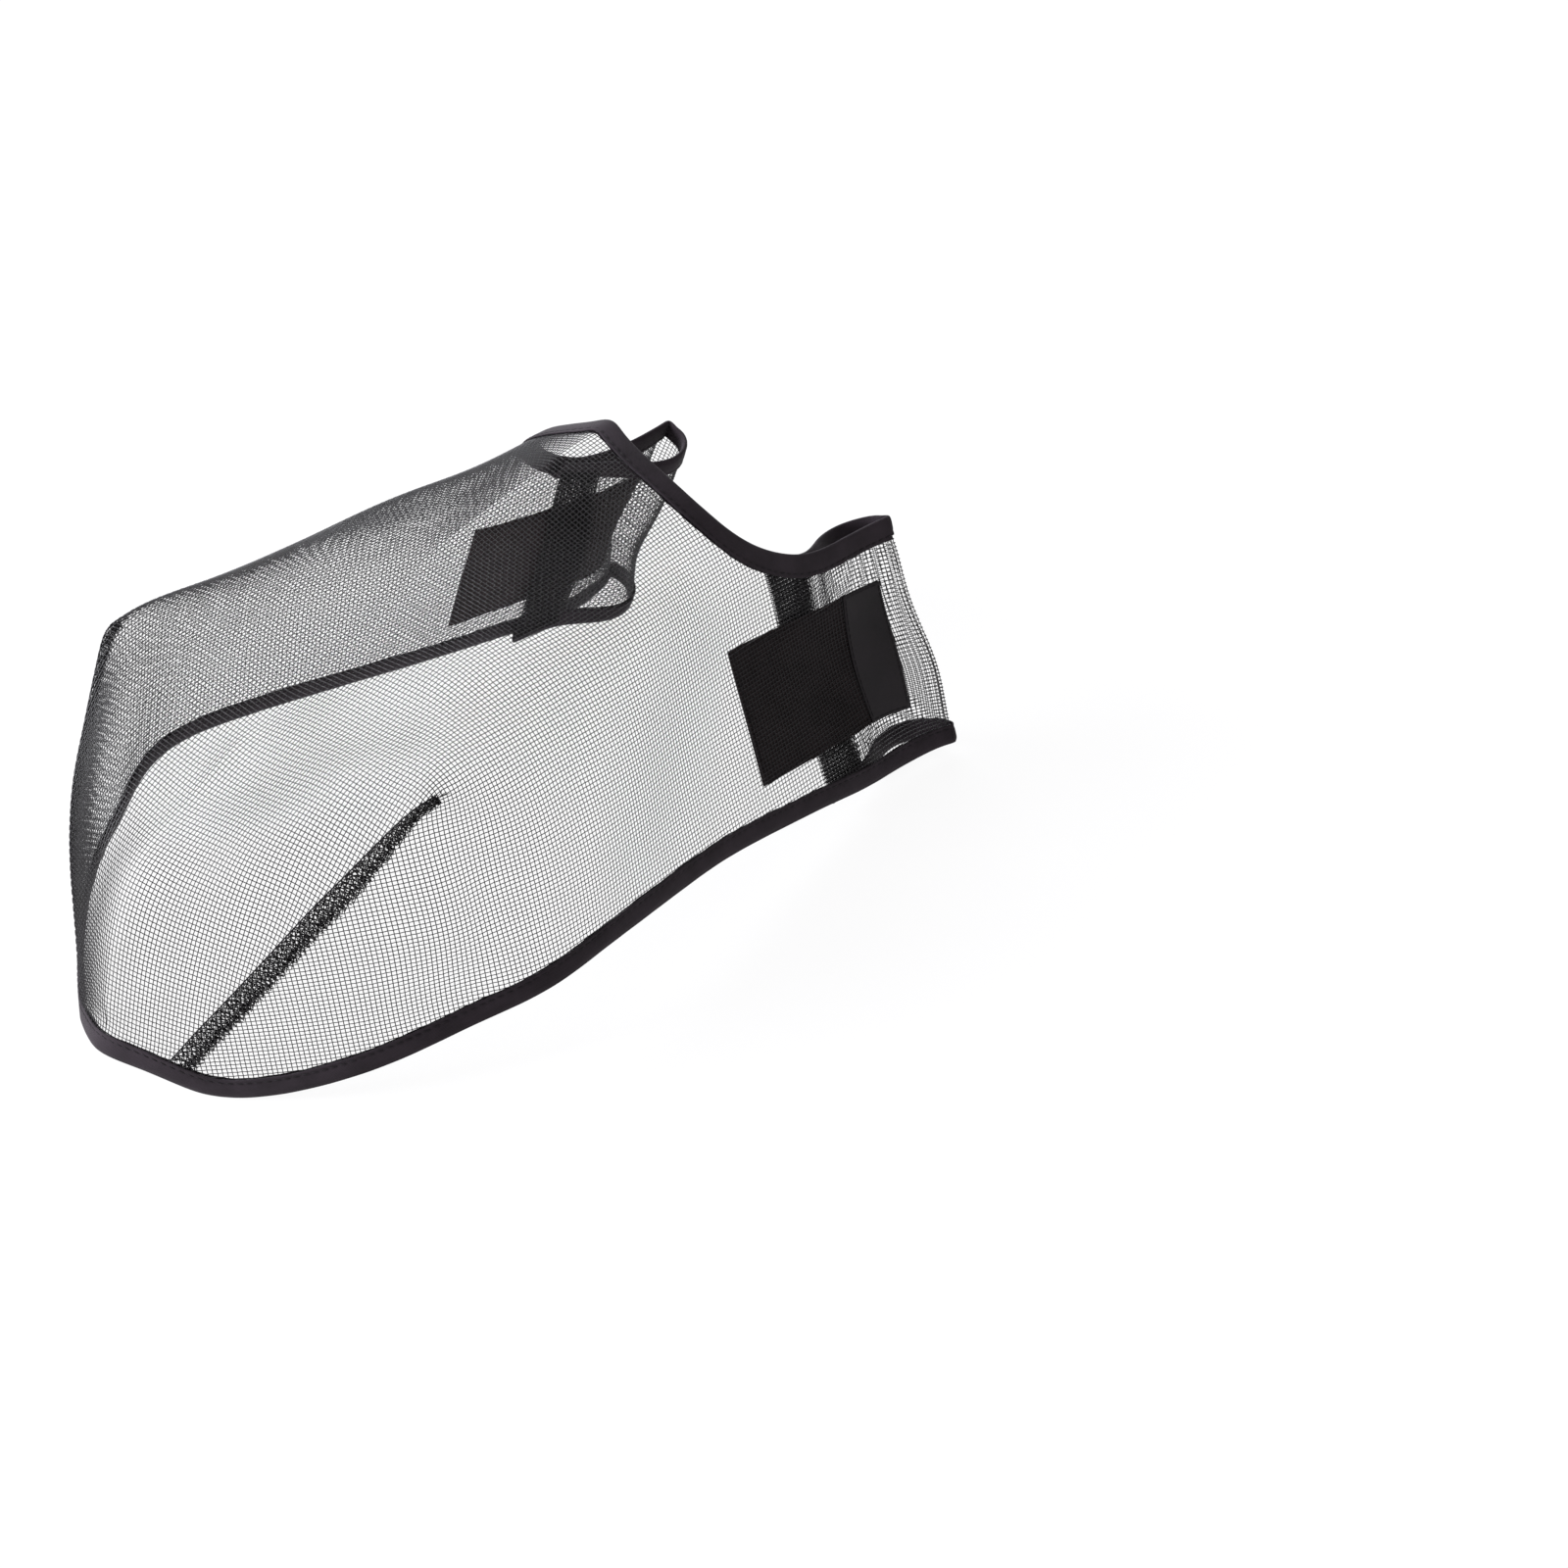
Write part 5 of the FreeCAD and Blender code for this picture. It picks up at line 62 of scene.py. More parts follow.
# ---- form tables ---------------------------------------------------------------------
CLOTH_F = np.array([
    0, 187.93, 135.33, 0, 179.91, 135.61, 0, 171.89, 135.84, 0, 163.85, 136.03, 0, 155.82, 136.16, 0, 147.77, 136.22, 0, 139.72, 136.2, 0, 131.67,
    136.08, 0, 123.61, 135.88, 0, 115.55, 135.58, 0, 107.49, 135.19, 0, 99.43, 134.72, 0, 91.37, 134.18, 0, 83.32, 133.56, 0, 75.28, 132.86, 0,
    67.24, 132.05, 0, 59.21, 131.07, 0, 51.18, 129.91, 0, 43.18, 128.65, 0, 35.21, 127.4, 0, 27.28, 126.22, 0, 19.39, 125, 0, 11.53, 123.59, 0, 3.69,
    121.88, 0, -4.12, 119.91, 0, -11.89, 117.79, 0, -19.6, 115.57, 0, -27.23, 113.23, 0, -34.76, 110.67, 0, -42.15, 107.82, 0, -49.42, 104.66, 0,
    -56.71, 101.35, 0, -64.18, 98.13, 0, -71.93, 95.22, 0, -79.77, 92.89, 0, -87.46, 90.95, 0, -94.97, 87.91, 0, -102.4, 84.04, 0, -109.84, 80.2, 0,
    -117.31, 76.91, 0, -124.47, 73.62, 0, -130.91, 69.44, 0, -136.29, 63.75, 0, -140.67, 56.83, 0, -144.19, 49.19, 0, -147.02, 41.28, 0, -149.46,
    33.31, 0, -151.83, 25.44, 0, -154.53, 17.98, 0, -157.76, 10.71, 0, -161.87, 3.83, 4.74, 187.81, 128.86, 4.96, 179.83, 129.26, 5.18, 171.84,
    129.7, 5.41, 163.85, 130.17, 5.68, 155.85, 130.61, 5.96, 147.85, 131.01, 6.26, 139.83, 131.33, 6.52, 131.8, 131.54, 6.73, 123.76, 131.61, 6.89,
    115.72, 131.56, 7.02, 107.68, 131.41, 7.13, 99.63, 131.17, 7.23, 91.6, 130.87, 7.34, 83.57, 130.52, 7.45, 75.56, 130.13, 7.56, 67.56, 129.61,
    7.61, 59.56, 128.85, 7.59, 51.54, 127.78, 7.53, 43.53, 126.47, 7.49, 35.54, 125.03, 7.5, 27.56, 123.56, 7.55, 19.63, 122.16, 7.63, 11.75, 120.92,
    7.73, 3.91, 119.87, 7.82, -3.88, 118.82, 7.9, -11.66, 117.53, 7.95, -19.44, 115.81, 7.98, -27.18, 113.66, 7.98, -34.83, 111.12, 7.95, -42.33,
    108.24, 7.92, -49.68, 105.11, 7.87, -56.96, 101.93, 7.82, -64.32, 98.93, 7.79, -71.85, 96.21, 7.89, -79.48, 93.4, 7.94, -87.1, 90.15, 7.96,
    -94.56, 86.8, 7.98, -101.91, 83.46, 8, -109.24, 80.16, 8.02, -116.56, 76.85, 8.04, -123.55, 73.12, 8.05, -129.78, 68.46, 8.04, -134.96, 62.53,
    8.01, -139.14, 55.57, 7.96, -142.53, 47.99, 7.88, -145.29, 40.16, 7.79, -147.62, 32.22, 7.67, -149.78, 24.32, 7.36, -152.06, 16.68, 6.72,
    -154.74, 9.51, 6.46, -157.78, 2.18, 9.5, 187.73, 122.35, 9.99, 179.78, 122.99, 10.51, 171.83, 123.71, 11.05, 163.87, 124.45, 11.6, 155.91,
    125.18, 12.14, 147.94, 125.88, 12.66, 139.96, 126.49, 13.12, 131.96, 126.98, 13.51, 123.96, 127.33, 13.84, 115.95, 127.54, 14.1, 107.94, 127.63,
    14.33, 99.93, 127.62, 14.53, 91.92, 127.53, 14.72, 83.93, 127.37, 14.89, 75.95, 127.14, 15.03, 67.96, 126.71, 15.11, 59.96, 125.92, 15.09, 51.94,
    124.7, 15.03, 43.91, 123.22, 15.01, 35.9, 121.73, 15.06, 27.92, 120.44, 15.19, 19.99, 119.41, 15.36, 12.11, 118.68, 15.54, 4.27, 118.24, 15.72,
    -3.54, 117.8, 15.86, -11.37, 117.04, 15.95, -19.24, 115.7, 15.99, -27.09, 113.79, 15.98, -34.87, 111.43, 15.94, -42.5, 108.71, 15.88, -49.96,
    105.76, 15.8, -57.31, 102.78, 15.72, -64.65, 100.01, 15.66, -72.07, 97.48, 15.73, -79.59, 94.49, 15.86, -87.2, 90.66, 15.95, -94.69, 87.29,
    15.99, -101.99, 84.28, 16, -109.07, 81.01, 15.99, -115.86, 77.01, 15.96, -122.17, 72.19, 15.91, -127.79, 66.59, 15.82, -132.55, 60.26, 15.7,
    -136.54, 53.38, 15.55, -139.9, 46.11, 15.39, -142.7, 38.56, 15.2, -145.05, 30.83, 14.94, -147.17, 23.07, 14.65, -149.21, 15.33, 13.51, -151.59,
    8.38, 13.15, -153.82, 0.67, 14.32, 187.65, 115.84, 15.14, 179.74, 116.88, 16, 171.83, 117.92, 16.87, 163.9, 118.94, 17.7, 155.98, 119.91, 18.45,
    148.04, 120.83, 19.12, 140.1, 121.66, 19.72, 132.16, 122.37, 20.23, 124.2, 122.97, 20.69, 116.24, 123.43, 21.08, 108.28, 123.77, 21.42, 100.32,
    123.97, 21.72, 92.35, 124.05, 21.97, 84.39, 123.99, 22.19, 76.43, 123.78, 22.36, 68.45, 123.31, 22.46, 60.45, 122.43, 22.5, 52.42, 121.09, 22.51,
    44.37, 119.6, 22.56, 36.36, 118.34, 22.69, 28.41, 117.6, 22.9, 20.51, 117.26, 23.14, 12.62, 117.12, 23.4, 4.74, 116.96, 23.64, -3.16, 116.64,
    23.83, -11.1, 116.03, 23.94, -19.06, 115.03, 23.99, -27, 113.59, 23.99, -34.85, 111.7, 23.94, -42.56, 109.33, 23.86, -50.07, 106.52, 23.77,
    -57.47, 103.56, 23.67, -64.87, 100.78, 23.58, -72.35, 98.33, 23.54, -79.93, 95.51, 23.77, -87.58, 91.93, 23.95, -95.08, 88.66, 24.02, -102.29,
    85.53, 24, -109.12, 81.94, 23.92, -115.46, 77.41, 23.8, -121.19, 71.97, 23.63, -126.19, 65.8, 23.4, -130.42, 59.07, 23.14, -134.04, 51.95, 22.87,
    -137.19, 44.6, 22.62, -139.93, 37.09, 22.34, -142.24, 29.44, 22, -144.29, 21.74, 21.64, -146.19, 14.02, 20.37, -148.3, 7.08, 20.01, -149.95,
    -0.93, 19.27, 187.51, 109.35, 20.42, 179.7, 110.9, 21.64, 171.87, 112.32, 22.82, 164, 113.62, 23.9, 156.12, 114.8, 24.78, 148.22, 115.86, 25.51,
    140.3, 116.81, 26.15, 132.37, 117.64, 26.73, 124.43, 118.35, 27.27, 116.49, 118.95, 27.77, 108.54, 119.42, 28.21, 100.59, 119.76, 28.59, 92.64,
    119.96, 28.92, 84.69, 120.02, 29.18, 76.75, 119.9, 29.4, 68.79, 119.55, 29.58, 60.82, 118.85, 29.74, 52.82, 117.78, 29.91, 44.81, 116.61, 30.11,
    36.83, 115.66, 30.37, 28.88, 115.16, 30.66, 20.97, 115.03, 30.96, 13.07, 115.09, 31.26, 5.15, 115.19, 31.53, -2.79, 115.2, 31.74, -10.78, 115.01,
    31.88, -18.81, 114.49, 31.95, -26.83, 113.55, 31.96, -34.75, 112.04, 31.93, -42.52, 109.87, 31.86, -50.09, 107.02, 31.77, -57.54, 103.94, 31.67,
    -64.99, 101.21, 31.52, -72.54, 99.12, 31.37, -80.2, 96.81, 31.69, -87.91, 93.61, 31.95, -95.43, 90.26, 32.01, -102.59, 86.69, 31.94, -109.17,
    82.48, 31.78, -115.01, 77.33, 31.54, -120.1, 71.34, 31.23, -124.45, 64.75, 30.86, -128.12, 57.75, 30.46, -131.29, 50.49, 30.06, -134.19, 43.09,
    29.7, -136.81, 35.58, 29.36, -139.06, 27.93, 28.98, -141.01, 20.16, 28.52, -142.82, 12.4, 27.92, -144.58, 4.78, 27.08, -146.24, -2.79, 24.43,
    187.33, 103, 25.87, 179.66, 105.09, 27.39, 171.92, 106.88, 28.85, 164.13, 108.41, 30.09, 156.29, 109.71, 31.01, 148.41, 110.82, 31.7, 140.49,
    111.77, 32.28, 132.56, 112.59, 32.85, 124.61, 113.31, 33.42, 116.65, 113.92, 33.97, 108.69, 114.43, 34.5, 100.73, 114.84, 34.97, 92.77, 115.13,
    35.37, 84.83, 115.31, 35.71, 76.9, 115.37, 36.01, 68.97, 115.27, 36.35, 61.05, 114.98, 36.75, 53.11, 114.5, 37.19, 45.17, 113.91, 37.64, 37.22,
    113.32, 38.05, 29.27, 112.85, 38.43, 21.34, 112.58, 38.78, 13.4, 112.6, 39.08, 5.48, 112.92, 39.33, -2.47, 113.37, 39.54, -10.47, 113.71, 39.7,
    -18.53, 113.7, 39.81, -26.6, 113.19, 39.87, -34.58, 112.01, 39.88, -42.41, 110.01, 39.85, -50.04, 107.19, 39.78, -57.57, 104.13, 39.66, -65.12,
    101.59, 39.46, -72.79, 99.93, 39.25, -80.54, 98.1, 39.64, -88.23, 95.1, 39.93, -95.59, 91.45, 39.96, -102.4, 87.24, 39.8, -108.45, 82.28, 39.52,
    -113.62, 76.46, 39.18, -118.09, 69.99, 38.77, -121.98, 63.13, 38.29, -125.42, 56.06, 37.78, -128.54, 48.88, 37.3, -131.38, 41.55, 36.86, -133.83,
    34.02, 36.45, -135.84, 26.29, 35.99, -137.59, 18.44, 35.53, -139.23, 10.55, 35.07, -140.94, 2.72, 34.32, -142.89, -4.75, 29.85, 187.18, 96.93,
    31.51, 179.62, 99.47, 33.26, 171.96, 101.54, 34.89, 164.21, 103.18, 36.19, 156.4, 104.49, 37.04, 148.53, 105.52, 37.56, 140.61, 106.35, 37.97,
    132.66, 107.05, 38.43, 124.7, 107.67, 38.96, 116.73, 108.23, 39.52, 108.76, 108.73, 40.09, 100.79, 109.16, 40.65, 92.83, 109.52, 41.15, 84.88,
    109.82, 41.6, 76.96, 110.05, 42.06, 69.06, 110.25, 42.66, 61.18, 110.44, 43.43, 53.3, 110.63, 44.29, 45.42, 110.73, 45.1, 37.52, 110.66, 45.73,
    29.59, 110.36, 46.2, 21.64, 110.05, 46.55, 13.68, 110, 46.8, 5.75, 110.39, 46.99, -2.21, 111.02, 47.17, -10.2, 111.63, 47.34, -18.27, 111.94,
    47.52, -26.34, 111.78, 47.67, -34.36, 111, 47.77, -42.24, 109.45, 47.81, -49.95, 107.09, 47.77, -57.59, 104.47, 47.64, -65.3, 102.22, 47.43,
    -73.14, 100.64, 47.31, -80.94, 98.81, 47.69, -88.42, 95.7, 47.91, -95.24, 91.55, 47.84, -101.28, 86.6, 47.55, -106.51, 80.95, 47.17, -111.03,
    74.71, 46.74, -115.1, 68.07, 46.27, -119, 61.25, 45.76, -122.79, 54.35, 45.23, -126.33, 47.33, 44.71, -129.34, 40.08, 44.23, -131.64, 32.55,
    43.78, -133.25, 24.73, 43.3, -134.5, 16.75, 42.78, -135.8, 8.78, 42.24, -137.56, 0.96, 41.64, -140.08, -6.56, 35.63, 187.18, 91.26, 37.38,
    179.62, 94.06, 39.2, 171.96, 96.21, 40.83, 164.2, 97.8, 42.03, 156.37, 98.95, 42.66, 148.48, 99.77, 42.91, 140.55, 100.37, 43.05, 132.59, 100.86,
    43.33, 124.63, 101.34, 43.74, 116.66, 101.82, 44.27, 108.69, 102.28, 44.86, 100.74, 102.73, 45.48, 92.79, 103.16, 46.1, 84.86, 103.55, 46.7,
    76.96, 103.92, 47.41, 69.08, 104.34, 48.36, 61.23, 104.91, 49.64, 53.41, 105.66, 51.03, 45.59, 106.43, 52.29, 37.75, 107.01, 53.19, 29.87,
    107.23, 53.76, 21.95, 107.26, 54.09, 14.01, 107.32, 54.27, 6.06, 107.56, 54.38, -1.9, 107.95, 54.51, -9.91, 108.36, 54.73, -17.96, 108.68, 55,
    -26.02, 108.8, 55.29, -34.05, 108.57, 55.54, -42.01, 107.88, 55.7, -49.86, 106.66, 55.76, -57.66, 105.05, 55.65, -65.46, 103.26, 55.45, -73.19,
    101.06, 55.59, -80.71, 98.51, 55.82, -87.72, 94.94, 55.85, -93.92, 90.17, 55.6, -99.39, 84.57, 55.18, -104.3, 78.55, 54.72, -108.88, 72.36,
    54.27, -113.34, 66.06, 53.82, -117.74, 59.65, 53.37, -121.98, 53.04, 52.9, -125.74, 46.16, 52.44, -128.69, 38.92, 51.98, -130.61, 31.32, 51.49,
    -131.69, 23.4, 50.97, -132.45, 15.35, 50.36, -133.38, 7.33, 49.7, -134.99, -0.5, 49, -137.72, -8.01, 41.9, 187.24, 86.04, 43.59, 179.62, 88.72,
    45.11, 171.89, 90.66, 46.34, 164.08, 92, 47.12, 156.21, 92.87, 47.4, 148.29, 93.41, 47.38, 140.34, 93.76, 47.32, 132.37, 94.06, 47.44, 124.41,
    94.41, 47.76, 116.46, 94.83, 48.23, 108.51, 95.29, 48.82, 100.58, 95.78, 49.49, 92.66, 96.26, 50.19, 84.76, 96.73, 50.93, 76.87, 97.18, 51.84,
    69.01, 97.73, 53.1, 61.19, 98.51, 54.78, 53.4, 99.59, 56.64, 45.63, 100.79, 58.29, 37.84, 101.85, 59.47, 30.01, 102.58, 60.21, 22.14, 103.04,
    60.63, 14.23, 103.31, 60.87, 6.3, 103.51, 61.03, -1.66, 103.69, 61.24, -9.65, 103.92, 61.58, -17.66, 104.22, 62.04, -25.69, 104.57, 62.53,
    -33.73, 104.9, 62.99, -41.76, 105.15, 63.38, -49.77, 105.24, 63.67, -57.71, 104.92, 63.72, -65.52, 103.89, 63.64, -73.03, 101.36, 63.86, -80.13,
    97.87, 63.92, -86.65, 93.44, 63.71, -92.45, 88.11, 63.35, -97.63, 82.2, 62.9, -102.62, 76.24, 62.44, -107.74, 70.45, 62.01, -112.96, 64.68,
    61.63, -118.01, 58.69, 61.24, -122.52, 52.26, 60.84, -126.21, 45.34, 60.41, -128.85, 38.01, 59.96, -130.33, 30.29, 59.46, -131, 22.33, 58.87,
    -131.35, 14.25, 58.2, -131.93, 6.23, 57.43, -133.24, -1.62, 56.57, -135.76, -9.17, 48.69, 187.24, 81.23, 50.11, 179.51, 83.29, 50.87, 171.7,
    84.71, 51.14, 163.83, 85.61, 51.07, 155.92, 86.14, 50.85, 147.98, 86.42, 50.61, 140.02, 86.59, 50.59, 132.05, 86.78, 50.82, 124.1, 87.07, 51.19,
    116.16, 87.47, 51.63, 108.23, 87.95, 52.12, 100.32, 88.48, 52.72, 92.42, 89.04, 53.44, 84.54, 89.58, 54.27, 76.67, 90.11, 55.32, 68.82, 90.72,
    56.72, 61.01, 91.54, 58.54, 53.23, 92.65, 60.52, 45.47, 93.88, 62.35, 37.69, 95.01, 63.77, 29.88, 95.88, 64.82, 22.04, 96.53, 65.58, 14.18,
    97.06, 66.15, 6.3, 97.55, 66.61, -1.61, 98.02, 67.07, -9.54, 98.5, 67.62, -17.5, 99.01, 68.28, -25.48, 99.58, 69.04, -33.5, 100.23, 69.78,
    -41.54, 101.02, 70.49, -49.61, 101.96, 71.14, -57.61, 102.69, 71.63, -65.44, 102.71, 72, -72.92, 101.02, 71.96, -79.87, 97.54, 71.9, -86.31,
    92.37, 71.52, -91.93, 86.67, 71.17, -97.08, 80.86, 70.82, -102.2, 75.18, 70.45, -107.74, 69.77, 70.08, -113.45, 64.32, 69.72, -118.83, 58.48,
    69.35, -123.36, 51.96, 68.94, -126.81, 44.83, 68.49, -129.14, 37.26, 68, -130.34, 29.43, 67.44, -130.78, 21.45, 66.8, -130.94, 13.43, 66.1,
    -131.25, 5.43, 65.33, -132.18, -2.47, 64.47, -134.16, -10.19, 55.58, 187.07, 76.37, 56.42, 179.27, 77.65, 56.3, 171.43, 78.45, 55.43, 163.56,
    78.88, 54.14, 155.65, 79.05, 53.12, 147.73, 79.1, 52.79, 139.77, 79.13, 53.11, 131.8, 79.25, 53.75, 123.82, 79.52, 54.37, 115.85, 79.9, 54.74,
    107.88, 80.39, 55.01, 99.93, 80.94, 55.38, 92.01, 81.54, 56.04, 84.12, 82.16, 56.97, 76.27, 82.78, 58.18, 68.44, 83.47, 59.7, 60.64, 84.29,
    61.49, 52.87, 85.28, 63.39, 45.12, 86.37, 65.21, 37.37, 87.43, 66.82, 29.6, 88.36, 68.22, 21.81, 89.19, 69.42, 14, 89.97, 70.44, 6.16, 90.76,
    71.32, -1.7, 91.53, 72.08, -9.6, 92.28, 72.8, -17.53, 93.01, 73.53, -25.49, 93.73, 74.33, -33.47, 94.48, 75.18, -41.46, 95.26, 76.05, -49.45,
    96.07, 76.9, -57.41, 96.86, 77.52, -65.27, 97.48, 77.25, -72.92, 97.83, 79.6, -80.32, 95.76, 79.79, -87.05, 92.17, 79.38, -92.9, 87.21, 79.04,
    -98.22, 81.33, 78.71, -103.41, 75.3, 78.37, -108.88, 69.7, 78.03, -114.39, 64.19, 77.69, -119.46, 58.29, 77.33, -123.65, 51.59, 76.93, -126.83,
    44.24, 76.48, -128.98, 36.51, 75.97, -130.16, 28.63, 75.39, -130.66, 20.69, 74.75, -130.84, 12.72, 74.03, -131.04, 4.74, 73.24, -131.61, -3.2,
    72.36, -132.9, -11.07, 62.16, 186.67, 71.12, 61.84, 178.73, 71.71, 61.47, 170.85, 71.95, 60.32, 163.01, 71.94, 58.06, 155.17, 71.79, 55.88,
    147.33, 71.62, 55.01, 139.44, 71.52, 55.35, 131.5, 71.59, 56.3, 123.52, 71.84, 57.22, 115.52, 72.22, 57.61, 107.52, 72.72, 57.7, 99.53, 73.31,
    57.85, 91.58, 73.95, 58.39, 83.67, 74.62, 59.3, 75.81, 75.32, 60.54, 68, 76.07, 62.06, 60.21, 76.87, 63.78, 52.45, 77.74, 65.63, 44.72, 78.67,
    67.51, 36.99, 79.65, 69.35, 29.26, 80.66, 71.1, 21.52, 81.67, 72.7, 13.76, 82.68, 74.1, 5.97, 83.66, 75.25, -1.86, 84.6, 76.14, -9.73, 85.49,
    76.91, -17.64, 86.32, 77.75, -25.58, 87.09, 78.75, -33.55, 87.82, 79.7, -41.54, 88.51, 80.26, -49.53, 89.14, 80.17, -57.5, 89.71, 79.49, -65.37,
    90.13, 78.04, -73.13, 90.94, 84.2, -79.85, 91.24, 86.61, -86.54, 90.6, 87.24, -92.91, 87.45, 87.14, -98.96, 82.13, 86.7, -104.72, 75.99, 86.28,
    -110.19, 70.07, 85.9, -115.27, 64.21, 85.56, -119.79, 57.98, 85.21, -123.55, 51.06, 84.84, -126.49, 43.58, 84.43, -128.58, 35.79, 83.96, -129.85,
    27.91, 83.42, -130.49, 19.98, 82.79, -130.76, 12.03, 82.05, -130.92, 4.06, 81.19, -131.2, -3.91, 80.19, -131.87, -11.86, 67.65, 185.97, 65.11,
    66.55, 177.88, 65.2, 65.64, 169.95, 65.02, 64.06, 162.14, 64.68, 61.35, 154.4, 64.28, 58.75, 146.66, 63.93, 57.51, 138.88, 63.74, 57.41, 131.03,
    63.78, 57.97, 123.11, 64.04, 58.73, 115.14, 64.48, 59.35, 107.15, 65.04, 59.88, 99.17, 65.69, 60.44, 91.21, 66.37, 61.17, 83.3, 67.07, 62.08,
    75.44, 67.77, 63.18, 67.61, 68.5, 64.48, 59.82, 69.28, 65.98, 52.06, 70.11, 67.7, 44.32, 71.02, 69.61, 36.59, 72.01, 71.62, 28.88, 73.07, 73.64,
    21.16, 74.16, 75.55, 13.42, 75.25, 77.24, 5.66, 76.32, 78.6, -2.13, 77.35, 79.58, -9.97, 78.29, 80.39, -17.85, 79.16, 81.26, -25.76, 79.95,
    82.33, -33.71, 80.64, 83.19, -41.69, 81.26, 83.29, -49.71, 81.77, 82.29, -57.72, 82.16, 80.81, -65.63, 82.4, 79.13, -73.4, 82.92, 86, -78.67,
    83.19, 91.43, -84.9, 84.95, 94.24, -91.66, 84.47, 94.92, -98.61, 81.44, 94.62, -105.2, 76.7, 94.22, -110.99, 70.98, 93.86, -115.93, 64.58, 93.51,
    -120.06, 57.68, 93.17, -123.42, 50.43, 92.8, -126.05, 42.9, 92.39, -128, 35.16, 91.93, -129.34, 27.3, 91.39, -130.17, 19.34, 90.76, -130.61,
    11.34, 90.01, -130.8, 3.32, 89.14, -130.86, -4.66, 88.12, -130.9, -12.57,
]).reshape(13, 51, 3)

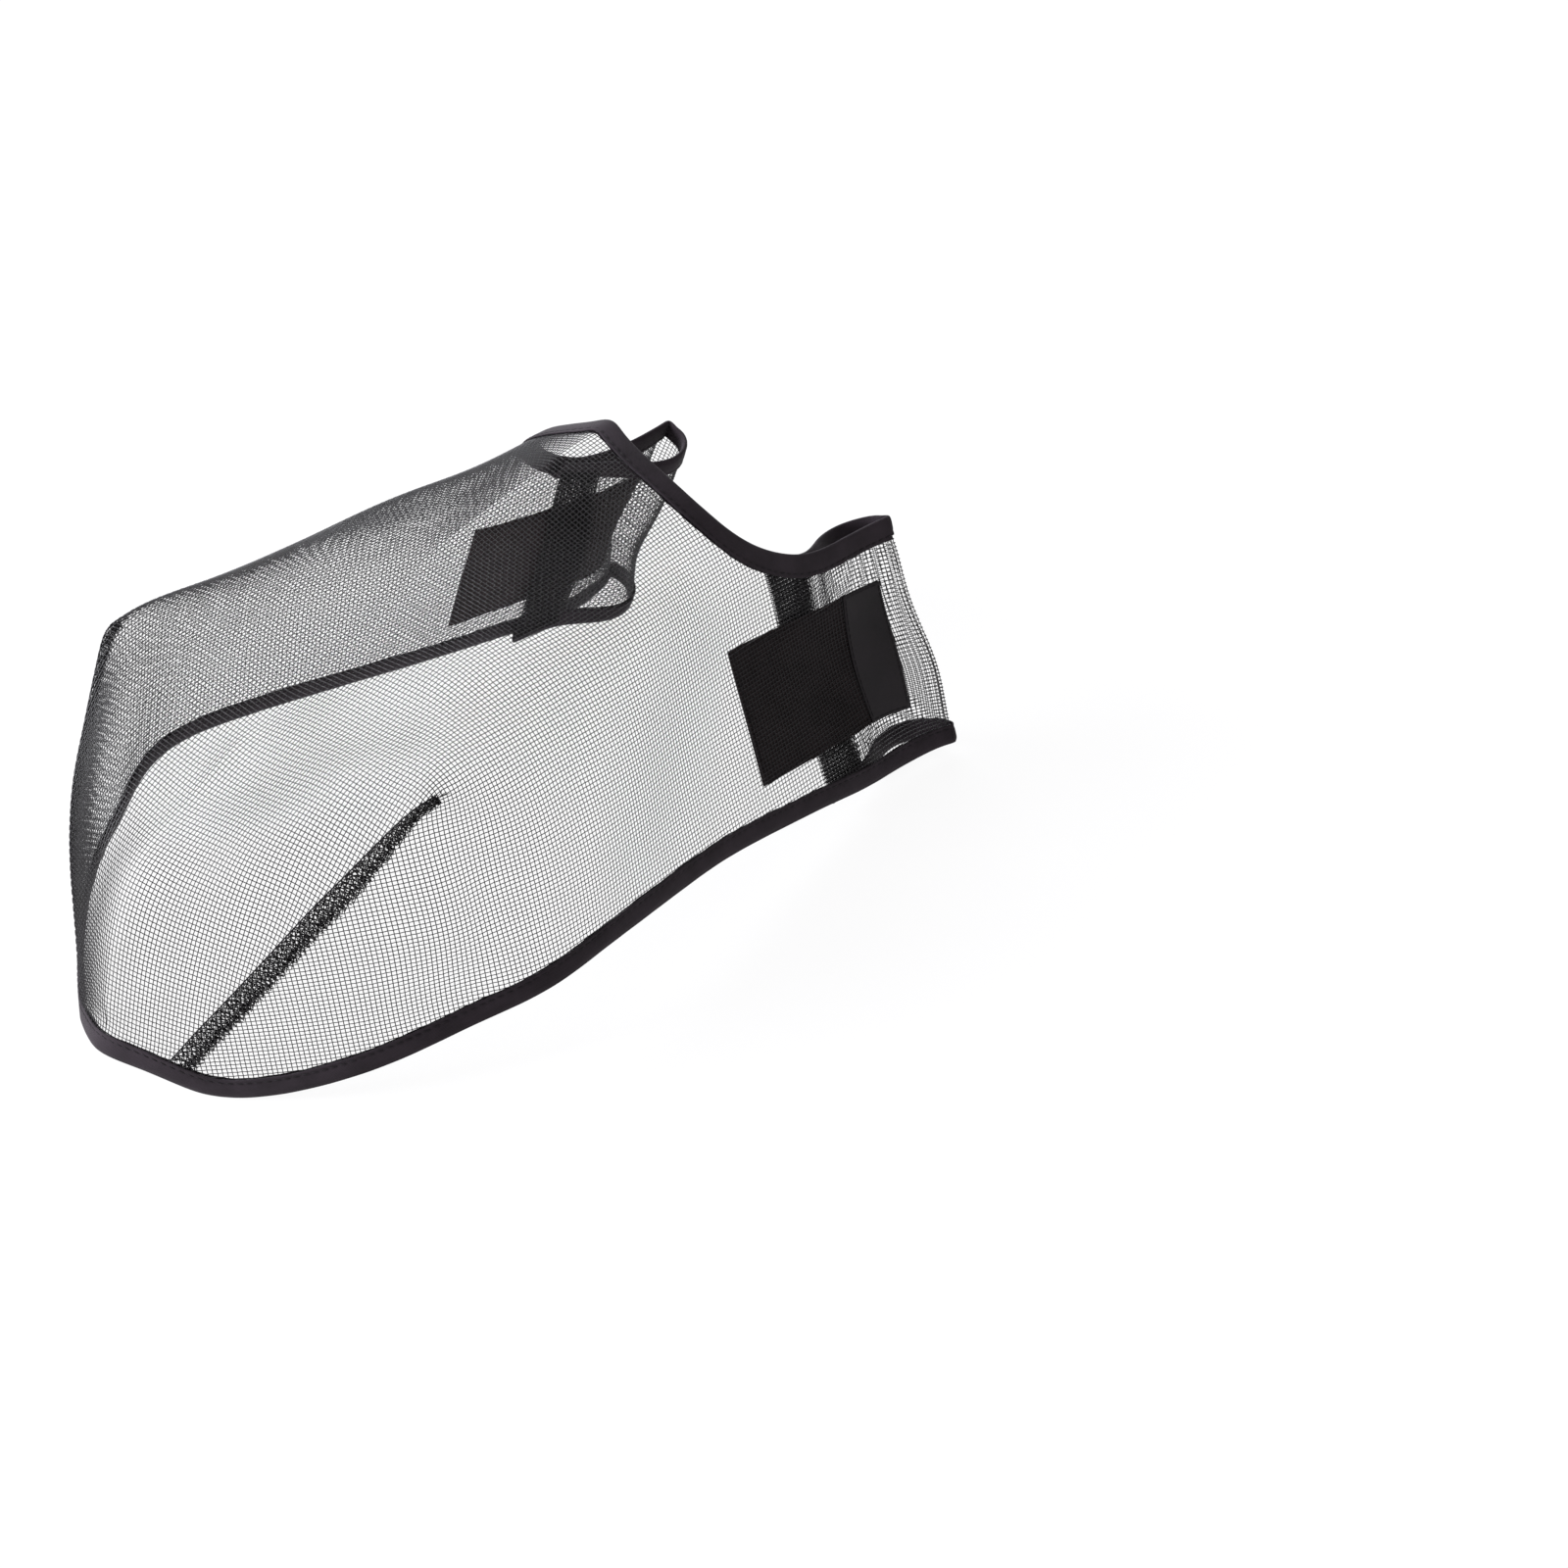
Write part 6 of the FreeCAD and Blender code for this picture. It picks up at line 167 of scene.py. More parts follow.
CLOTH_W = np.array([
    48.69, 187.24, 81.23, 50.11, 179.51, 83.29, 50.87, 171.7, 84.71, 51.14, 163.83, 85.61, 51.07, 155.92, 86.14, 50.85, 147.98, 86.42, 50.61, 140.02,
    86.59, 50.59, 132.05, 86.78, 50.82, 124.1, 87.07, 51.19, 116.16, 87.47, 51.63, 108.23, 87.95, 52.12, 100.32, 88.48, 52.72, 92.42, 89.04, 53.44,
    84.54, 89.58, 54.27, 76.67, 90.11, 55.32, 68.82, 90.72, 56.72, 61.01, 91.54, 58.54, 53.23, 92.65, 60.52, 45.47, 93.88, 62.35, 37.69, 95.01,
    63.77, 29.88, 95.88, 64.82, 22.04, 96.53, 65.58, 14.18, 97.06, 66.15, 6.3, 97.55, 66.61, -1.61, 98.02, 67.07, -9.54, 98.5, 67.62, -17.5, 99.01,
    68.28, -25.48, 99.58, 69.04, -33.5, 100.23, 69.78, -41.54, 101.02, 70.49, -49.61, 101.96, 71.14, -57.61, 102.69, 71.63, -65.44, 102.71, 72,
    -72.92, 101.02, 71.2, -80.68, 104.79, 68.64, -87.77, 105.3, 64.94, -94.48, 105.14, 60.59, -100.89, 104.65, 55.67, -107.1, 103.99, 50.35, -113.14,
    103.15, 44.78, -119.01, 102.16, 39.14, -124.77, 101.06, 33.57, -130.46, 99.92, 28.18, -136.14, 98.8, 22.9, -141.84, 97.75, 17.58, -147.62, 96.84,
    12.12, -153.52, 96.14, 6.39, -159.6, 95.69, 55.58, 187.07, 76.37, 56.42, 179.27, 77.65, 56.3, 171.43, 78.45, 55.43, 163.56, 78.88, 54.14, 155.65,
    79.05, 53.12, 147.73, 79.1, 52.79, 139.77, 79.13, 53.11, 131.8, 79.25, 53.75, 123.82, 79.52, 54.37, 115.85, 79.9, 54.74, 107.88, 80.39, 55.01,
    99.93, 80.94, 55.38, 92.01, 81.54, 56.04, 84.12, 82.16, 56.97, 76.27, 82.78, 58.18, 68.44, 83.47, 59.7, 60.64, 84.29, 61.49, 52.87, 85.28, 63.39,
    45.12, 86.37, 65.21, 37.37, 87.43, 66.82, 29.6, 88.36, 68.22, 21.81, 89.19, 69.42, 14, 89.97, 70.44, 6.16, 90.76, 71.32, -1.7, 91.53, 72.08,
    -9.6, 92.28, 72.8, -17.53, 93.01, 73.53, -25.49, 93.73, 74.33, -33.47, 94.48, 75.18, -41.46, 95.26, 76.05, -49.45, 96.07, 76.9, -57.41, 96.86,
    77.52, -65.27, 97.48, 77.25, -72.92, 97.83, 74.96, -80.47, 98.72, 70.77, -87.56, 98.41, 66.1, -94.26, 97.54, 61.2, -100.71, 96.7, 56.26, -106.99,
    95.82, 51.2, -113.13, 94.91, 46.02, -119.09, 93.99, 40.68, -124.88, 93.03, 35.21, -130.57, 92.03, 29.6, -136.19, 91.03, 23.9, -141.77, 90.06,
    18.2, -147.36, 89.13, 12.57, -152.99, 88.26, 7.09, -158.68, 87.48, 62.16, 186.67, 71.12, 61.84, 178.73, 71.71, 61.47, 170.85, 71.95, 60.32,
    163.01, 71.94, 58.06, 155.17, 71.79, 55.88, 147.33, 71.62, 55.01, 139.44, 71.52, 55.35, 131.5, 71.59, 56.3, 123.52, 71.84, 57.22, 115.52, 72.22,
    57.61, 107.52, 72.72, 57.7, 99.53, 73.31, 57.85, 91.58, 73.95, 58.39, 83.67, 74.62, 59.3, 75.81, 75.32, 60.54, 68, 76.07, 62.06, 60.21, 76.87,
    63.78, 52.45, 77.74, 65.63, 44.72, 78.67, 67.51, 36.99, 79.65, 69.35, 29.26, 80.66, 71.1, 21.52, 81.67, 72.7, 13.76, 82.68, 74.1, 5.97, 83.66,
    75.25, -1.86, 84.6, 76.14, -9.73, 85.49, 76.91, -17.64, 86.32, 77.75, -25.58, 87.09, 78.75, -33.55, 87.82, 79.7, -41.54, 88.51, 80.26, -49.53,
    89.14, 80.17, -57.5, 89.71, 79.49, -65.37, 90.13, 78.04, -73.13, 90.94, 75.13, -80.55, 91.04, 71.25, -87.54, 90.4, 66.83, -94.16, 89.58, 62.21,
    -100.59, 88.72, 57.45, -106.92, 87.8, 52.5, -113.14, 86.92, 47.32, -119.12, 86.03, 41.95, -124.91, 85.09, 36.39, -130.55, 84.12, 30.68, -136.11,
    83.14, 24.88, -141.59, 82.16, 19.05, -147.02, 81.22, 13.28, -152.42, 80.32, 7.63, -157.82, 79.48, 67.65, 185.97, 65.11, 66.55, 177.88, 65.2,
    65.64, 169.95, 65.02, 64.06, 162.14, 64.68, 61.35, 154.4, 64.28, 58.75, 146.66, 63.93, 57.51, 138.88, 63.74, 57.41, 131.03, 63.78, 57.97, 123.11,
    64.04, 58.73, 115.14, 64.48, 59.35, 107.15, 65.04, 59.88, 99.17, 65.69, 60.44, 91.21, 66.37, 61.17, 83.3, 67.07, 62.08, 75.44, 67.77, 63.18,
    67.61, 68.5, 64.48, 59.82, 69.28, 65.98, 52.06, 70.11, 67.7, 44.32, 71.02, 69.61, 36.59, 72.01, 71.62, 28.88, 73.07, 73.64, 21.16, 74.16, 75.55,
    13.42, 75.25, 77.24, 5.66, 76.32, 78.6, -2.13, 77.35, 79.58, -9.97, 78.29, 80.39, -17.85, 79.16, 81.26, -25.76, 79.95, 82.33, -33.71, 80.64,
    83.19, -41.69, 81.26, 83.29, -49.71, 81.77, 82.29, -57.72, 82.16, 80.81, -65.63, 82.4, 79.13, -73.4, 82.92, 76.18, -80.73, 82.77, 72.33, -87.61,
    82.24, 67.89, -94.18, 81.56, 63.32, -100.59, 80.72, 58.65, -106.97, 79.84, 53.79, -113.21, 78.99, 48.67, -119.16, 78.1, 43.31, -124.89, 77.16,
    37.7, -130.46, 76.18, 31.84, -135.92, 75.2, 25.86, -141.31, 74.22, 19.85, -146.61, 73.27, 13.92, -151.84, 72.37, 8.2, -157.03, 71.54, 72.35,
    185.08, 58.53, 70.77, 176.85, 58.37, 69.33, 168.89, 57.96, 67.44, 161.14, 57.4, 64.76, 153.5, 56.81, 62.11, 145.9, 56.32, 60.33, 138.25, 56.03,
    59.45, 130.51, 56.03, 59.32, 122.66, 56.29, 59.79, 114.76, 56.77, 60.72, 106.81, 57.38, 61.9, 98.84, 58.08, 63.1, 90.89, 58.81, 64.16, 82.98,
    59.52, 65.12, 75.11, 60.22, 66.07, 67.27, 60.93, 67.11, 59.46, 61.69, 68.33, 51.68, 62.5, 69.83, 43.93, 63.4, 71.66, 36.19, 64.39, 73.72, 28.46,
    65.46, 75.87, 20.74, 66.58, 77.96, 13.01, 67.71, 79.86, 5.27, 68.82, 81.42, -2.5, 69.87, 82.57, -10.3, 70.84, 83.47, -18.14, 71.72, 84.34,
    -26.02, 72.5, 85.28, -33.95, 73.17, 85.86, -41.93, 73.72, 85.51, -49.95, 74.15, 83.97, -58.01, 74.44, 82.26, -65.96, 74.58, 80.88, -73.69, 74.76,
    78.16, -80.96, 74.58, 74.09, -87.8, 74.19, 69.4, -94.34, 73.57, 64.68, -100.76, 72.77, 59.95, -107.14, 71.94, 55.08, -113.32, 71.11, 50, -119.19,
    70.2, 44.64, -124.83, 69.21, 38.99, -130.31, 68.2, 33, -135.68, 67.21, 26.82, -140.95, 66.24, 20.62, -146.14, 65.3, 14.57, -151.25, 64.41, 8.81,
    -156.29, 63.61, 76.77, 184.1, 51.63, 74.89, 175.78, 51.54, 73.38, 167.83, 51.08, 71.67, 160.15, 50.41, 69.33, 152.63, 49.67, 66.48, 145.17,
    49.01, 63.58, 137.67, 48.59, 61.77, 130.03, 48.51, 61.18, 122.27, 48.74, 61.59, 114.42, 49.21, 62.76, 106.5, 49.84, 64.33, 98.56, 50.56, 65.89,
    90.62, 51.31, 67.13, 82.7, 52.02, 68.11, 74.81, 52.71, 68.96, 66.95, 53.4, 69.83, 59.12, 54.13, 70.84, 51.32, 54.91, 72.14, 43.54, 55.79, 73.82,
    35.78, 56.77, 75.78, 28.04, 57.83, 77.9, 20.3, 58.94, 80.02, 12.57, 60.06, 82.02, 4.83, 61.18, 83.75, -2.93, 62.24, 85.13, -10.71, 63.23, 86.22,
    -18.52, 64.12, 87.13, -26.37, 64.9, 87.89, -34.27, 65.57, 88.14, -42.23, 66.1, 87.46, -50.25, 66.48, 85.7, -58.33, 66.72, 84.01, -66.3, 66.8,
    82.93, -73.99, 66.77, 80.3, -81.25, 66.6, 76.17, -88.08, 66.24, 71.31, -94.63, 65.65, 66.4, -101.05, 64.91, 61.47, -107.35, 64.11, 56.42, -113.4,
    63.24, 51.2, -119.16, 62.26, 45.74, -124.72, 61.23, 40.01, -130.1, 60.18, 33.96, -135.35, 59.16, 27.72, -140.53, 58.21, 21.45, -145.63, 57.31,
    15.3, -150.67, 56.46, 9.39, -155.62, 55.68, 81.07, 183.14, 44.64, 79.03, 174.79, 44.7, 77.68, 166.88, 44.28, 76.33, 159.3, 43.55, 74.33, 151.91,
    42.71, 71.13, 144.59, 41.92, 67.01, 137.21, 41.37, 64.46, 129.67, 41.2, 63.73, 121.97, 41.37, 64.27, 114.16, 41.81, 65.57, 106.26, 42.43, 67.21,
    98.32, 43.15, 68.8, 90.37, 43.88, 70.05, 82.44, 44.58, 71, 74.53, 45.25, 71.8, 66.65, 45.91, 72.58, 58.8, 46.6, 73.47, 50.97, 47.35, 74.62,
    43.16, 48.19, 76.12, 35.37, 49.13, 77.9, 27.61, 50.16, 79.86, 19.85, 51.24, 81.89, 12.11, 52.35, 83.87, 4.36, 53.45, 85.71, -3.4, 54.51, 87.3,
    -11.17, 55.5, 88.6, -18.97, 56.41, 89.59, -26.8, 57.21, 90.2, -34.67, 57.89, 90.2, -42.6, 58.42, 89.34, -50.6, 58.79, 87.6, -58.65, 58.99, 85.92,
    -66.59, 59.03, 84.75, -74.27, 58.94, 82.14, -81.53, 58.73, 78.07, -88.39, 58.36, 73.23, -94.95, 57.8, 68.2, -101.32, 57.09, 63.05, -107.5, 56.28,
    57.76, -113.43, 55.36, 52.32, -119.1, 54.31, 46.69, -124.56, 53.21, 40.84, -129.84, 52.13, 34.77, -134.95, 51.08, 28.55, -139.99, 50.11, 22.29,
    -145.06, 49.26, 16.07, -150.08, 48.47, 9.98, -155.01, 47.74, 85.34, 182.28, 37.76, 83.19, 173.97, 37.82, 81.91, 166.16, 37.36, 80.66, 158.7,
    36.59, 78.59, 151.44, 35.68, 75.02, 144.24, 34.83, 70.28, 136.95, 34.22, 67.55, 129.47, 34, 66.98, 121.81, 34.14, 67.71, 114, 34.55, 68.98,
    106.1, 35.14, 70.44, 98.13, 35.83, 71.82, 90.15, 36.54, 72.92, 82.19, 37.21, 73.8, 74.26, 37.84, 74.56, 66.35, 38.46, 75.31, 58.47, 39.11, 76.16,
    50.62, 39.81, 77.22, 42.79, 40.6, 78.56, 34.99, 41.5, 80.14, 27.2, 42.48, 81.9, 19.42, 43.52, 83.75, 11.65, 44.6, 85.62, 3.88, 45.68, 87.44,
    -3.89, 46.73, 89.13, -11.68, 47.73, 90.57, -19.49, 48.65, 91.64, -27.32, 49.47, 92.21, -35.18, 50.16, 92.13, -43.07, 50.7, 91.26, -51, 51.07,
    89.61, -58.95, 51.23, 87.78, -66.81, 51.24, 86.04, -74.42, 51.1, 83.22, -81.69, 50.86, 79.31, -88.6, 50.49, 74.7, -95.2, 49.95, 69.74, -101.54,
    49.25, 64.51, -107.62, 48.41, 59.06, -113.45, 47.45, 53.42, -119.04, 46.38, 47.62, -124.38, 45.22, 41.65, -129.49, 44.06, 35.53, -134.48, 42.98,
    29.3, -139.44, 42.02, 23.05, -144.47, 41.18, 16.81, -149.5, 40.44, 10.59, -154.44, 39.76, 89.6, 181.59, 31.13, 87.34, 173.42, 30.83, 85.79,
    165.75, 30.17, 84.02, 158.42, 29.31, 81.28, 151.27, 28.39, 77.43, 144.16, 27.59, 73.15, 136.93, 27.03, 70.99, 129.47, 26.85, 70.82, 121.8, 26.99,
    71.7, 113.96, 27.39, 72.8, 106, 27.95, 73.89, 97.98, 28.61, 74.9, 89.95, 29.27, 75.77, 81.95, 29.89, 76.53, 73.98, 30.47, 77.26, 66.05, 31.04,
    78.02, 58.15, 31.64, 78.87, 50.28, 32.29, 79.9, 42.44, 33.03, 81.13, 34.62, 33.87, 82.55, 26.82, 34.81, 84.11, 19.03, 35.81, 85.75, 11.23, 36.85,
    87.43, 3.43, 37.9, 89.11, -4.38, 38.94, 90.71, -12.21, 39.95, 92.14, -20.06, 40.88, 93.26, -27.92, 41.72, 93.94, -35.78, 42.42, 94.01, -43.62,
    42.95, 93.29, -51.45, 43.3, 91.69, -59.23, 43.42, 89.39, -66.92, 43.37, 86.61, -74.43, 43.19, 83.37, -81.7, 42.92, 79.66, -88.69, 42.54, 75.47,
    -95.36, 42.01, 70.79, -101.7, 41.33, 65.69, -107.74, 40.5, 60.26, -113.5, 39.54, 54.56, -118.99, 38.44, 48.64, -124.25, 37.29, 42.54, -129.18,
    36.07, 36.29, -134.05, 34.95, 29.99, -138.99, 33.98, 23.68, -144.03, 33.16, 17.44, -149, 32.41, 11.25, -153.94, 31.73, 93.66, 181.05, 24.5,
    91.23, 173.14, 23.66, 89.11, 165.65, 22.71, 86.51, 158.43, 21.76, 82.92, 151.35, 20.88, 78.98, 144.26, 20.18, 75.79, 137.02, 19.74, 74.53,
    129.52, 19.64, 74.78, 121.8, 19.82, 75.69, 113.9, 20.21, 76.56, 105.88, 20.75, 77.28, 97.81, 21.37, 77.94, 89.72, 21.99, 78.58, 81.69, 22.56,
    79.24, 73.69, 23.1, 79.95, 65.75, 23.63, 80.73, 57.84, 24.18, 81.62, 49.96, 24.79, 82.64, 42.11, 25.48, 83.81, 34.28, 26.28, 85.11, 26.47, 27.17,
    86.5, 18.66, 28.13, 87.95, 10.85, 29.14, 89.43, 3.01, 30.17, 90.91, -4.85, 31.2, 92.35, -12.74, 32.2, 93.68, -20.64, 33.14, 94.82, -28.53, 33.98,
    95.66, -36.39, 34.68, 95.94, -44.19, 35.21, 95.37, -51.9, 35.52, 93.69, -59.5, 35.59, 90.8, -66.99, 35.48, 86.92, -74.38, 35.25, 83.23, -81.64,
    34.95, 79.69, -88.69, 34.56, 75.91, -95.45, 34.04, 71.57, -101.82, 33.38, 66.68, -107.85, 32.57, 61.35, -113.58, 31.63, 55.67, -119.01, 30.56,
    49.69, -124.13, 29.39, 43.51, -129.05, 28.19, 37.13, -133.89, 27.06, 30.7, -138.83, 26.07, 24.34, -143.75, 25.19, 18.09, -148.63, 24.36, 11.93,
    -153.49, 23.64, 97.29, 180.61, 17.55, 94.54, 173.12, 16.25, 91.73, 165.84, 15.07, 88.39, 158.69, 14.05, 84.34, 151.57, 13.22, 80.65, 144.38,
    12.63, 78.47, 137.02, 12.31, 77.86, 129.43, 12.28, 78.27, 121.64, 12.49, 79.07, 113.68, 12.89, 79.75, 105.63, 13.42, 80.29, 97.53, 14.01, 80.79,
    89.44, 14.6, 81.35, 81.39, 15.15, 81.99, 73.4, 15.66, 82.72, 65.44, 16.18, 83.53, 57.53, 16.72, 84.44, 49.66, 17.31, 85.46, 41.8, 17.98, 86.58,
    33.97, 18.75, 87.79, 26.15, 19.62, 89.07, 18.32, 20.54, 90.39, 10.49, 21.52, 91.73, 2.62, 22.52, 93.07, -5.27, 23.53, 94.39, -13.21, 24.53,
    95.64, -21.15, 25.46, 96.77, -29.07, 26.29, 97.67, -36.92, 26.99, 98.02, -44.68, 27.49, 97.41, -52.3, 27.76, 95.5, -59.76, 27.78, 92.12, -67.11,
    27.61, 87.6, -74.38, 27.33, 83.62, -81.59, 27, 80.11, -88.65, 26.6, 76.51, -95.44, 26.09, 72.35, -101.85, 25.43, 67.59, -107.9, 24.63, 62.34,
    -113.63, 23.73, 56.7, -119.07, 22.7, 50.73, -124.21, 21.57, 44.49, -129.14, 20.39, 38.1, -133.99, 19.26, 31.6, -138.87, 18.23, 25.18, -143.66,
    17.22, 18.8, -148.38, 16.33, 13.29, -152.83, 14.91, 100.32, 180.25, 10.08, 97.12, 173.29, 8.59, 93.65, 166.24, 7.32, 89.97, 159.08, 6.29, 86.23,
    151.81, 5.5, 83.16, 144.4, 4.98, 81.39, 136.82, 4.72, 80.76, 129.09, 4.72, 80.9, 121.21, 4.95, 81.44, 113.24, 5.35, 82.06, 105.2, 5.86, 82.71,
    97.13, 6.44, 83.39, 89.07, 7.03, 84.09, 81.06, 7.59, 84.83, 73.09, 8.13, 85.61, 65.15, 8.67, 86.45, 57.25, 9.24, 87.36, 49.38, 9.86, 88.35,
    41.52, 10.54, 89.42, 33.68, 11.31, 90.57, 25.84, 12.16, 91.79, 18, 13.07, 93.05, 10.14, 14.02, 94.36, 2.27, 14.99, 95.7, -5.65, 15.98, 97.04,
    -13.59, 16.95, 98.3, -21.54, 17.86, 99.39, -29.46, 18.68, 100.17, -37.31, 19.35, 100.28, -45.05, 19.82, 99.34, -52.64, 20.06, 97.04, -60.06,
    20.03, 93.48, -67.35, 19.81, 89.12, -74.55, 19.49, 85.15, -81.67, 19.13, 81.49, -88.65, 18.71, 77.68, -95.38, 18.18, 73.38, -101.78, 17.51,
    68.55, -107.85, 16.71, 63.28, -113.62, 15.81, 57.65, -119.13, 14.83, 51.72, -124.37, 13.75, 45.54, -129.39, 12.61, 39.18, -134.29, 11.49, 32.73,
    -139.05, 10.38, 26.22, -143.71, 9.31, 19.97, -148.15, 8.1, 14.13, -152.41, 6.79, 102.98, 180.03, 2.36, 99.33, 173.43, 0.86, 95.49, 166.5, -0.39,
    91.84, 159.29, -1.39, 88.71, 151.86, -2.15, 86.22, 144.23, -2.65, 84.44, 136.48, -2.89, 83.46, 128.62, -2.88, 83.18, 120.7, -2.66, 83.43, 112.73,
    -2.27, 84.06, 104.73, -1.77, 84.93, 96.72, -1.2, 85.88, 88.72, -0.6, 86.79, 80.74, -0.02, 87.67, 72.8, 0.56, 88.54, 64.88, 1.14, 89.41, 56.98,
    1.76, 90.31, 49.09, 2.41, 91.27, 41.23, 3.13, 92.31, 33.37, 3.91, 93.42, 25.51, 4.76, 94.61, 17.65, 5.66, 95.86, 9.78, 6.59, 97.18, 1.9, 7.54,
    98.57, -6.01, 8.49, 99.99, -13.94, 9.43, 101.29, -21.88, 10.31, 102.29, -29.78, 11.09, 102.8, -37.63, 11.72, 102.52, -45.38, 12.17, 101.16,
    -53.02, 12.38, 98.56, -60.51, 12.33, 95.11, -67.86, 12.1, 91.32, -75.06, 11.76, 87.53, -82.1, 11.38, 83.63, -88.95, 10.94, 79.45, -95.56, 10.37,
    74.82, -101.87, 9.67, 69.78, -107.9, 8.85, 64.37, -113.67, 7.92, 58.67, -119.19, 6.93, 52.74, -124.48, 5.88, 46.61, -129.55, 4.79, 40.35,
    -134.44, 3.66, 33.95, -139.17, 2.53, 27.61, -143.66, 1.26, 21.58, -147.87, -0.26, 14.88, -152.19, -0.99, 105.58, 180.03, -5.23, 101.71, 173.27,
    -6.68, 98.02, 166.23, -7.89, 94.64, 158.95, -8.87, 91.72, 151.47, -9.6, 89.3, 143.83, -10.09, 87.45, 136.08, -10.33, 86.29, 128.24, -10.34, 85.8,
    120.35, -10.14, 85.91, 112.41, -9.78, 86.51, 104.44, -9.3, 87.43, 96.45, -8.75, 88.47, 88.47, -8.16, 89.48, 80.5, -7.57, 90.44, 72.55, -6.98,
    91.38, 64.61, -6.38, 92.3, 56.69, -5.74, 93.24, 48.78, -5.05, 94.21, 40.88, -4.31, 95.24, 32.99, -3.5, 96.32, 25.11, -2.64, 97.46, 17.23, -1.73,
    98.68, 9.35, -0.81, 99.98, 1.47, 0.12, 101.36, -6.42, 1.04, 102.79, -14.33, 1.92, 104.06, -22.23, 2.74, 104.9, -30.12, 3.46, 105.1, -37.98, 4.05,
    104.48, -45.8, 4.46, 102.92, -53.55, 4.67, 100.38, -61.23, 4.66, 97.25, -68.77, 4.46, 93.89, -76.08, 4.16, 90.23, -83.12, 3.79, 86.2, -89.87,
    3.32, 81.74, -96.32, 2.7, 76.83, -102.47, 1.94, 71.52, -108.33, 1.06, 65.88, -113.93, 0.09, 59.99, -119.3, -0.94, 53.92, -124.46, -2.02, 47.74,
    -129.43, -3.11, 41.5, -134.24, -4.22, 35.17, -138.92, -5.34, 29.05, -143.36, -6.76, 22.52, -147.8, -7.8, 15.65, -152.24, -8.54,
]).reshape(14, 48, 3)

F_U, F_V = np.arange(13) * 8.0 + 0, np.arange(51) * 8.0 + -264

W_U, W_V = np.arange(14) * 8.0 + 72, np.arange(48) * 8.0 + -264

TOP_CUT = np.array([
    0, -156.36, 1.31, -155.8, 2.75, -155.35, 4.21, -154.95, 5.68, -154.58, 7.15, -154.25, 8.64, -153.95, 10.13, -153.69, 11.63, -153.46, 13.13,
    -153.27, 14.63, -153.11, 16.14, -152.97, 17.65, -152.87, 19.16, -152.79, 20.67, -152.74, 22.18, -152.72, 23.7, -152.73, 25.21, -152.76, 26.72,
    -152.82, 28.23, -152.91, 29.74, -153.03, 31.25, -153.18, 32.75, -153.37, 34.25, -153.58, 35.74, -153.83, 37.22, -154.12, 38.7, -154.45, 40.17,
    -154.81, 41.63, -155.22, 43.08, -155.65, 44.51, -156.13, 45.94, -156.64, 47.35, -157.19, 48.74, -157.78, 50.11, -158.42, 51.47, -159.09, 52.8,
    -159.81, 54.1, -160.58, 55.37, -161.41, 56.61, -162.28, 57.81, -163.2, 58.97, -164.16, 60.1, -165.17, 61.19, -166.22, 62.25, -167.3, 63.28,
    -168.41, 64.27, -169.56, 65.22, -170.73, 66.15, -171.93, 67.04, -173.15, 67.89, -174.4, 68.72, -175.67, 69.51, -176.95, 70.28, -178.26, 71.01,
    -179.58, 71.71, -180.92, 72.38, -182.28, 73.01, -183.66, 73.61, -185.05, 74.15, -186.46, 74.65, -187.89, 75.1, -189.33, 75.5, -190.79, 75.84,
    -192.27, 76.15, -193.75, 76.41, -195.24, 76.64, -196.73, 76.84, -198.23, 77, -199.74, 77.14, -201.25, 77.25, -202.75, 77.35, -204.26, 77.43,
    -205.78, 77.49, -207.29, 77.56, -208.8, 77.61, -210.31, 77.67, -211.82, 77.72, -213.34, 77.78, -214.85, 77.83, -216.36, 77.88, -217.87, 77.92,
    -219.38, 77.97, -220.9, 78.01, -222.41, 78.05, -223.92, 78.09, -225.44, 78.12, -226.95, 78.15, -228.46, 78.18, -229.97, 78.2, -231.49,
]).reshape(90, 2)

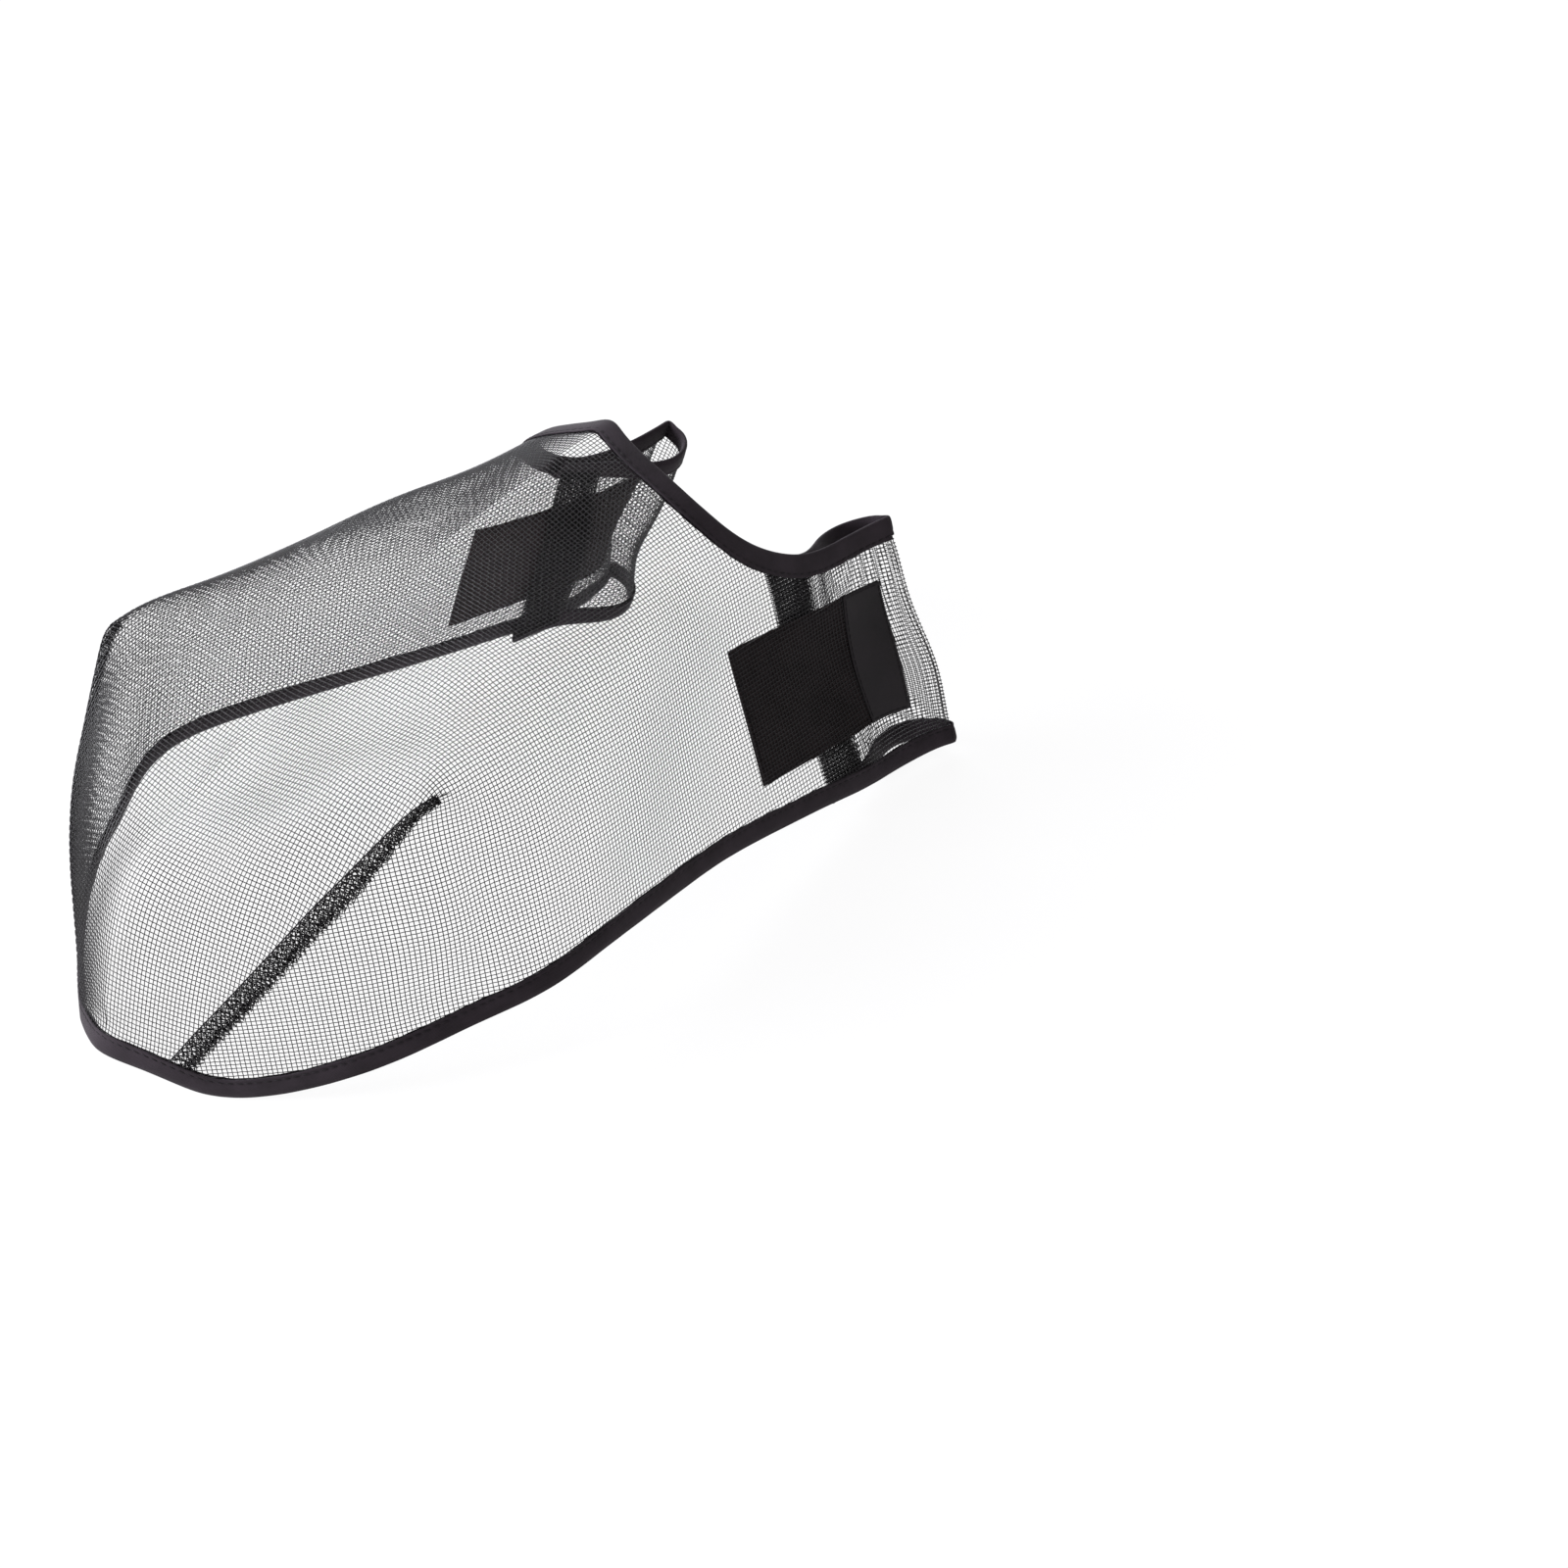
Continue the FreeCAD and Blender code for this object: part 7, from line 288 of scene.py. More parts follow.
JAW_CUT = np.array([
    160.5, -231.53, 160.45, -229.25, 160.42, -226.97, 160.41, -224.7, 160.41, -222.42, 160.42, -220.14, 160.44, -217.87, 160.46, -215.59, 160.48,
    -213.31, 160.49, -211.04, 160.5, -208.76, 160.5, -206.48, 160.48, -204.21, 160.44, -201.93, 160.38, -199.66, 160.29, -197.38, 160.17, -195.11,
    160.02, -192.83, 159.84, -190.57, 159.62, -188.3, 159.37, -186.04, 159.11, -183.77, 158.83, -181.52, 158.54, -179.26, 158.24, -177, 157.94,
    -174.74, 157.65, -172.48, 157.37, -170.23, 157.11, -167.96, 156.85, -165.7, 156.6, -163.44, 156.36, -161.18, 156.12, -158.91, 155.87, -156.65,
    155.63, -154.38, 155.38, -152.12, 155.12, -149.86, 154.85, -147.6, 154.58, -145.34, 154.3, -143.08, 154.02, -140.82, 153.74, -138.56, 153.46,
    -136.3, 153.19, -134.04, 152.93, -131.78, 152.69, -129.51, 152.45, -127.25, 152.24, -124.98, 152.04, -122.71, 151.86, -120.44, 151.71, -118.17,
    151.59, -115.9, 151.48, -113.63, 151.39, -111.35, 151.32, -109.08, 151.27, -106.8, 151.23, -104.52, 151.2, -102.25, 151.19, -99.97, 151.18,
    -97.69, 151.18, -95.42, 151.19, -93.14, 151.21, -90.86, 151.23, -88.59, 151.25, -86.31, 151.28, -84.03, 151.31, -81.76, 151.35, -79.48, 151.39,
    -77.2, 151.43, -74.93, 151.47, -72.65, 151.52, -70.38, 151.57, -68.1, 151.63, -65.82, 151.69, -63.55, 151.74, -61.27, 151.81, -59, 151.87,
    -56.72, 151.94, -54.44, 152.01, -52.17, 152.09, -49.89, 152.18, -47.62, 152.28, -45.34, 152.4, -43.07, 152.53, -40.8, 152.67, -38.52, 152.84,
    -36.25, 153.02, -33.98, 153.23, -31.72, 153.46, -29.45, 153.71, -27.19, 153.99, -24.93, 154.29, -22.67, 154.61, -20.42, 154.96, -18.17, 155.33,
    -15.92, 155.73, -13.68, 156.15, -11.44, 156.6, -9.21, 157.07, -6.98, 157.56, -4.76, 158.06, -2.54, 158.56, -0.32, 159.06, 1.9, 159.57, 4.12,
    160.06, 6.34, 160.54, 8.57, 160.99, 10.8, 161.44, 13.03, 161.87, 15.27, 162.29, 17.51, 162.71, 19.75, 163.12, 21.98, 163.53, 24.22, 163.94,
    26.46, 164.36, 28.7, 164.78, 30.94, 165.21, 33.17, 165.63, 35.41, 166.04, 37.65, 166.45, 39.89, 166.86, 42.13, 167.25, 44.37, 167.63, 46.62, 168,
    48.87, 168.35, 51.11, 168.68, 53.37, 168.99, 55.62, 169.29, 57.88, 169.56, 60.14, 169.82, 62.4, 170.04, 64.67, 170.24, 66.94, 170.39, 69.21,
    170.5, 71.48, 170.56, 73.76, 170.56, 76.03, 170.5, 78.31, 170.37, 80.58, 170.18, 82.85, 169.9, 85.11, 169.5, 87.35, 168.95, 89.56, 168.22, 91.71,
    167.32, 93.81, 166.29, 95.84, 165.15, 97.8, 163.91, 99.71, 162.59, 101.57, 161.21, 103.38,
]).reshape(150, 2)

NOSE_CUT = np.array([
    0.06, 126.4, 1.76, 126.5, 3.47, 126.6, 5.17, 126.68, 6.88, 126.76, 8.58, 126.82, 10.29, 126.87, 11.99, 126.9, 13.7, 126.91, 15.41, 126.9, 17.11,
    126.86, 18.82, 126.8, 20.52, 126.72, 22.22, 126.6,
]).reshape(14, 2)

SEAM_F = np.array([
    78.5, 0, 77.68, 2.18, 76.82, 4.35, 75.93, 6.5, 75.03, 8.65, 74.12, 10.8, 73.23, 12.95, 72.35, 15.11, 71.51, 17.28, 70.71, 19.47, 69.92, 21.66,
    69.14, 23.86, 68.37, 26.06, 67.6, 28.26, 66.84, 30.46, 66.08, 32.67, 65.32, 34.87, 64.57, 37.08, 63.83, 39.28, 63.09, 41.49, 62.35, 43.7, 61.6,
    45.91, 60.85, 48.12, 60.09, 50.32, 59.32, 52.52, 58.53, 54.71, 57.73, 56.9, 56.92, 59.09, 56.08, 61.26, 55.23, 63.43, 54.35, 65.59, 53.46, 67.74,
    52.55, 69.89, 51.62, 72.03, 50.67, 74.15, 49.7, 76.27, 48.71, 78.39, 47.71, 80.49, 46.68, 82.58, 45.64, 84.67, 44.58, 86.74, 43.49, 88.81, 42.39,
    90.86, 41.26, 92.9, 40.11, 94.92, 38.93, 96.94, 37.75, 98.94, 36.56, 100.94, 35.36, 102.94, 34.16, 104.94, 32.97, 106.95, 31.79, 108.95, 30.62,
    110.97, 29.45, 112.98, 28.28, 115, 27.11, 117.02, 25.95, 119.04, 24.85, 121.1, 23.85, 123.19, 22.98, 125.36, 22.3, 127.6,
]).reshape(61, 2)

SEAM_W = np.array([
    78.5, 0, 79.24, 2.12, 80.1, 4.18, 81.07, 6.18, 82.13, 8.14, 83.27, 10.06, 84.46, 11.94, 85.69, 13.81, 86.95, 15.65, 88.21, 17.49, 89.49, 19.32,
    90.77, 21.15, 92.06, 22.97, 93.34, 24.79, 94.63, 26.61, 95.91, 28.44, 97.18, 30.27, 98.45, 32.1, 99.72, 33.94, 100.98, 35.77, 102.26, 37.6,
    103.55, 39.42, 104.85, 41.24, 106.16, 43.04, 107.49, 44.83, 108.83, 46.61, 110.19, 48.38, 111.56, 50.14, 112.94, 51.89, 114.34, 53.63, 115.74,
    55.36, 117.16, 57.08, 118.59, 58.8, 120.02, 60.51, 121.45, 62.21, 122.9, 63.92, 124.34, 65.62, 125.79, 67.31, 127.24, 69, 128.7, 70.69, 130.16,
    72.38, 131.62, 74.06, 133.09, 75.74, 134.56, 77.42, 136.04, 79.09, 137.53, 80.75, 139.02, 82.4, 140.53, 84.05, 142.04, 85.68, 143.57, 87.31,
    145.1, 88.93, 146.64, 90.54, 148.19, 92.15, 149.75, 93.75, 151.31, 95.34, 152.86, 96.95, 154.39, 98.57, 155.88, 100.22, 157.32, 101.92, 158.7,
    103.68, 160, 105.5,
]).reshape(61, 2)

HEM_LOWER = np.array([
    85.356, 149.632, 4.88, -0.286, 0.101, 0.953, 0.809, -0.507, 0.297, 83.564, 146.194, 4.649, -0.332, 0.019, 0.945, 0.96, -0.155, 0.326, 82.034,
    138.593, 4.339, -0.352, 0.057, 0.933, 0.892, -0.265, 0.357, 80.795, 127.126, 4.258, -0.326, 0.018, 0.946, 0.957, 0.031, 0.328, 81.305, 115.586,
    5.07, -0.27, 0.097, 0.96, 0.959, 0.081, 0.263, 81.892, 104.205, 6.868, -0.274, 0.168, 0.947, 0.961, 0.094, 0.261, 82.336, 92.892, 9.102, -0.312,
    0.168, 0.935, 0.95, 0.092, 0.3, 82.789, 81.54, 11.113, -0.344, 0.14, 0.929, 0.938, 0.097, 0.333, 83.327, 70.177, 13.043, -0.362, 0.146, 0.921,
    0.931, 0.108, 0.348, 83.95, 58.847, 15.132, -0.369, 0.149, 0.917, 0.927, 0.124, 0.353, 84.809, 47.526, 17.194, -0.369, 0.126, 0.921, 0.925,
    0.146, 0.35, 86.069, 36.197, 18.997, -0.359, 0.088, 0.929, 0.925, 0.17, 0.341, 87.722, 24.878, 20.516, -0.343, 0.063, 0.937, 0.927, 0.188, 0.326,
    89.608, 13.577, 21.886, -0.324, 0.056, 0.944, 0.931, 0.197, 0.308, 91.589, 2.286, 23.195, -0.307, 0.053, 0.95, 0.936, 0.198, 0.291, 93.579,
    -9.013, 24.42, -0.293, 0.048, 0.955, 0.941, 0.192, 0.279, 95.478, -20.342, 25.507, -0.286, 0.037, 0.958, 0.945, 0.176, 0.276, 97.205, -31.725,
    26.292, -0.281, 0.005, 0.96, 0.95, 0.145, 0.278, 98.37, -43.222, 26.424, -0.273, -0.04, 0.962, 0.965, 0.033, 0.279, 97.635, -54.802, 25.454,
    -0.253, -0.085, 0.964, 0.963, -0.222, 0.236, 93.822, -65.585, 23.316, -0.255, -0.112, 0.961, 0.863, -0.485, 0.174, 88.337, -75.369, 20.565,
    -0.306, -0.115, 0.945, 0.834, -0.509, 0.208, 83.515, -85.44, 17.663, -0.323, -0.115, 0.939, 0.857, -0.458, 0.238, 78.435, -95.403, 14.781,
    -0.301, -0.118, 0.947, 0.82, -0.543, 0.193, 72.187, -104.597, 11.603, -0.295, -0.129, 0.947, 0.757, -0.64, 0.148, 64.997, -113.02, 8.322, -0.282,
    -0.114, 0.953, 0.701, -0.704, 0.123, 57.091, -120.856, 5.255, -0.255, -0.091, 0.964, 0.656, -0.749, 0.102, 48.597, -128.241, 2.669, -0.2, -0.051,
    0.978, 0.621, -0.78, 0.085, 39.574, -135.292, 1.099, -0.107, 0.023, 1.006, 0.587, -0.805, 0.079, 30.003, -141.966, 1.883, 0.167, 0.224, 0.976,
    0.571, -0.818, 0.085, 20.968, -147.559, 6.752, 0.324, 0.334, 0.892, 0.522, -0.84, 0.124, 11.196, -152.466, 9.97, 0.025, 0.288, 0.968, 0.522,
    -0.84, 0.246, 0, -156.806, 11.791, 0, 0.385, 0.919, 0, -0.983, 0.406, -11.196, -152.466, 9.97, -0.025, 0.288, 0.968, -0.522, -0.84, 0.246,
    -20.968, -147.559, 6.752, -0.324, 0.334, 0.892, -0.522, -0.84, 0.124, -30.003, -141.966, 1.883, -0.167, 0.224, 0.976, -0.571, -0.818, 0.085,
    -39.574, -135.292, 1.099, 0.107, 0.023, 1.006, -0.587, -0.805, 0.079, -48.597, -128.241, 2.669, 0.2, -0.051, 0.978, -0.621, -0.78, 0.085,
    -57.091, -120.856, 5.255, 0.255, -0.091, 0.964, -0.656, -0.749, 0.102, -64.997, -113.02, 8.322, 0.282, -0.114, 0.953, -0.701, -0.704, 0.123,
    -72.187, -104.597, 11.603, 0.295, -0.129, 0.947, -0.757, -0.64, 0.148, -78.435, -95.403, 14.781, 0.301, -0.118, 0.947, -0.82, -0.543, 0.193,
    -83.515, -85.44, 17.663, 0.323, -0.115, 0.939, -0.857, -0.458, 0.238, -88.337, -75.369, 20.565, 0.306, -0.115, 0.945, -0.834, -0.509, 0.208,
    -93.822, -65.585, 23.316, 0.255, -0.112, 0.961, -0.863, -0.485, 0.174, -97.635, -54.802, 25.454, 0.253, -0.085, 0.964, -0.963, -0.222, 0.236,
    -98.37, -43.222, 26.424, 0.273, -0.04, 0.962, -0.965, 0.033, 0.279, -97.205, -31.725, 26.292, 0.281, 0.005, 0.96, -0.95, 0.145, 0.278, -95.478,
    -20.342, 25.507, 0.286, 0.037, 0.958, -0.945, 0.176, 0.276, -93.579, -9.013, 24.42, 0.293, 0.048, 0.955, -0.941, 0.192, 0.279, -91.589, 2.286,
    23.195, 0.307, 0.053, 0.95, -0.936, 0.198, 0.291, -89.608, 13.577, 21.886, 0.324, 0.056, 0.944, -0.931, 0.197, 0.308, -87.722, 24.878, 20.516,
    0.343, 0.063, 0.937, -0.927, 0.188, 0.326, -86.069, 36.197, 18.997, 0.359, 0.088, 0.929, -0.925, 0.17, 0.341, -84.809, 47.526, 17.194, 0.369,
    0.126, 0.921, -0.925, 0.146, 0.35, -83.95, 58.847, 15.132, 0.369, 0.149, 0.917, -0.927, 0.124, 0.353, -83.327, 70.177, 13.043, 0.362, 0.146,
    0.921, -0.931, 0.108, 0.348, -82.789, 81.54, 11.113, 0.344, 0.14, 0.929, -0.938, 0.097, 0.333, -82.336, 92.892, 9.102, 0.312, 0.168, 0.935,
    -0.95, 0.092, 0.3, -81.892, 104.205, 6.868, 0.274, 0.168, 0.947, -0.961, 0.094, 0.261, -81.305, 115.586, 5.07, 0.27, 0.097, 0.96, -0.959, 0.081,
    0.263, -80.795, 127.126, 4.258, 0.326, 0.018, 0.946, -0.957, 0.031, 0.328, -82.034, 138.593, 4.339, 0.352, 0.057, 0.933, -0.892, -0.265, 0.357,
    -83.564, 146.194, 4.649, 0.332, 0.019, 0.945, -0.96, -0.155, 0.326, -85.356, 149.632, 4.88, 0.286, 0.101, 0.953, -0.809, -0.507, 0.297,
]).reshape(65, 9)

HEM_TOP = np.array([
    53.187, 153.927, 80.716, 0.338, -0.074, -0.938, 0.931, -0.118, 0.345, 52.937, 152.028, 80.772, 0.328, -0.056, -0.943, 0.941, -0.069, 0.332,
    52.607, 148.21, 80.887, 0.293, -0.055, -0.955, 0.952, -0.077, 0.297, 52.261, 142.475, 81.078, 0.264, -0.043, -0.963, 0.965, -0.017, 0.265,
    52.235, 136.73, 81.326, 0.278, -0.043, -0.96, 0.961, 0.028, 0.277, 52.413, 130.993, 81.647, 0.311, -0.05, -0.949, 0.95, 0.06, 0.308, 52.657,
    125.27, 82.151, 0.35, -0.095, -0.933, 0.936, 0.075, 0.343, 52.789, 119.586, 83.031, 0.38, -0.18, -0.91, 0.926, 0.076, 0.371, 52.641, 114.007,
    84.462, 0.389, -0.304, -0.874, 0.92, 0.07, 0.385, 52.162, 108.672, 86.586, 0.38, -0.434, -0.82, 0.919, 0.075, 0.387, 51.472, 103.637, 89.287,
    0.377, -0.515, -0.771, 0.917, 0.089, 0.39, 50.634, 98.848, 92.363, 0.387, -0.579, -0.72, 0.908, 0.1, 0.407, 49.548, 94.342, 95.775, 0.401, -0.65,
    -0.648, 0.89, 0.105, 0.444, 48.052, 90.212, 99.501, 0.407, -0.732, -0.553, 0.863, 0.101, 0.497, 45.972, 86.61, 103.497, 0.387, -0.822, -0.428,
    0.824, 0.091, 0.561, 43.195, 83.694, 107.63, 0.34, -0.894, -0.302, 0.772, 0.074, 0.635, 39.737, 81.405, 111.637, 0.288, -0.936, -0.209, 0.702,
    0.052, 0.713, 35.686, 79.635, 115.334, 0.225, -0.966, -0.141, 0.627, 0.029, 0.78, 31.161, 78.373, 118.668, 0.152, -0.985, -0.091, 0.555, 0.006,
    0.833, 26.302, 77.56, 121.643, 0.09, -0.994, -0.063, 0.493, -0.012, 0.871, 21.221, 77.072, 124.3, 0.048, -0.999, -0.046, 0.438, -0.021, 0.899,
    16.001, 76.882, 126.695, -0.018, -0.999, -0.019, 0.406, -0.026, 0.915, 10.681, 77.175, 128.94, -0.077, -1.001, -0.002, 0.351, -0.028, 0.934,
    5.47, 77.935, 130.989, -0.287, -0.964, 0.049, 0.447, -0.072, 0.903, 0, 79.604, 133.319, 0, -1.014, -0.127, 0, -0.066, 1.045, -5.47, 77.935,
    130.989, 0.287, -0.964, 0.049, -0.447, -0.072, 0.903, -10.681, 77.175, 128.94, 0.077, -1.001, -0.002, -0.351, -0.028, 0.934, -16.001, 76.882,
    126.695, 0.018, -0.999, -0.019, -0.406, -0.026, 0.915, -21.221, 77.072, 124.3, -0.048, -0.999, -0.046, -0.438, -0.021, 0.899, -26.302, 77.56,
    121.643, -0.09, -0.994, -0.063, -0.493, -0.012, 0.871, -31.161, 78.373, 118.668, -0.152, -0.985, -0.091, -0.555, 0.006, 0.833, -35.686, 79.635,
    115.334, -0.225, -0.966, -0.141, -0.627, 0.029, 0.78, -39.737, 81.405, 111.637, -0.288, -0.936, -0.209, -0.702, 0.052, 0.713, -43.195, 83.694,
    107.63, -0.34, -0.894, -0.302, -0.772, 0.074, 0.635, -45.972, 86.61, 103.497, -0.387, -0.822, -0.428, -0.824, 0.091, 0.561, -48.052, 90.212,
    99.501, -0.407, -0.732, -0.553, -0.863, 0.101, 0.497, -49.548, 94.342, 95.775, -0.401, -0.65, -0.648, -0.89, 0.105, 0.444, -50.634, 98.848,
    92.363, -0.387, -0.579, -0.72, -0.908, 0.1, 0.407, -51.472, 103.637, 89.287, -0.377, -0.515, -0.771, -0.917, 0.089, 0.39, -52.162, 108.672,
    86.586, -0.38, -0.434, -0.82, -0.919, 0.075, 0.387, -52.641, 114.007, 84.462, -0.389, -0.304, -0.874, -0.92, 0.07, 0.385, -52.789, 119.586,
    83.031, -0.38, -0.18, -0.91, -0.926, 0.076, 0.371, -52.657, 125.27, 82.151, -0.35, -0.095, -0.933, -0.936, 0.075, 0.343, -52.413, 130.993,
    81.647, -0.311, -0.05, -0.949, -0.95, 0.06, 0.308, -52.235, 136.73, 81.326, -0.278, -0.043, -0.96, -0.961, 0.028, 0.277, -52.261, 142.475,
    81.078, -0.264, -0.043, -0.963, -0.965, -0.017, 0.265, -52.607, 148.21, 80.887, -0.293, -0.055, -0.955, -0.952, -0.077, 0.297, -52.937, 152.028,
    80.772, -0.328, -0.056, -0.943, -0.941, -0.069, 0.332, -53.187, 153.927, 80.716, -0.338, -0.074, -0.938, -0.931, -0.118, 0.345,
]).reshape(49, 9)

HEM_FTOP = np.array([
    51.724, 155.283, 80.083, 0.356, -0.012, -0.935, -0.468, -0.867, -0.167, 50.645, 155.935, 79.664, 0.35, -0.01, -0.937, -0.298, -0.962, -0.099,
    48.159, 156.597, 78.74, 0.335, -0.025, -0.942, -0.042, -1.05, 0.01, 44.398, 155.592, 77.389, 0.354, -0.048, -0.934, 0.515, -0.879, 0.242, 41.638,
    152.695, 76.579, 0.324, -0.055, -0.945, 0.763, -0.593, 0.298, 39.745, 149.201, 76.125, 0.286, -0.028, -0.958, 0.903, -0.366, 0.28, 38.856,
    145.28, 76.018, 0.245, -0.038, -0.969, 0.977, -0.081, 0.253, 38.982, 141.284, 76.249, 0.247, -0.058, -0.967, 0.965, 0.161, 0.238, 39.898,
    137.429, 76.741, 0.273, -0.065, -0.96, 0.915, 0.337, 0.239, 41.358, 133.784, 77.419, 0.304, -0.06, -0.951, 0.858, 0.455, 0.246, 43.168, 130.334,
    78.229, 0.331, -0.055, -0.942, 0.811, 0.528, 0.255, 45.122, 126.996, 79.149, 0.359, -0.061, -0.931, 0.794, 0.543, 0.271, 46.989, 123.633, 80.163,
    0.385, -0.081, -0.92, 0.813, 0.505, 0.295, 48.503, 120.095, 81.203, 0.409, -0.127, -0.905, 0.867, 0.379, 0.335, 49.35, 116.352, 82.308, 0.423,
    -0.217, -0.882, 0.902, 0.239, 0.369, 49.567, 112.58, 83.582, 0.408, -0.327, -0.855, 0.915, 0.129, 0.384, 49.305, 108.916, 85.123, 0.381, -0.426,
    -0.822, 0.919, 0.074, 0.387, 48.814, 105.386, 86.89, 0.368, -0.483, -0.795, 0.92, 0.064, 0.387, 48.266, 101.962, 88.838, 0.378, -0.522, -0.765,
    0.916, 0.091, 0.392, 47.933, 99.752, 90.266, 0.401, -0.547, -0.735, 0.908, 0.131, 0.399, 47.782, 98.673, 91.02, 0.406, -0.561, -0.721, 0.907,
    0.149, 0.395,
]).reshape(21, 9)

HEM_FBOT = np.array([
    84.122, 151.572, 5.438, -0.294, 0.007, 0.956, -0.529, -0.834, -0.157, 83.073, 152.285, 5.11, -0.284, 0.004, 0.959, -0.317, -0.968, -0.088, 80.55,
    152.926, 4.369, -0.267, 0.021, 0.964, -0.023, -1.04, 0.017, 76.805, 152.013, 3.344, -0.276, 0.056, 0.96, 0.441, -0.906, 0.179, 73.616, 149.819,
    2.547, -0.3, 0.091, 0.95, 0.575, -0.78, 0.256, 70.886, 147.073, 1.912, -0.346, 0.117, 0.932, 0.715, -0.629, 0.341, 68.858, 143.706, 1.489,
    -0.403, 0.099, 0.91, 0.846, -0.387, 0.41, 67.934, 139.857, 1.356, -0.411, 0.035, 0.911, 0.925, -0.07, 0.414, 68.162, 135.921, 1.524, -0.364, 0,
    0.932, 0.922, 0.193, 0.359, 69.217, 132.16, 1.91, -0.314, 0.002, 0.95, 0.887, 0.369, 0.293, 70.802, 128.618, 2.434, -0.28, 0.015, 0.96, 0.848,
    0.475, 0.24, 72.659, 125.231, 3.039, -0.264, 0.031, 0.964, 0.831, 0.514, 0.211, 74.553, 121.864, 3.64, -0.251, 0.02, 0.968, 0.85, 0.485, 0.21,
    76.219, 118.366, 4.198, -0.264, 0.042, 0.964, 0.891, 0.399, 0.226, 77.445, 114.68, 4.699, -0.257, 0.046, 0.965, 0.934, 0.278, 0.236, 78.249,
    110.869, 5.097, -0.253, 0.049, 0.966, 0.956, 0.173, 0.242, 78.711, 106.997, 5.409, -0.254, 0.042, 0.966, 0.963, 0.104, 0.249, 78.997, 103.105,
    5.644, -0.262, 0.04, 0.964, 0.963, 0.075, 0.258, 79.252, 99.211, 5.871, -0.273, 0.037, 0.961, 0.959, 0.089, 0.269, 79.51, 96.622, 6.042, -0.281,
    0.035, 0.959, 0.953, 0.126, 0.275, 79.688, 95.335, 6.142, -0.284, 0.035, 0.958, 0.949, 0.152, 0.275,
]).reshape(21, 9)

NET_PATCH = np.array([
    61.524, 67.27, 73.489, 0.932, 0.193, 0.307, 64.195, 66.673, 65.899, 0.92, 0.167, 0.358, 70.263, 65.606, 50.775, 0.932, 0.112, 0.347, 75.707,
    64.59, 35.906, 0.936, 0.114, 0.332, 78.406, 64.06, 28.489, 0.936, 0.112, 0.334, 60.186, 75.737, 72.007, 0.926, 0.172, 0.335, 63.184, 75.123,
    64.481, 0.899, 0.128, 0.41, 69.78, 74.046, 49.462, 0.945, 0.101, 0.347, 75.085, 73.028, 34.768, 0.932, 0.112, 0.335, 77.772, 72.483, 27.439,
    0.935, 0.107, 0.333, 59.139, 92.808, 69.226, 0.94, 0.002, 0.395, 62.247, 92.166, 61.817, 0.94, 0.178, 0.374, 68.226, 91.022, 46.945, 0.858,
    0.311, 0.325, 73.911, 89.993, 32.621, 0.942, 0.125, 0.362, 76.678, 89.44, 25.468, 0.94, 0.085, 0.359, 58.67, 118.986, 65.116, 1.003, 0.181,
    -0.007, 58.06, 118.215, 57.453, 1.03, 0.076, -0.114, 59.613, 116.638, 42.534, 0.979, 0.31, 0.493, 69.998, 115.838, 28.78, 0.754, 0.316, 0.587,
    74.51, 115.418, 21.865, 0.819, 0.235, 0.512, 56.521, 136.175, 63.339, 0.965, 0.012, 0.337, 59.436, 135.174, 55.662, 0.97, -0.08, 0.369, 63.386,
    133.047, 41.257, 0.895, -0.505, 0.276, 69.123, 132.263, 27.612, 0.954, -0.209, 0.479, 72.829, 131.917, 20.597, 0.935, -0.057, 0.472, 58.611,
    144.544, 62.992, 0.908, -0.199, 0.369, 61.079, 143.371, 55.428, 0.876, -0.192, 0.472, 70.552, 140.896, 41.563, 0.662, -0.57, 0.578, 74.893,
    139.964, 27.779, 0.816, -0.575, 0.18, 76.55, 139.656, 20.604, 0.882, -0.4, 0.251,
]).reshape(6, 5, 6)

NET_LABEL = np.array([
    57.542, 126.951, 64.383, 0.976, 0.083, 0.202, 59.065, 126.06, 56.731, 0.986, -0.012, 0.184, 62.324, 124.204, 42.104, 0.945, -0.104, 0.362,
    69.882, 123.395, 28.373, 0.859, 0.049, 0.514, 73.821, 123.008, 21.387, 0.878, 0.08, 0.473, 57.168, 132.89, 63.724, 0.967, 0.038, 0.263, 59.276,
    131.928, 56.062, 0.966, -0.066, 0.273, 63.113, 129.898, 41.586, 0.95, -0.255, 0.332, 69.831, 129.094, 27.904, 0.898, -0.051, 0.5, 73.553,
    128.734, 20.898, 0.892, 0.013, 0.461, 57.25, 138.766, 63.238, 0.95, -0.06, 0.341, 59.93, 137.711, 55.595, 0.952, -0.098, 0.391, 65.701, 135.477,
    41.358, 0.751, -0.605, 0.397, 70.981, 134.649, 27.666, 0.904, -0.405, 0.357, 74.026, 134.315, 20.601, 0.93, -0.205, 0.403, 58.611, 144.544,
    62.992, 0.908, -0.199, 0.369, 61.079, 143.371, 55.428, 0.876, -0.192, 0.472, 70.552, 140.896, 41.563, 0.662, -0.57, 0.578, 74.893, 139.964,
    27.779, 0.816, -0.575, 0.18, 76.55, 139.656, 20.604, 0.882, -0.4, 0.251,
]).reshape(4, 5, 6)

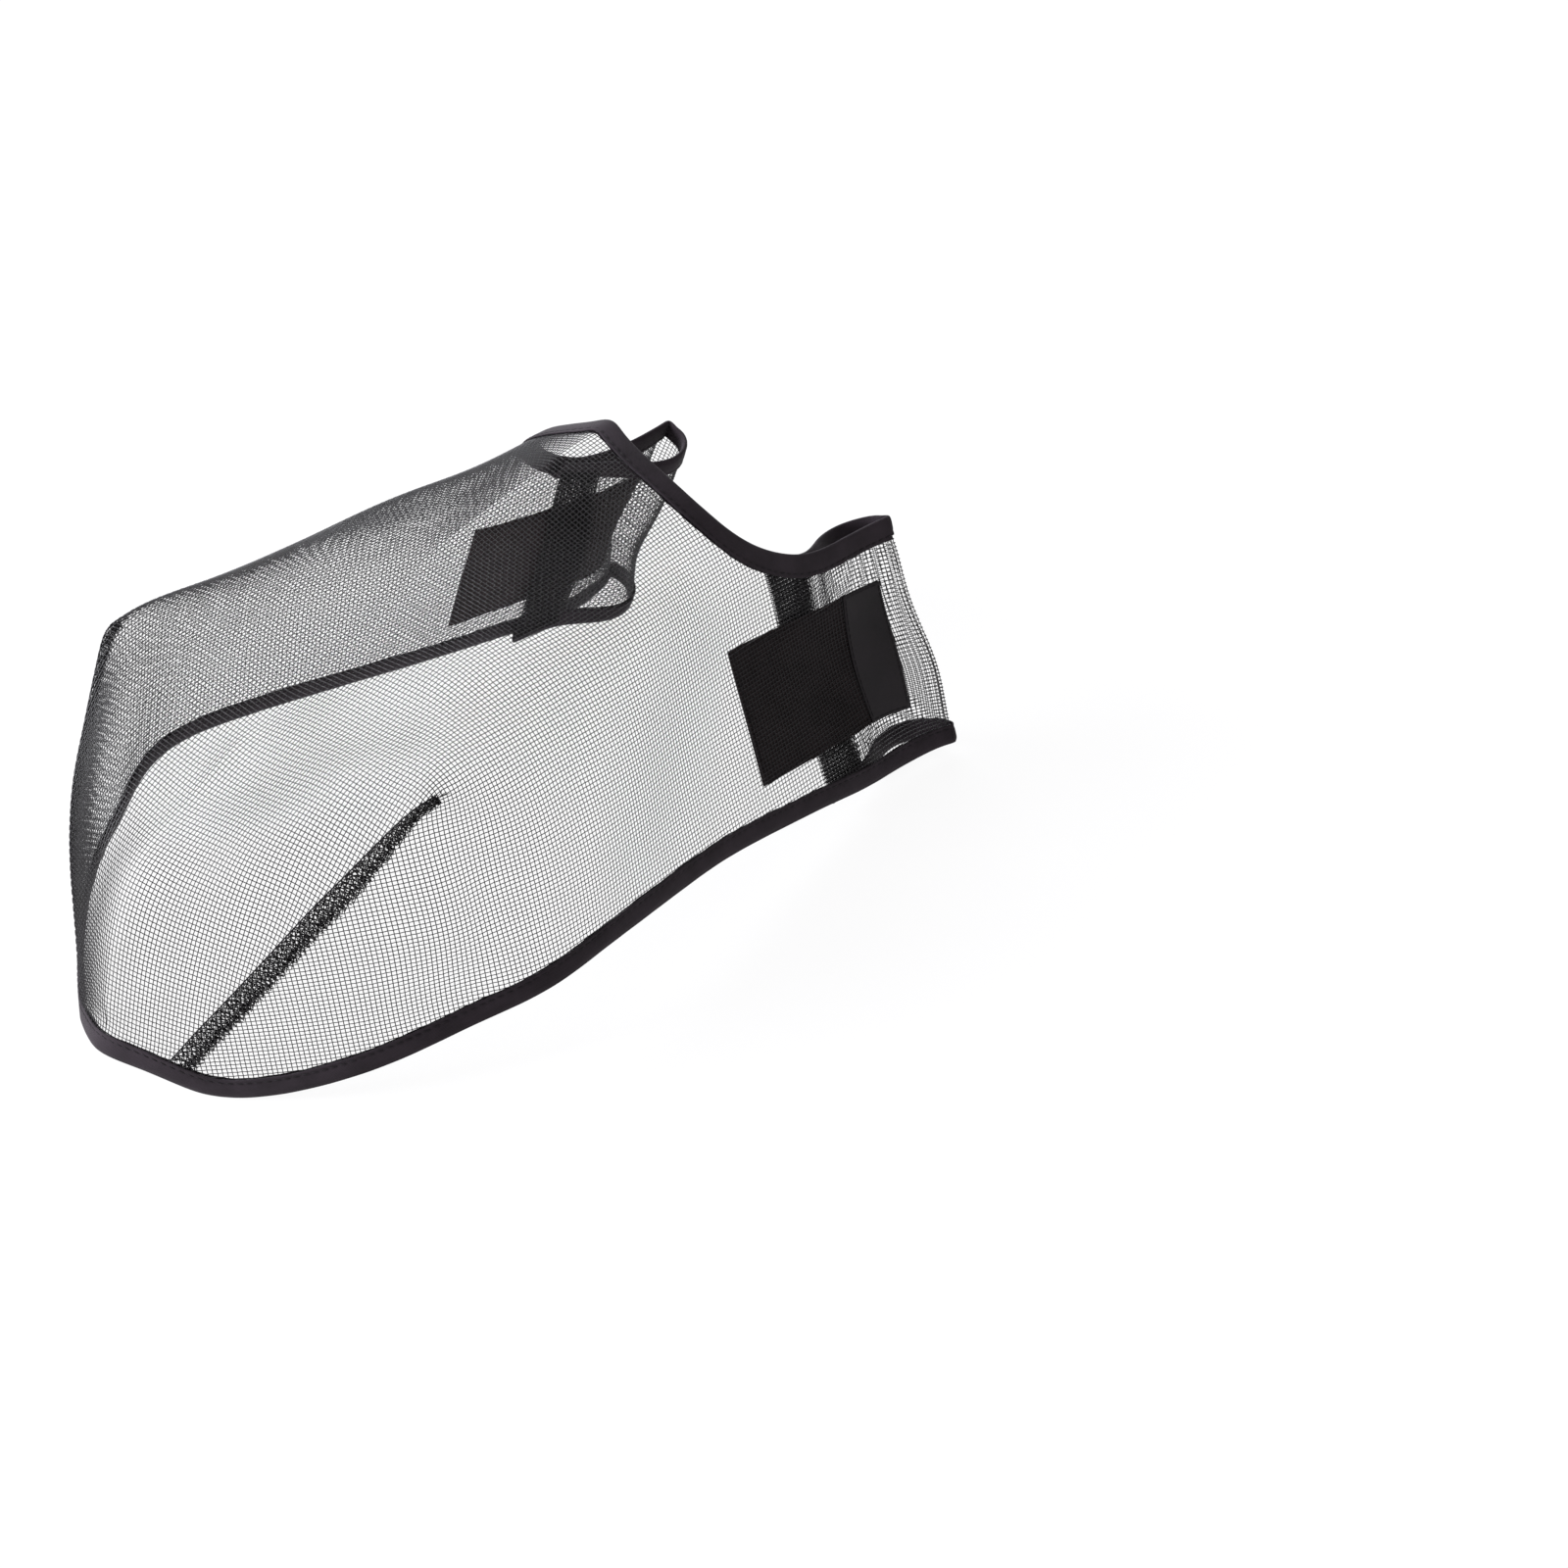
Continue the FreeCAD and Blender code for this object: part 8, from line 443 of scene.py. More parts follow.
NET_FLAP = np.array([
    51.941, 155.141, 80.168, -0.49, -0.853, -0.177, 50.777, 155.93, 79.712, -0.316, -0.958, -0.108, 47.556, 156.843, 78.511, 0.03, -1.088, 0.04,
    42.933, 154.63, 76.893, 0.696, -0.737, 0.32, 39.871, 149.844, 76.141, 0.883, -0.41, 0.281, 38.74, 144.933, 75.995, 0.99, -0.055, 0.248, 39.143,
    139.999, 76.363, 0.953, 0.231, 0.235, 40.617, 135.362, 77.085, 0.883, 0.412, 0.242, 42.76, 131.015, 78.043, 0.816, 0.522, 0.252, 45.212, 126.856,
    79.183, 0.79, 0.549, 0.271, 47.558, 122.595, 80.478, 0.826, 0.485, 0.304, 49.135, 118.003, 81.802, 0.894, 0.293, 0.359, 49.626, 113.198, 83.322,
    0.915, 0.139, 0.384, 49.268, 108.345, 85.35, 0.921, 0.063, 0.386, 48.508, 103.474, 87.912, 0.92, 0.067, 0.386, 48.003, 100.259, 89.912, 0.912,
    0.12, 0.395, 47.782, 98.673, 91.02, 0.903, 0.152, 0.401, 54.427, 154.999, 75.457, -0.479, -0.834, -0.294, 53.316, 155.798, 75.086, -0.314,
    -0.957, -0.186, 50.12, 156.748, 74.089, 0.027, -1.085, 0.07, 45.263, 154.614, 72.69, 0.587, -0.75, 0.456, 41.536, 149.876, 71.964, 0.779, -0.499,
    0.44, 39.959, 144.989, 71.781, 0.958, -0.115, 0.368, 40.219, 140.054, 72.06, 0.946, 0.231, 0.276, 41.808, 135.396, 72.67, 0.871, 0.439, 0.239,
    44.209, 131.007, 73.487, 0.801, 0.55, 0.24, 46.956, 126.823, 74.494, 0.771, 0.579, 0.273, 49.63, 122.433, 75.544, 0.81, 0.506, 0.328, 51.466,
    117.773, 76.543, 0.873, 0.317, 0.426, 52.018, 112.986, 77.799, 0.889, 0.134, 0.475, 51.482, 108.112, 79.666, 0.892, 0.056, 0.465, 50.628,
    103.245, 82.533, 0.936, 0.061, 0.352, 50.215, 100.027, 84.55, 0.934, 0.126, 0.341, 50.094, 98.457, 85.682, 0.931, 0.162, 0.333, 59.135, 154.177,
    65.321, -0.623, -0.806, -0.025, 58.119, 154.995, 65.02, -0.416, -0.948, 0.036, 55.009, 156.029, 64.175, -0.008, -1.063, 0.109, 49.916, 154.146,
    62.895, 0.611, -0.833, 0.175, 45.285, 149.573, 62.077, 0.787, -0.637, 0.207, 43.095, 144.811, 61.802, 0.986, -0.21, 0.285, 43.122, 139.939,
    61.978, 0.955, 0.204, 0.289, 44.591, 135.292, 62.49, 0.885, 0.427, 0.237, 46.974, 130.863, 63.236, 0.825, 0.554, 0.16, 49.857, 126.644, 64.073,
    0.809, 0.594, 0.087, 52.698, 122.098, 65.311, 0.881, 0.502, 0.041, 54.885, 117.295, 66.79, 0.968, 0.352, -0.008, 56.03, 112.526, 68.238, 1.023,
    0.135, 0.027, 56.214, 107.838, 69.739, 1.011, -0.022, 0.138, 55.6, 103.074, 71.406, 0.963, -0.077, 0.29, 54.886, 99.849, 73.045, 0.955, -0.035,
    0.324, 54.567, 98.222, 74.029, 0.953, 0.002, 0.325, 66.155, 152.278, 50.026, -0.543, -0.76, -0.377, 65.189, 153.171, 49.66, -0.399, -0.92,
    -0.236, 62.217, 154.425, 48.597, -0.08, -1.083, 0.063, 57.067, 152.831, 46.906, 0.477, -0.812, 0.472, 53.011, 148.613, 45.695, 0.622, -0.572,
    0.557, 50.632, 144.083, 45.175, 0.797, -0.328, 0.583, 49.712, 139.359, 45.234, 0.929, -0.028, 0.477, 49.991, 134.768, 45.745, 0.93, 0.215, 0.35,
    51.136, 130.349, 46.562, 0.9, 0.367, 0.273, 52.832, 126.036, 47.557, 0.878, 0.432, 0.234, 54.639, 121.63, 48.779, 0.902, 0.39, 0.228, 56.005,
    116.731, 50.021, 0.947, 0.255, 0.24, 56.918, 111.508, 51.313, 0.953, 0.214, 0.235, 57.609, 106.318, 52.876, 0.961, 0.205, 0.223, 58.219, 101.381,
    54.731, 0.966, 0.217, 0.209, 58.694, 98.17, 56.109, 0.953, 0.25, 0.223, 58.955, 96.621, 56.855, 0.944, 0.268, 0.234, 78.015, 150.944, 36.114,
    -0.612, -0.731, -0.323, 77.279, 151.811, 35.646, -0.422, -0.912, -0.205, 74.728, 153.091, 34.268, -0.124, -1.066, -0.02, 69.276, 151.953, 32.047,
    0.503, -0.876, 0.314, 65.384, 147.964, 30.377, 0.645, -0.689, 0.367, 61.505, 143.648, 29.548, 0.692, -0.653, 0.367, 58.063, 139.046, 29.433,
    0.836, -0.48, 0.394, 56.795, 134.513, 29.902, 0.944, 0.015, 0.426, 57.264, 130.084, 30.765, 0.868, 0.316, 0.402, 58.771, 125.775, 31.887, 0.802,
    0.458, 0.39, 60.747, 121.179, 33.082, 0.815, 0.42, 0.408, 62.503, 116.072, 34.133, 0.843, 0.332, 0.437, 63.712, 110.89, 35.109, 0.861, 0.246,
    0.455, 64.436, 105.749, 36.216, 0.874, 0.208, 0.449, 64.904, 100.807, 37.549, 0.881, 0.218, 0.43, 65.298, 97.522, 38.644, 0.878, 0.267, 0.406,
    65.552, 95.931, 39.265, 0.874, 0.296, 0.392, 81.362, 150.921, 20.981, -0.733, -0.69, -0.065, 80.621, 151.796, 20.456, -0.516, -0.901, -0.053,
    78.038, 153.089, 18.951, -0.069, -1.069, -0.025, 72.878, 151.849, 16.644, 0.538, -0.887, 0.034, 68.02, 148.004, 15.003, 0.71, -0.718, -0.012,
    64.82, 143.772, 14.288, 0.892, -0.536, 0.061, 63.286, 139.244, 14.318, 1.017, -0.133, 0.294, 63.551, 134.748, 14.916, 0.899, 0.294, 0.405, 65.08,
    130.317, 15.879, 0.783, 0.464, 0.435, 67.309, 126.022, 17.106, 0.722, 0.54, 0.449, 69.785, 121.279, 18.241, 0.756, 0.451, 0.493, 71.824, 116.189,
    19.183, 0.791, 0.344, 0.528, 72.995, 111.083, 19.959, 0.833, 0.197, 0.538, 73.425, 106.007, 20.709, 0.856, 0.111, 0.519, 73.497, 101.041, 21.583,
    0.875, 0.093, 0.488, 73.583, 97.714, 22.282, 0.883, 0.134, 0.464, 73.69, 96.078, 22.687, 0.884, 0.161, 0.45, 82.893, 151.265, 10.63, -0.617,
    -0.77, -0.172, 82.003, 152.114, 10.206, -0.416, -0.935, -0.118, 79.121, 153.283, 8.997, -0.012, -1.063, -0.013, 73.974, 151.661, 7.161, 0.514,
    -0.881, 0.13, 69.051, 147.581, 5.836, 0.704, -0.714, 0.224, 66.535, 143.158, 5.291, 0.947, -0.316, 0.332, 66.109, 138.523, 5.356, 0.952, 0.124,
    0.34, 67.142, 133.993, 5.871, 0.89, 0.358, 0.295, 69.108, 129.595, 6.689, 0.835, 0.497, 0.255, 71.591, 125.341, 7.667, 0.812, 0.545, 0.231,
    74.123, 120.742, 8.731, 0.858, 0.467, 0.255, 76.06, 115.809, 9.671, 0.92, 0.322, 0.275, 77.127, 110.785, 10.365, 0.956, 0.161, 0.285, 77.555,
    105.758, 10.894, 0.96, 0.07, 0.293, 77.721, 100.768, 11.339, 0.956, 0.051, 0.301, 77.882, 97.431, 11.696, 0.951, 0.092, 0.306, 78.036, 95.781,
    11.903, 0.947, 0.12, 0.307, 84.432, 151.334, 5.536, -0.582, -0.794, -0.176, 83.464, 152.142, 5.227, -0.38, -0.95, -0.11, 80.442, 153.182, 4.329,
    0.019, -1.064, 0.029, 75.239, 151.331, 2.927, 0.543, -0.849, 0.219, 70.636, 147.029, 1.847, 0.71, -0.639, 0.346, 68.304, 142.454, 1.382, 0.891,
    -0.282, 0.431, 67.866, 137.735, 1.396, 0.934, 0.089, 0.39, 68.809, 133.187, 1.772, 0.899, 0.332, 0.309, 70.659, 128.832, 2.388, 0.849, 0.475,
    0.241, 73.012, 124.616, 3.157, 0.828, 0.522, 0.204, 75.456, 120.201, 3.918, 0.865, 0.459, 0.218, 77.313, 115.389, 4.627, 0.931, 0.297, 0.236,
    78.36, 110.383, 5.153, 0.959, 0.157, 0.242, 78.86, 105.338, 5.519, 0.964, 0.082, 0.252, 79.164, 100.317, 5.803, 0.961, 0.075, 0.266, 79.461,
    96.98, 6.014, 0.955, 0.121, 0.274, 79.688, 95.335, 6.142, 0.949, 0.15, 0.277,
]).reshape(8, 17, 6)

NET_HOOK = np.array([
    55.632, 113.336, 62.55, 0.973, 0.199, 0.115, 56.601, 108.213, 63.193, 0.994, 0.068, 0.134, 56.576, 103.131, 63.171, 0.98, 0.044, 0.204, 57.24,
    98.078, 63.512, 0.958, 0.142, 0.249, 56.305, 112.972, 55.36, 0.972, 0.21, 0.145, 57.346, 107.618, 56.032, 0.984, 0.146, 0.159, 57.877, 102.493,
    56.088, 0.973, 0.147, 0.224, 59.031, 97.463, 56.488, 0.94, 0.238, 0.259, 59.999, 112.165, 40.741, 0.895, 0.272, 0.405, 61.407, 106.662, 41.285,
    0.894, 0.235, 0.426, 62.363, 101.698, 41.686, 0.897, 0.227, 0.404, 63.842, 96.702, 42.308, 0.88, 0.308, 0.374, 68.007, 112.171, 27.386, 0.822,
    0.253, 0.507, 69.318, 106.813, 27.94, 0.85, 0.152, 0.508, 69.562, 101.865, 28.296, 0.874, 0.119, 0.477, 70.418, 96.795, 28.918, 0.878, 0.203,
    0.437, 71.599, 112.166, 20.945, 0.854, 0.236, 0.464, 72.755, 106.862, 21.505, 0.883, 0.114, 0.466, 72.79, 101.876, 21.818, 0.896, 0.075, 0.438,
    73.438, 96.771, 22.387, 0.899, 0.16, 0.409,
]).reshape(5, 4, 6)

NET_ENDHEM = np.array([
    51.725, 117.927, 74.716, 0.889, 0.332, 0.316, 52.643, 114.737, 75.586, 0.924, 0.203, 0.355, 52.561, 108.277, 77.634, 0.914, -0.013, 0.413,
    50.973, 101.714, 81.769, 0.94, 0.055, 0.343, 50.595, 98.519, 84.088, 0.93, 0.132, 0.343, 54.479, 117.618, 67.906, 0.937, 0.358, 0.089, 55.642,
    114.395, 68.862, 0.993, 0.227, 0.094, 56.282, 108.131, 70.726, 0.995, -0.079, 0.236, 54.596, 101.647, 73.674, 0.931, -0.057, 0.383, 53.889,
    98.364, 75.956, 0.942, 0.034, 0.348, 54.562, 117.054, 52.598, 0.974, 0.255, 0.147, 55.264, 113.66, 53.516, 0.986, 0.204, 0.135, 56.273, 106.443,
    55.728, 1, 0.203, 0.083, 57.292, 100.013, 58.557, 1.007, 0.208, 0.095, 57.825, 96.902, 60.027, 0.976, 0.234, 0.164, 63.903, 116.227, 30.467,
    0.793, 0.352, 0.525, 65.008, 112.771, 31.082, 0.808, 0.291, 0.549, 66.228, 105.739, 32.162, 0.835, 0.176, 0.563, 66.554, 99.129, 33.916, 0.85,
    0.239, 0.504, 67.077, 95.851, 35.093, 0.848, 0.31, 0.451, 72.775, 116.456, 17.129, 0.822, 0.341, 0.464, 73.911, 113.055, 17.697, 0.855, 0.244,
    0.48, 74.82, 106.189, 18.512, 0.89, 0.053, 0.467, 74.76, 99.546, 19.401, 0.903, 0.074, 0.433, 75.006, 96.211, 19.996, 0.904, 0.131, 0.416,
    75.226, 116.048, 10.437, 0.892, 0.327, 0.313, 76.303, 112.696, 10.93, 0.927, 0.224, 0.323, 77.18, 105.873, 11.563, 0.947, 0.041, 0.325, 77.322,
    99.158, 11.937, 0.943, 0.073, 0.325, 77.702, 95.813, 12.239, 0.937, 0.134, 0.322,
]).reshape(6, 5, 6)

FLAP_TOP_CUT = np.array([
    0, 78.2, 3.02, 78.2, 6.03, 78.2, 9.05, 78.2, 12.07, 78.17, 15.08, 78.11, 18.1, 78.05, 21.12, 77.96, 24.13, 77.87, 27.15, 77.77, 30.17, 77.67,
    33.18, 77.57, 36.2, 77.46, 39.22, 77.32, 42.23, 77.13, 45.25, 76.85, 48.27, 76.46, 51.28, 75.91, 54.3, 75.17, 57.32, 74.19, 60.33, 72.97, 63.35,
    71.51, 66.36, 69.84, 69.38, 67.96,
]).reshape(24, 2)

FLAP_LEN = 69.382
FLAP_LOW_CUT = 159.500
HOOK_S = 53.370
HEM_S = 49.285

CAM_AT = (739.079, -599.269, 684.676)

CAM_AXES = ((0.730988, 0.681366, -0.037369), (-0.368926, 0.440676, 0.818351), (0.574064, -0.584419, 0.573502))


# ---- splines --------------------------------------------------------------------------
def basis(x, kn, n, deg=3):
    x = np.clip(np.asarray(x, float), kn[deg], kn[n] - 1e-9)
    b = [((x >= kn[i]) & (x < kn[i + 1])).astype(float) for i in range(len(kn) - 1)]
    for d in range(1, deg + 1):
        nb = []
        for i in range(len(kn) - 1 - d):
            v = np.zeros(len(x))
            p, q = kn[i + d] - kn[i], kn[i + d + 1] - kn[i + 1]
            if p > 0:
                v = v + (x - kn[i]) / p * b[i]
            if q > 0:
                v = v + (kn[i + d + 1] - x) / q * b[i + 1]
            nb.append(v)
        b = nb
    return np.stack(b[:n], 1)


def clamped(n):
    inner = n - 4
    return np.r_[[0.0] * 4, np.arange(1, inner + 1) / (inner + 1.0), [1.0] * 4]


def through(nodes):
    """the knots of a cubic spline through these nodes, and the inverse of its basis there"""
    kn = np.r_[[nodes[0]] * 4, nodes[2:-2], [nodes[-1]] * 4]
    return kn, np.linalg.inv(basis(nodes, kn, len(nodes)))


class Chart:
    def __init__(self, us, vs, grid):
        self.us, self.vs, self.g = us, vs, grid
        self.ku, self.iu = through(us)
        self.kv, self.iv = through(vs)

    def at(self, u, v):
        u, v = np.atleast_1d(np.asarray(u, float)), np.atleast_1d(np.asarray(v, float))
        out = np.zeros((len(u), 3))
        nu, nv = len(self.us), len(self.vs)
        for a in range(0, len(u), 20000):
            s = slice(a, a + 20000)
            wu = basis(u[s], self.ku, nu) @ self.iu
            wv = basis(v[s], self.kv, nv) @ self.iv
            m = (wu @ self.g.reshape(nu, -1)).reshape(len(wu), nv, 3)
            out[s] = (m * wv[:, :, None]).sum(1)
        return out


CF, CW = Chart(F_U, F_V, CLOTH_F), Chart(W_U, W_V, CLOTH_W)


def unit(a):
    return a / np.maximum(np.linalg.norm(a, axis=-1, keepdims=True), 1e-12)


def cloth(u, v, chart=None):
    """point and outward normal of the cloth at flat coordinates, +X side"""
    u, v = np.atleast_1d(np.asarray(u, float)), np.atleast_1d(np.asarray(v, float))
    w = np.full(len(u), chart == "W") if chart else u > TIP_U
    p, n = np.zeros((len(u), 3)), np.zeros((len(u), 3))
    h = 0.6
    for c, m in ((CF, ~w), (CW, w)):
        if m.any():
            p[m] = c.at(u[m], v[m])
            du = c.at(u[m] + h, v[m]) - c.at(u[m] - h, v[m])
            dv = c.at(u[m], v[m] + h) - c.at(u[m], v[m] - h)
            n[m] = -unit(np.cross(du, dv))
    return p, n


def net_at(net, a, b):
    """point and normal of a control net at parameters a (across) and b (along)"""
    ba, bb = basis(np.atleast_1d(a), clamped(net.shape[0]), net.shape[0]), basis(np.atleast_1d(b), clamped(net.shape[1]), net.shape[1])
    r = np.einsum("qi,ijk,qj->qk", ba, net, bb)
    return r[:, :3], unit(r[:, 3:])


def curve_at(rows, t):
    r = basis(np.atleast_1d(t), clamped(len(rows)), len(rows)) @ rows
    return r


def arc(q):
    return np.r_[0, np.cumsum(np.linalg.norm(np.diff(q, axis=0), axis=1))]


def flip(p):
    return p * np.array([-1.0, 1.0, 1.0])


# ---- mesh building ---------------------------------------------------------------------
def make(name, verts, quads, uv=None, smooth=True, flipped=False):
    verts, quads = np.asarray(verts, float), np.asarray(quads, np.int64)
    if flipped:
        quads = quads[:, ::-1]
    me = bpy.data.meshes.new(name)
    nq = len(quads)
    me.vertices.add(len(verts))
    me.vertices.foreach_set("co", (verts * MM).astype(np.float32).ravel())
    me.loops.add(nq * 4)
    me.loops.foreach_set("vertex_index", quads.astype(np.int32).ravel())
    me.polygons.add(nq)
    me.polygons.foreach_set("loop_start", np.arange(0, nq * 4, 4, dtype=np.int32))
    me.polygons.foreach_set("use_smooth", np.full(nq, smooth))
    if uv is not None:
        layer = me.uv_layers.new(name="weave")
        layer.data.foreach_set("uv", np.asarray(uv, np.float32)[quads.ravel()].ravel())
    me.update()
    me.validate()
    ob = bpy.data.objects.new(name, me)
    bpy.context.scene.collection.objects.link(ob)
    return ob


class Threads:
    """gathers polylines and turns them into one mesh of tubes"""

    def __init__(self):
        self.p, self.n, self.r, self.start = [], [], [], []

    def add(self, p, n, r):
        if len(p) < 2:
            return
        self.start.append(len(p))
        self.p.append(p)
        self.n.append(n)
        self.r.append(np.broadcast_to(np.asarray(r, float), (len(p),)))

    def arrays(self, sides=4, twist=0.0):
        p, n, r = np.concatenate(self.p), np.concatenate(self.n), np.concatenate(self.r)
        ln = np.array(self.start)
        ends = np.cumsum(ln)
        first = np.zeros(len(p), bool)
        last = np.zeros(len(p), bool)
        first[np.r_[0, ends[:-1]]] = True
        last[ends - 1] = True
        nxt = np.where(last, np.arange(len(p)), np.arange(len(p)) + 1)
        prv = np.where(first, np.arange(len(p)), np.arange(len(p)) - 1)
        t = unit(p[nxt] - p[prv])
        b = unit(np.cross(t, n))
        n2 = np.cross(b, t)
        rings = []
        for k in range(sides):
            a = 2 * math.pi * (k + twist) / sides
            rings.append(p + (n2 * math.cos(a) + b * math.sin(a)) * r[:, None])
        v = np.stack(rings, 1).reshape(-1, 3)
        i = np.nonzero(~last)[0]
        k = np.arange(sides)
        a0 = i[:, None] * sides + k
        a1 = i[:, None] * sides + (k + 1) % sides
        q = np.stack([a0, a1, a1 + sides, a0 + sides], -1).reshape(-1, 4)
        return v, q


def tube_mesh(name, threads, sides=4, twist=0.0, mirror=False):
    v, q = threads.arrays(sides, twist)
    if mirror:
        v = flip(v)
    return make(name, v, q, flipped=not mirror)



# ---- hem lines, and how the ridge's crease is pressed flat inside them ------------------------
def stations(rows, step=1.0):
    t = np.linspace(0, 1, 600)
    r = curve_at(rows, t)
    s = arc(r[:, :3])
    g = np.linspace(0, s[-1], max(8, int(s[-1] / step)))
    return np.stack([np.interp(g, s, r[:, k]) for k in range(9)], 1)


def extend(st, length, n=2):
    """carry both ends on in a straight line to the fold"""
    a = [st[0].copy() for _ in range(n)]
    d = unit(st[0, :3] - st[3, :3])
    for i, x in enumerate(a):
        x[:3] += d * length * (n - i) / n
    z = [st[-1].copy() for _ in range(n)]
    d = unit(st[-1, :3] - st[-4, :3])
    for i, x in enumerate(z):
        x[:3] += d * length * (i + 1) / n
    return np.r_[a, st, z]


ST_TOP, ST_LOW = extend(stations(HEM_TOP), 1.5), extend(stations(HEM_LOWER), 1.5)


def nose_edge(u):
    return np.interp(u, NOSE_CUT[:, 0], NOSE_CUT[:, 1])


def top_edge(u):
    return np.interp(u, TOP_CUT[:60, 0], TOP_CUT[:60, 1])


def press_table(st, edge, way, inset=3.0):
    """how far the cloth stands out of the tape's middle, near the ridge"""
    u = np.linspace(0, 16, 33)
    p, n = cloth(u, edge(u) + way * inset, "F")
    q = st[:, :3] + unit(st[:, 3:6]) * inset
    m = unit(st[:, 6:9])
    i = np.array([np.argmin(np.linalg.norm(q - x, axis=1)) for x in p])
    gap = ((p - q[i]) * m[i]).sum(1)
    return u, gap * np.clip((16 - u) / 4, 0, 1)


PRESS = ((press_table(ST_LOW, nose_edge, -1.0), nose_edge, -1.0), (press_table(ST_TOP, top_edge, 1.0), top_edge, 1.0))
print("press", [np.round(x[0][1][::4], 2) for x in PRESS])


def pressed(u, v, p, n):
    for (uu, gap), edge, way in PRESS:
        d = way * (v - edge(u))
        w = np.clip((17.0 - d) / 9.0, 0, 1)
        w = w * w * (3 - 2 * w) * (u < 16)
        p = p - n * (np.interp(u, uu, gap) * w)[:, None]
    return p


# ---- thread lines --------------------------------------------------------------------------
def crossings(poly, axis, value):
    """where a closed flat outline meets the line coordinate[axis] = value"""
    a, b = poly, np.roll(poly, -1, axis=0)
    s, t = a[:, axis] - value, b[:, axis] - value
    m = (s < 0) != (t < 0)
    k = s[m] / (s[m] - t[m])
    o = 1 - axis
    return np.sort(a[m, o] + k * (b[m, o] - a[m, o]))


def spans(poly, axis, value):
    c = crossings(poly, axis, value)
    return [(c[i], c[i + 1]) for i in range(0, len(c) - 1, 2) if c[i + 1] - c[i] > 0.2]


top = TOP_CUT.copy()
REAR_F = np.r_[top[top[:, 0] < TIP_U], [[TIP_U, FOLD_V - 0.01]], [[TIP_U, 0.0]], [[0.0, 0.0]]]
FRONT_F = np.r_[[[0.0, 0.0]], SEAM_F[SEAM_F[:, 1] < 126.0], NOSE_CUT[::-1]]
ALL_F = np.r_[REAR_F[:-1], SEAM_F[(SEAM_F[:, 1] > 0.01) & (SEAM_F[:, 1] < 126.0)], NOSE_CUT[::-1]]
ALL_F[0, 0] = 0.0
ALL_W = np.r_[[[TIP_U, FOLD_V - 0.01]], JAW_CUT, SEAM_W[::-1]]
ALL_F = ALL_F + np.array([[-1e-4, 0]]) * (ALL_F[:, :1] < 1e-3)


def gaps(k):
    """each thread sits a little off its pitch"""
    return 0.030 * math.sin(k * 12.9898 + 3.1) + 0.022 * math.sin(k * 4.1414)


def weave(u, v):
    """slow drift of the weave, so that it isn't ruled"""
    du = 0.10 * np.sin(v / 27.0 + 0.6 * np.sin(u / 23.0)) + 0.025 * np.sin(v / 7.1 + u / 9.0)
    dv = 0.10 * np.sin(u / 25.0 + 1.3 + 0.5 * np.sin(v / 29.0)) + 0.025 * np.sin(u / 6.3 - v / 8.0)
    return u + du, v + dv


def nodes_between(lo, hi, pitch, phase):
    k0, k1 = math.ceil((lo - phase) / pitch - 1e-9), math.floor((hi - phase) / pitch + 1e-9)
    k = np.arange(k0, k1 + 1)
    x = k * pitch + phase
    keep = (x > lo + 0.25 * pitch) & (x < hi - 0.25 * pitch)
    return k[keep], x[keep]


U0, V0 = PITCH_U / 2, 0.0


def thread_table(clip_v):
    """flat runs of thread on the +X half between two values of v"""
    v_lo, v_hi = clip_v
    runs = []
    for k in range(0, 125):
        u = k * PITCH_U + U0 + gaps(k)
        chart = "F" if u < TIP_U else "W"
        for a, b in spans(ALL_F if chart == "F" else ALL_W, 0, u):
            a, b = max(a, v_lo), min(b, v_hi)
            if b - a < 0.3:
                continue
            j, vs = nodes_between(a, b, PITCH_V, V0)
            vs = vs + np.array([gaps(x + 500) for x in j]) if len(j) else vs
            q = np.c_[np.full(len(vs) + 2, u), np.r_[a, vs, b]]
            s = np.r_[0, np.where((k + j) % 2 == 0, 1.0, -1.0), 0]
            runs.append((q, s, chart))
    for j in range(int(v_lo / PITCH_V) - 2, int(v_hi / PITCH_V) + 3):
        v = j * PITCH_V + V0 + gaps(j + 500)
        if not (v_lo <= j * PITCH_V + V0 < v_hi) or v < FOLD_V:
            continue
        whole = []
        if v <= 0:
            f, w = spans(ALL_F, 1, v), spans(ALL_W, 1, v)
            if f and w and abs(f[-1][1] - TIP_U) < 0.6 and abs(w[0][0] - TIP_U) < 0.6:
                whole = f[:-1] + [(f[-1][0], w[0][1])] + w[1:]
            else:
                whole = f + w
            whole = [(a, b, None) for a, b in whole]
        else:
            whole = [(a, b, "F") for a, b in spans(ALL_F, 1, v)] + [(a, b, "W") for a, b in spans(ALL_W, 1, v)]
        for a, b, chart in whole:
            if b - a < 0.3:
                continue
            k, us = nodes_between(a, b, PITCH_U, U0)
            us = us + np.array([gaps(x) for x in k]) if len(k) else us
            q = np.c_[np.r_[a, us, b], np.full(len(us) + 2, v)]
            s = np.r_[0, np.where((k + j) % 2 == 0, -1.0, 1.0), 0]
            runs.append((q, s, chart))
    return runs


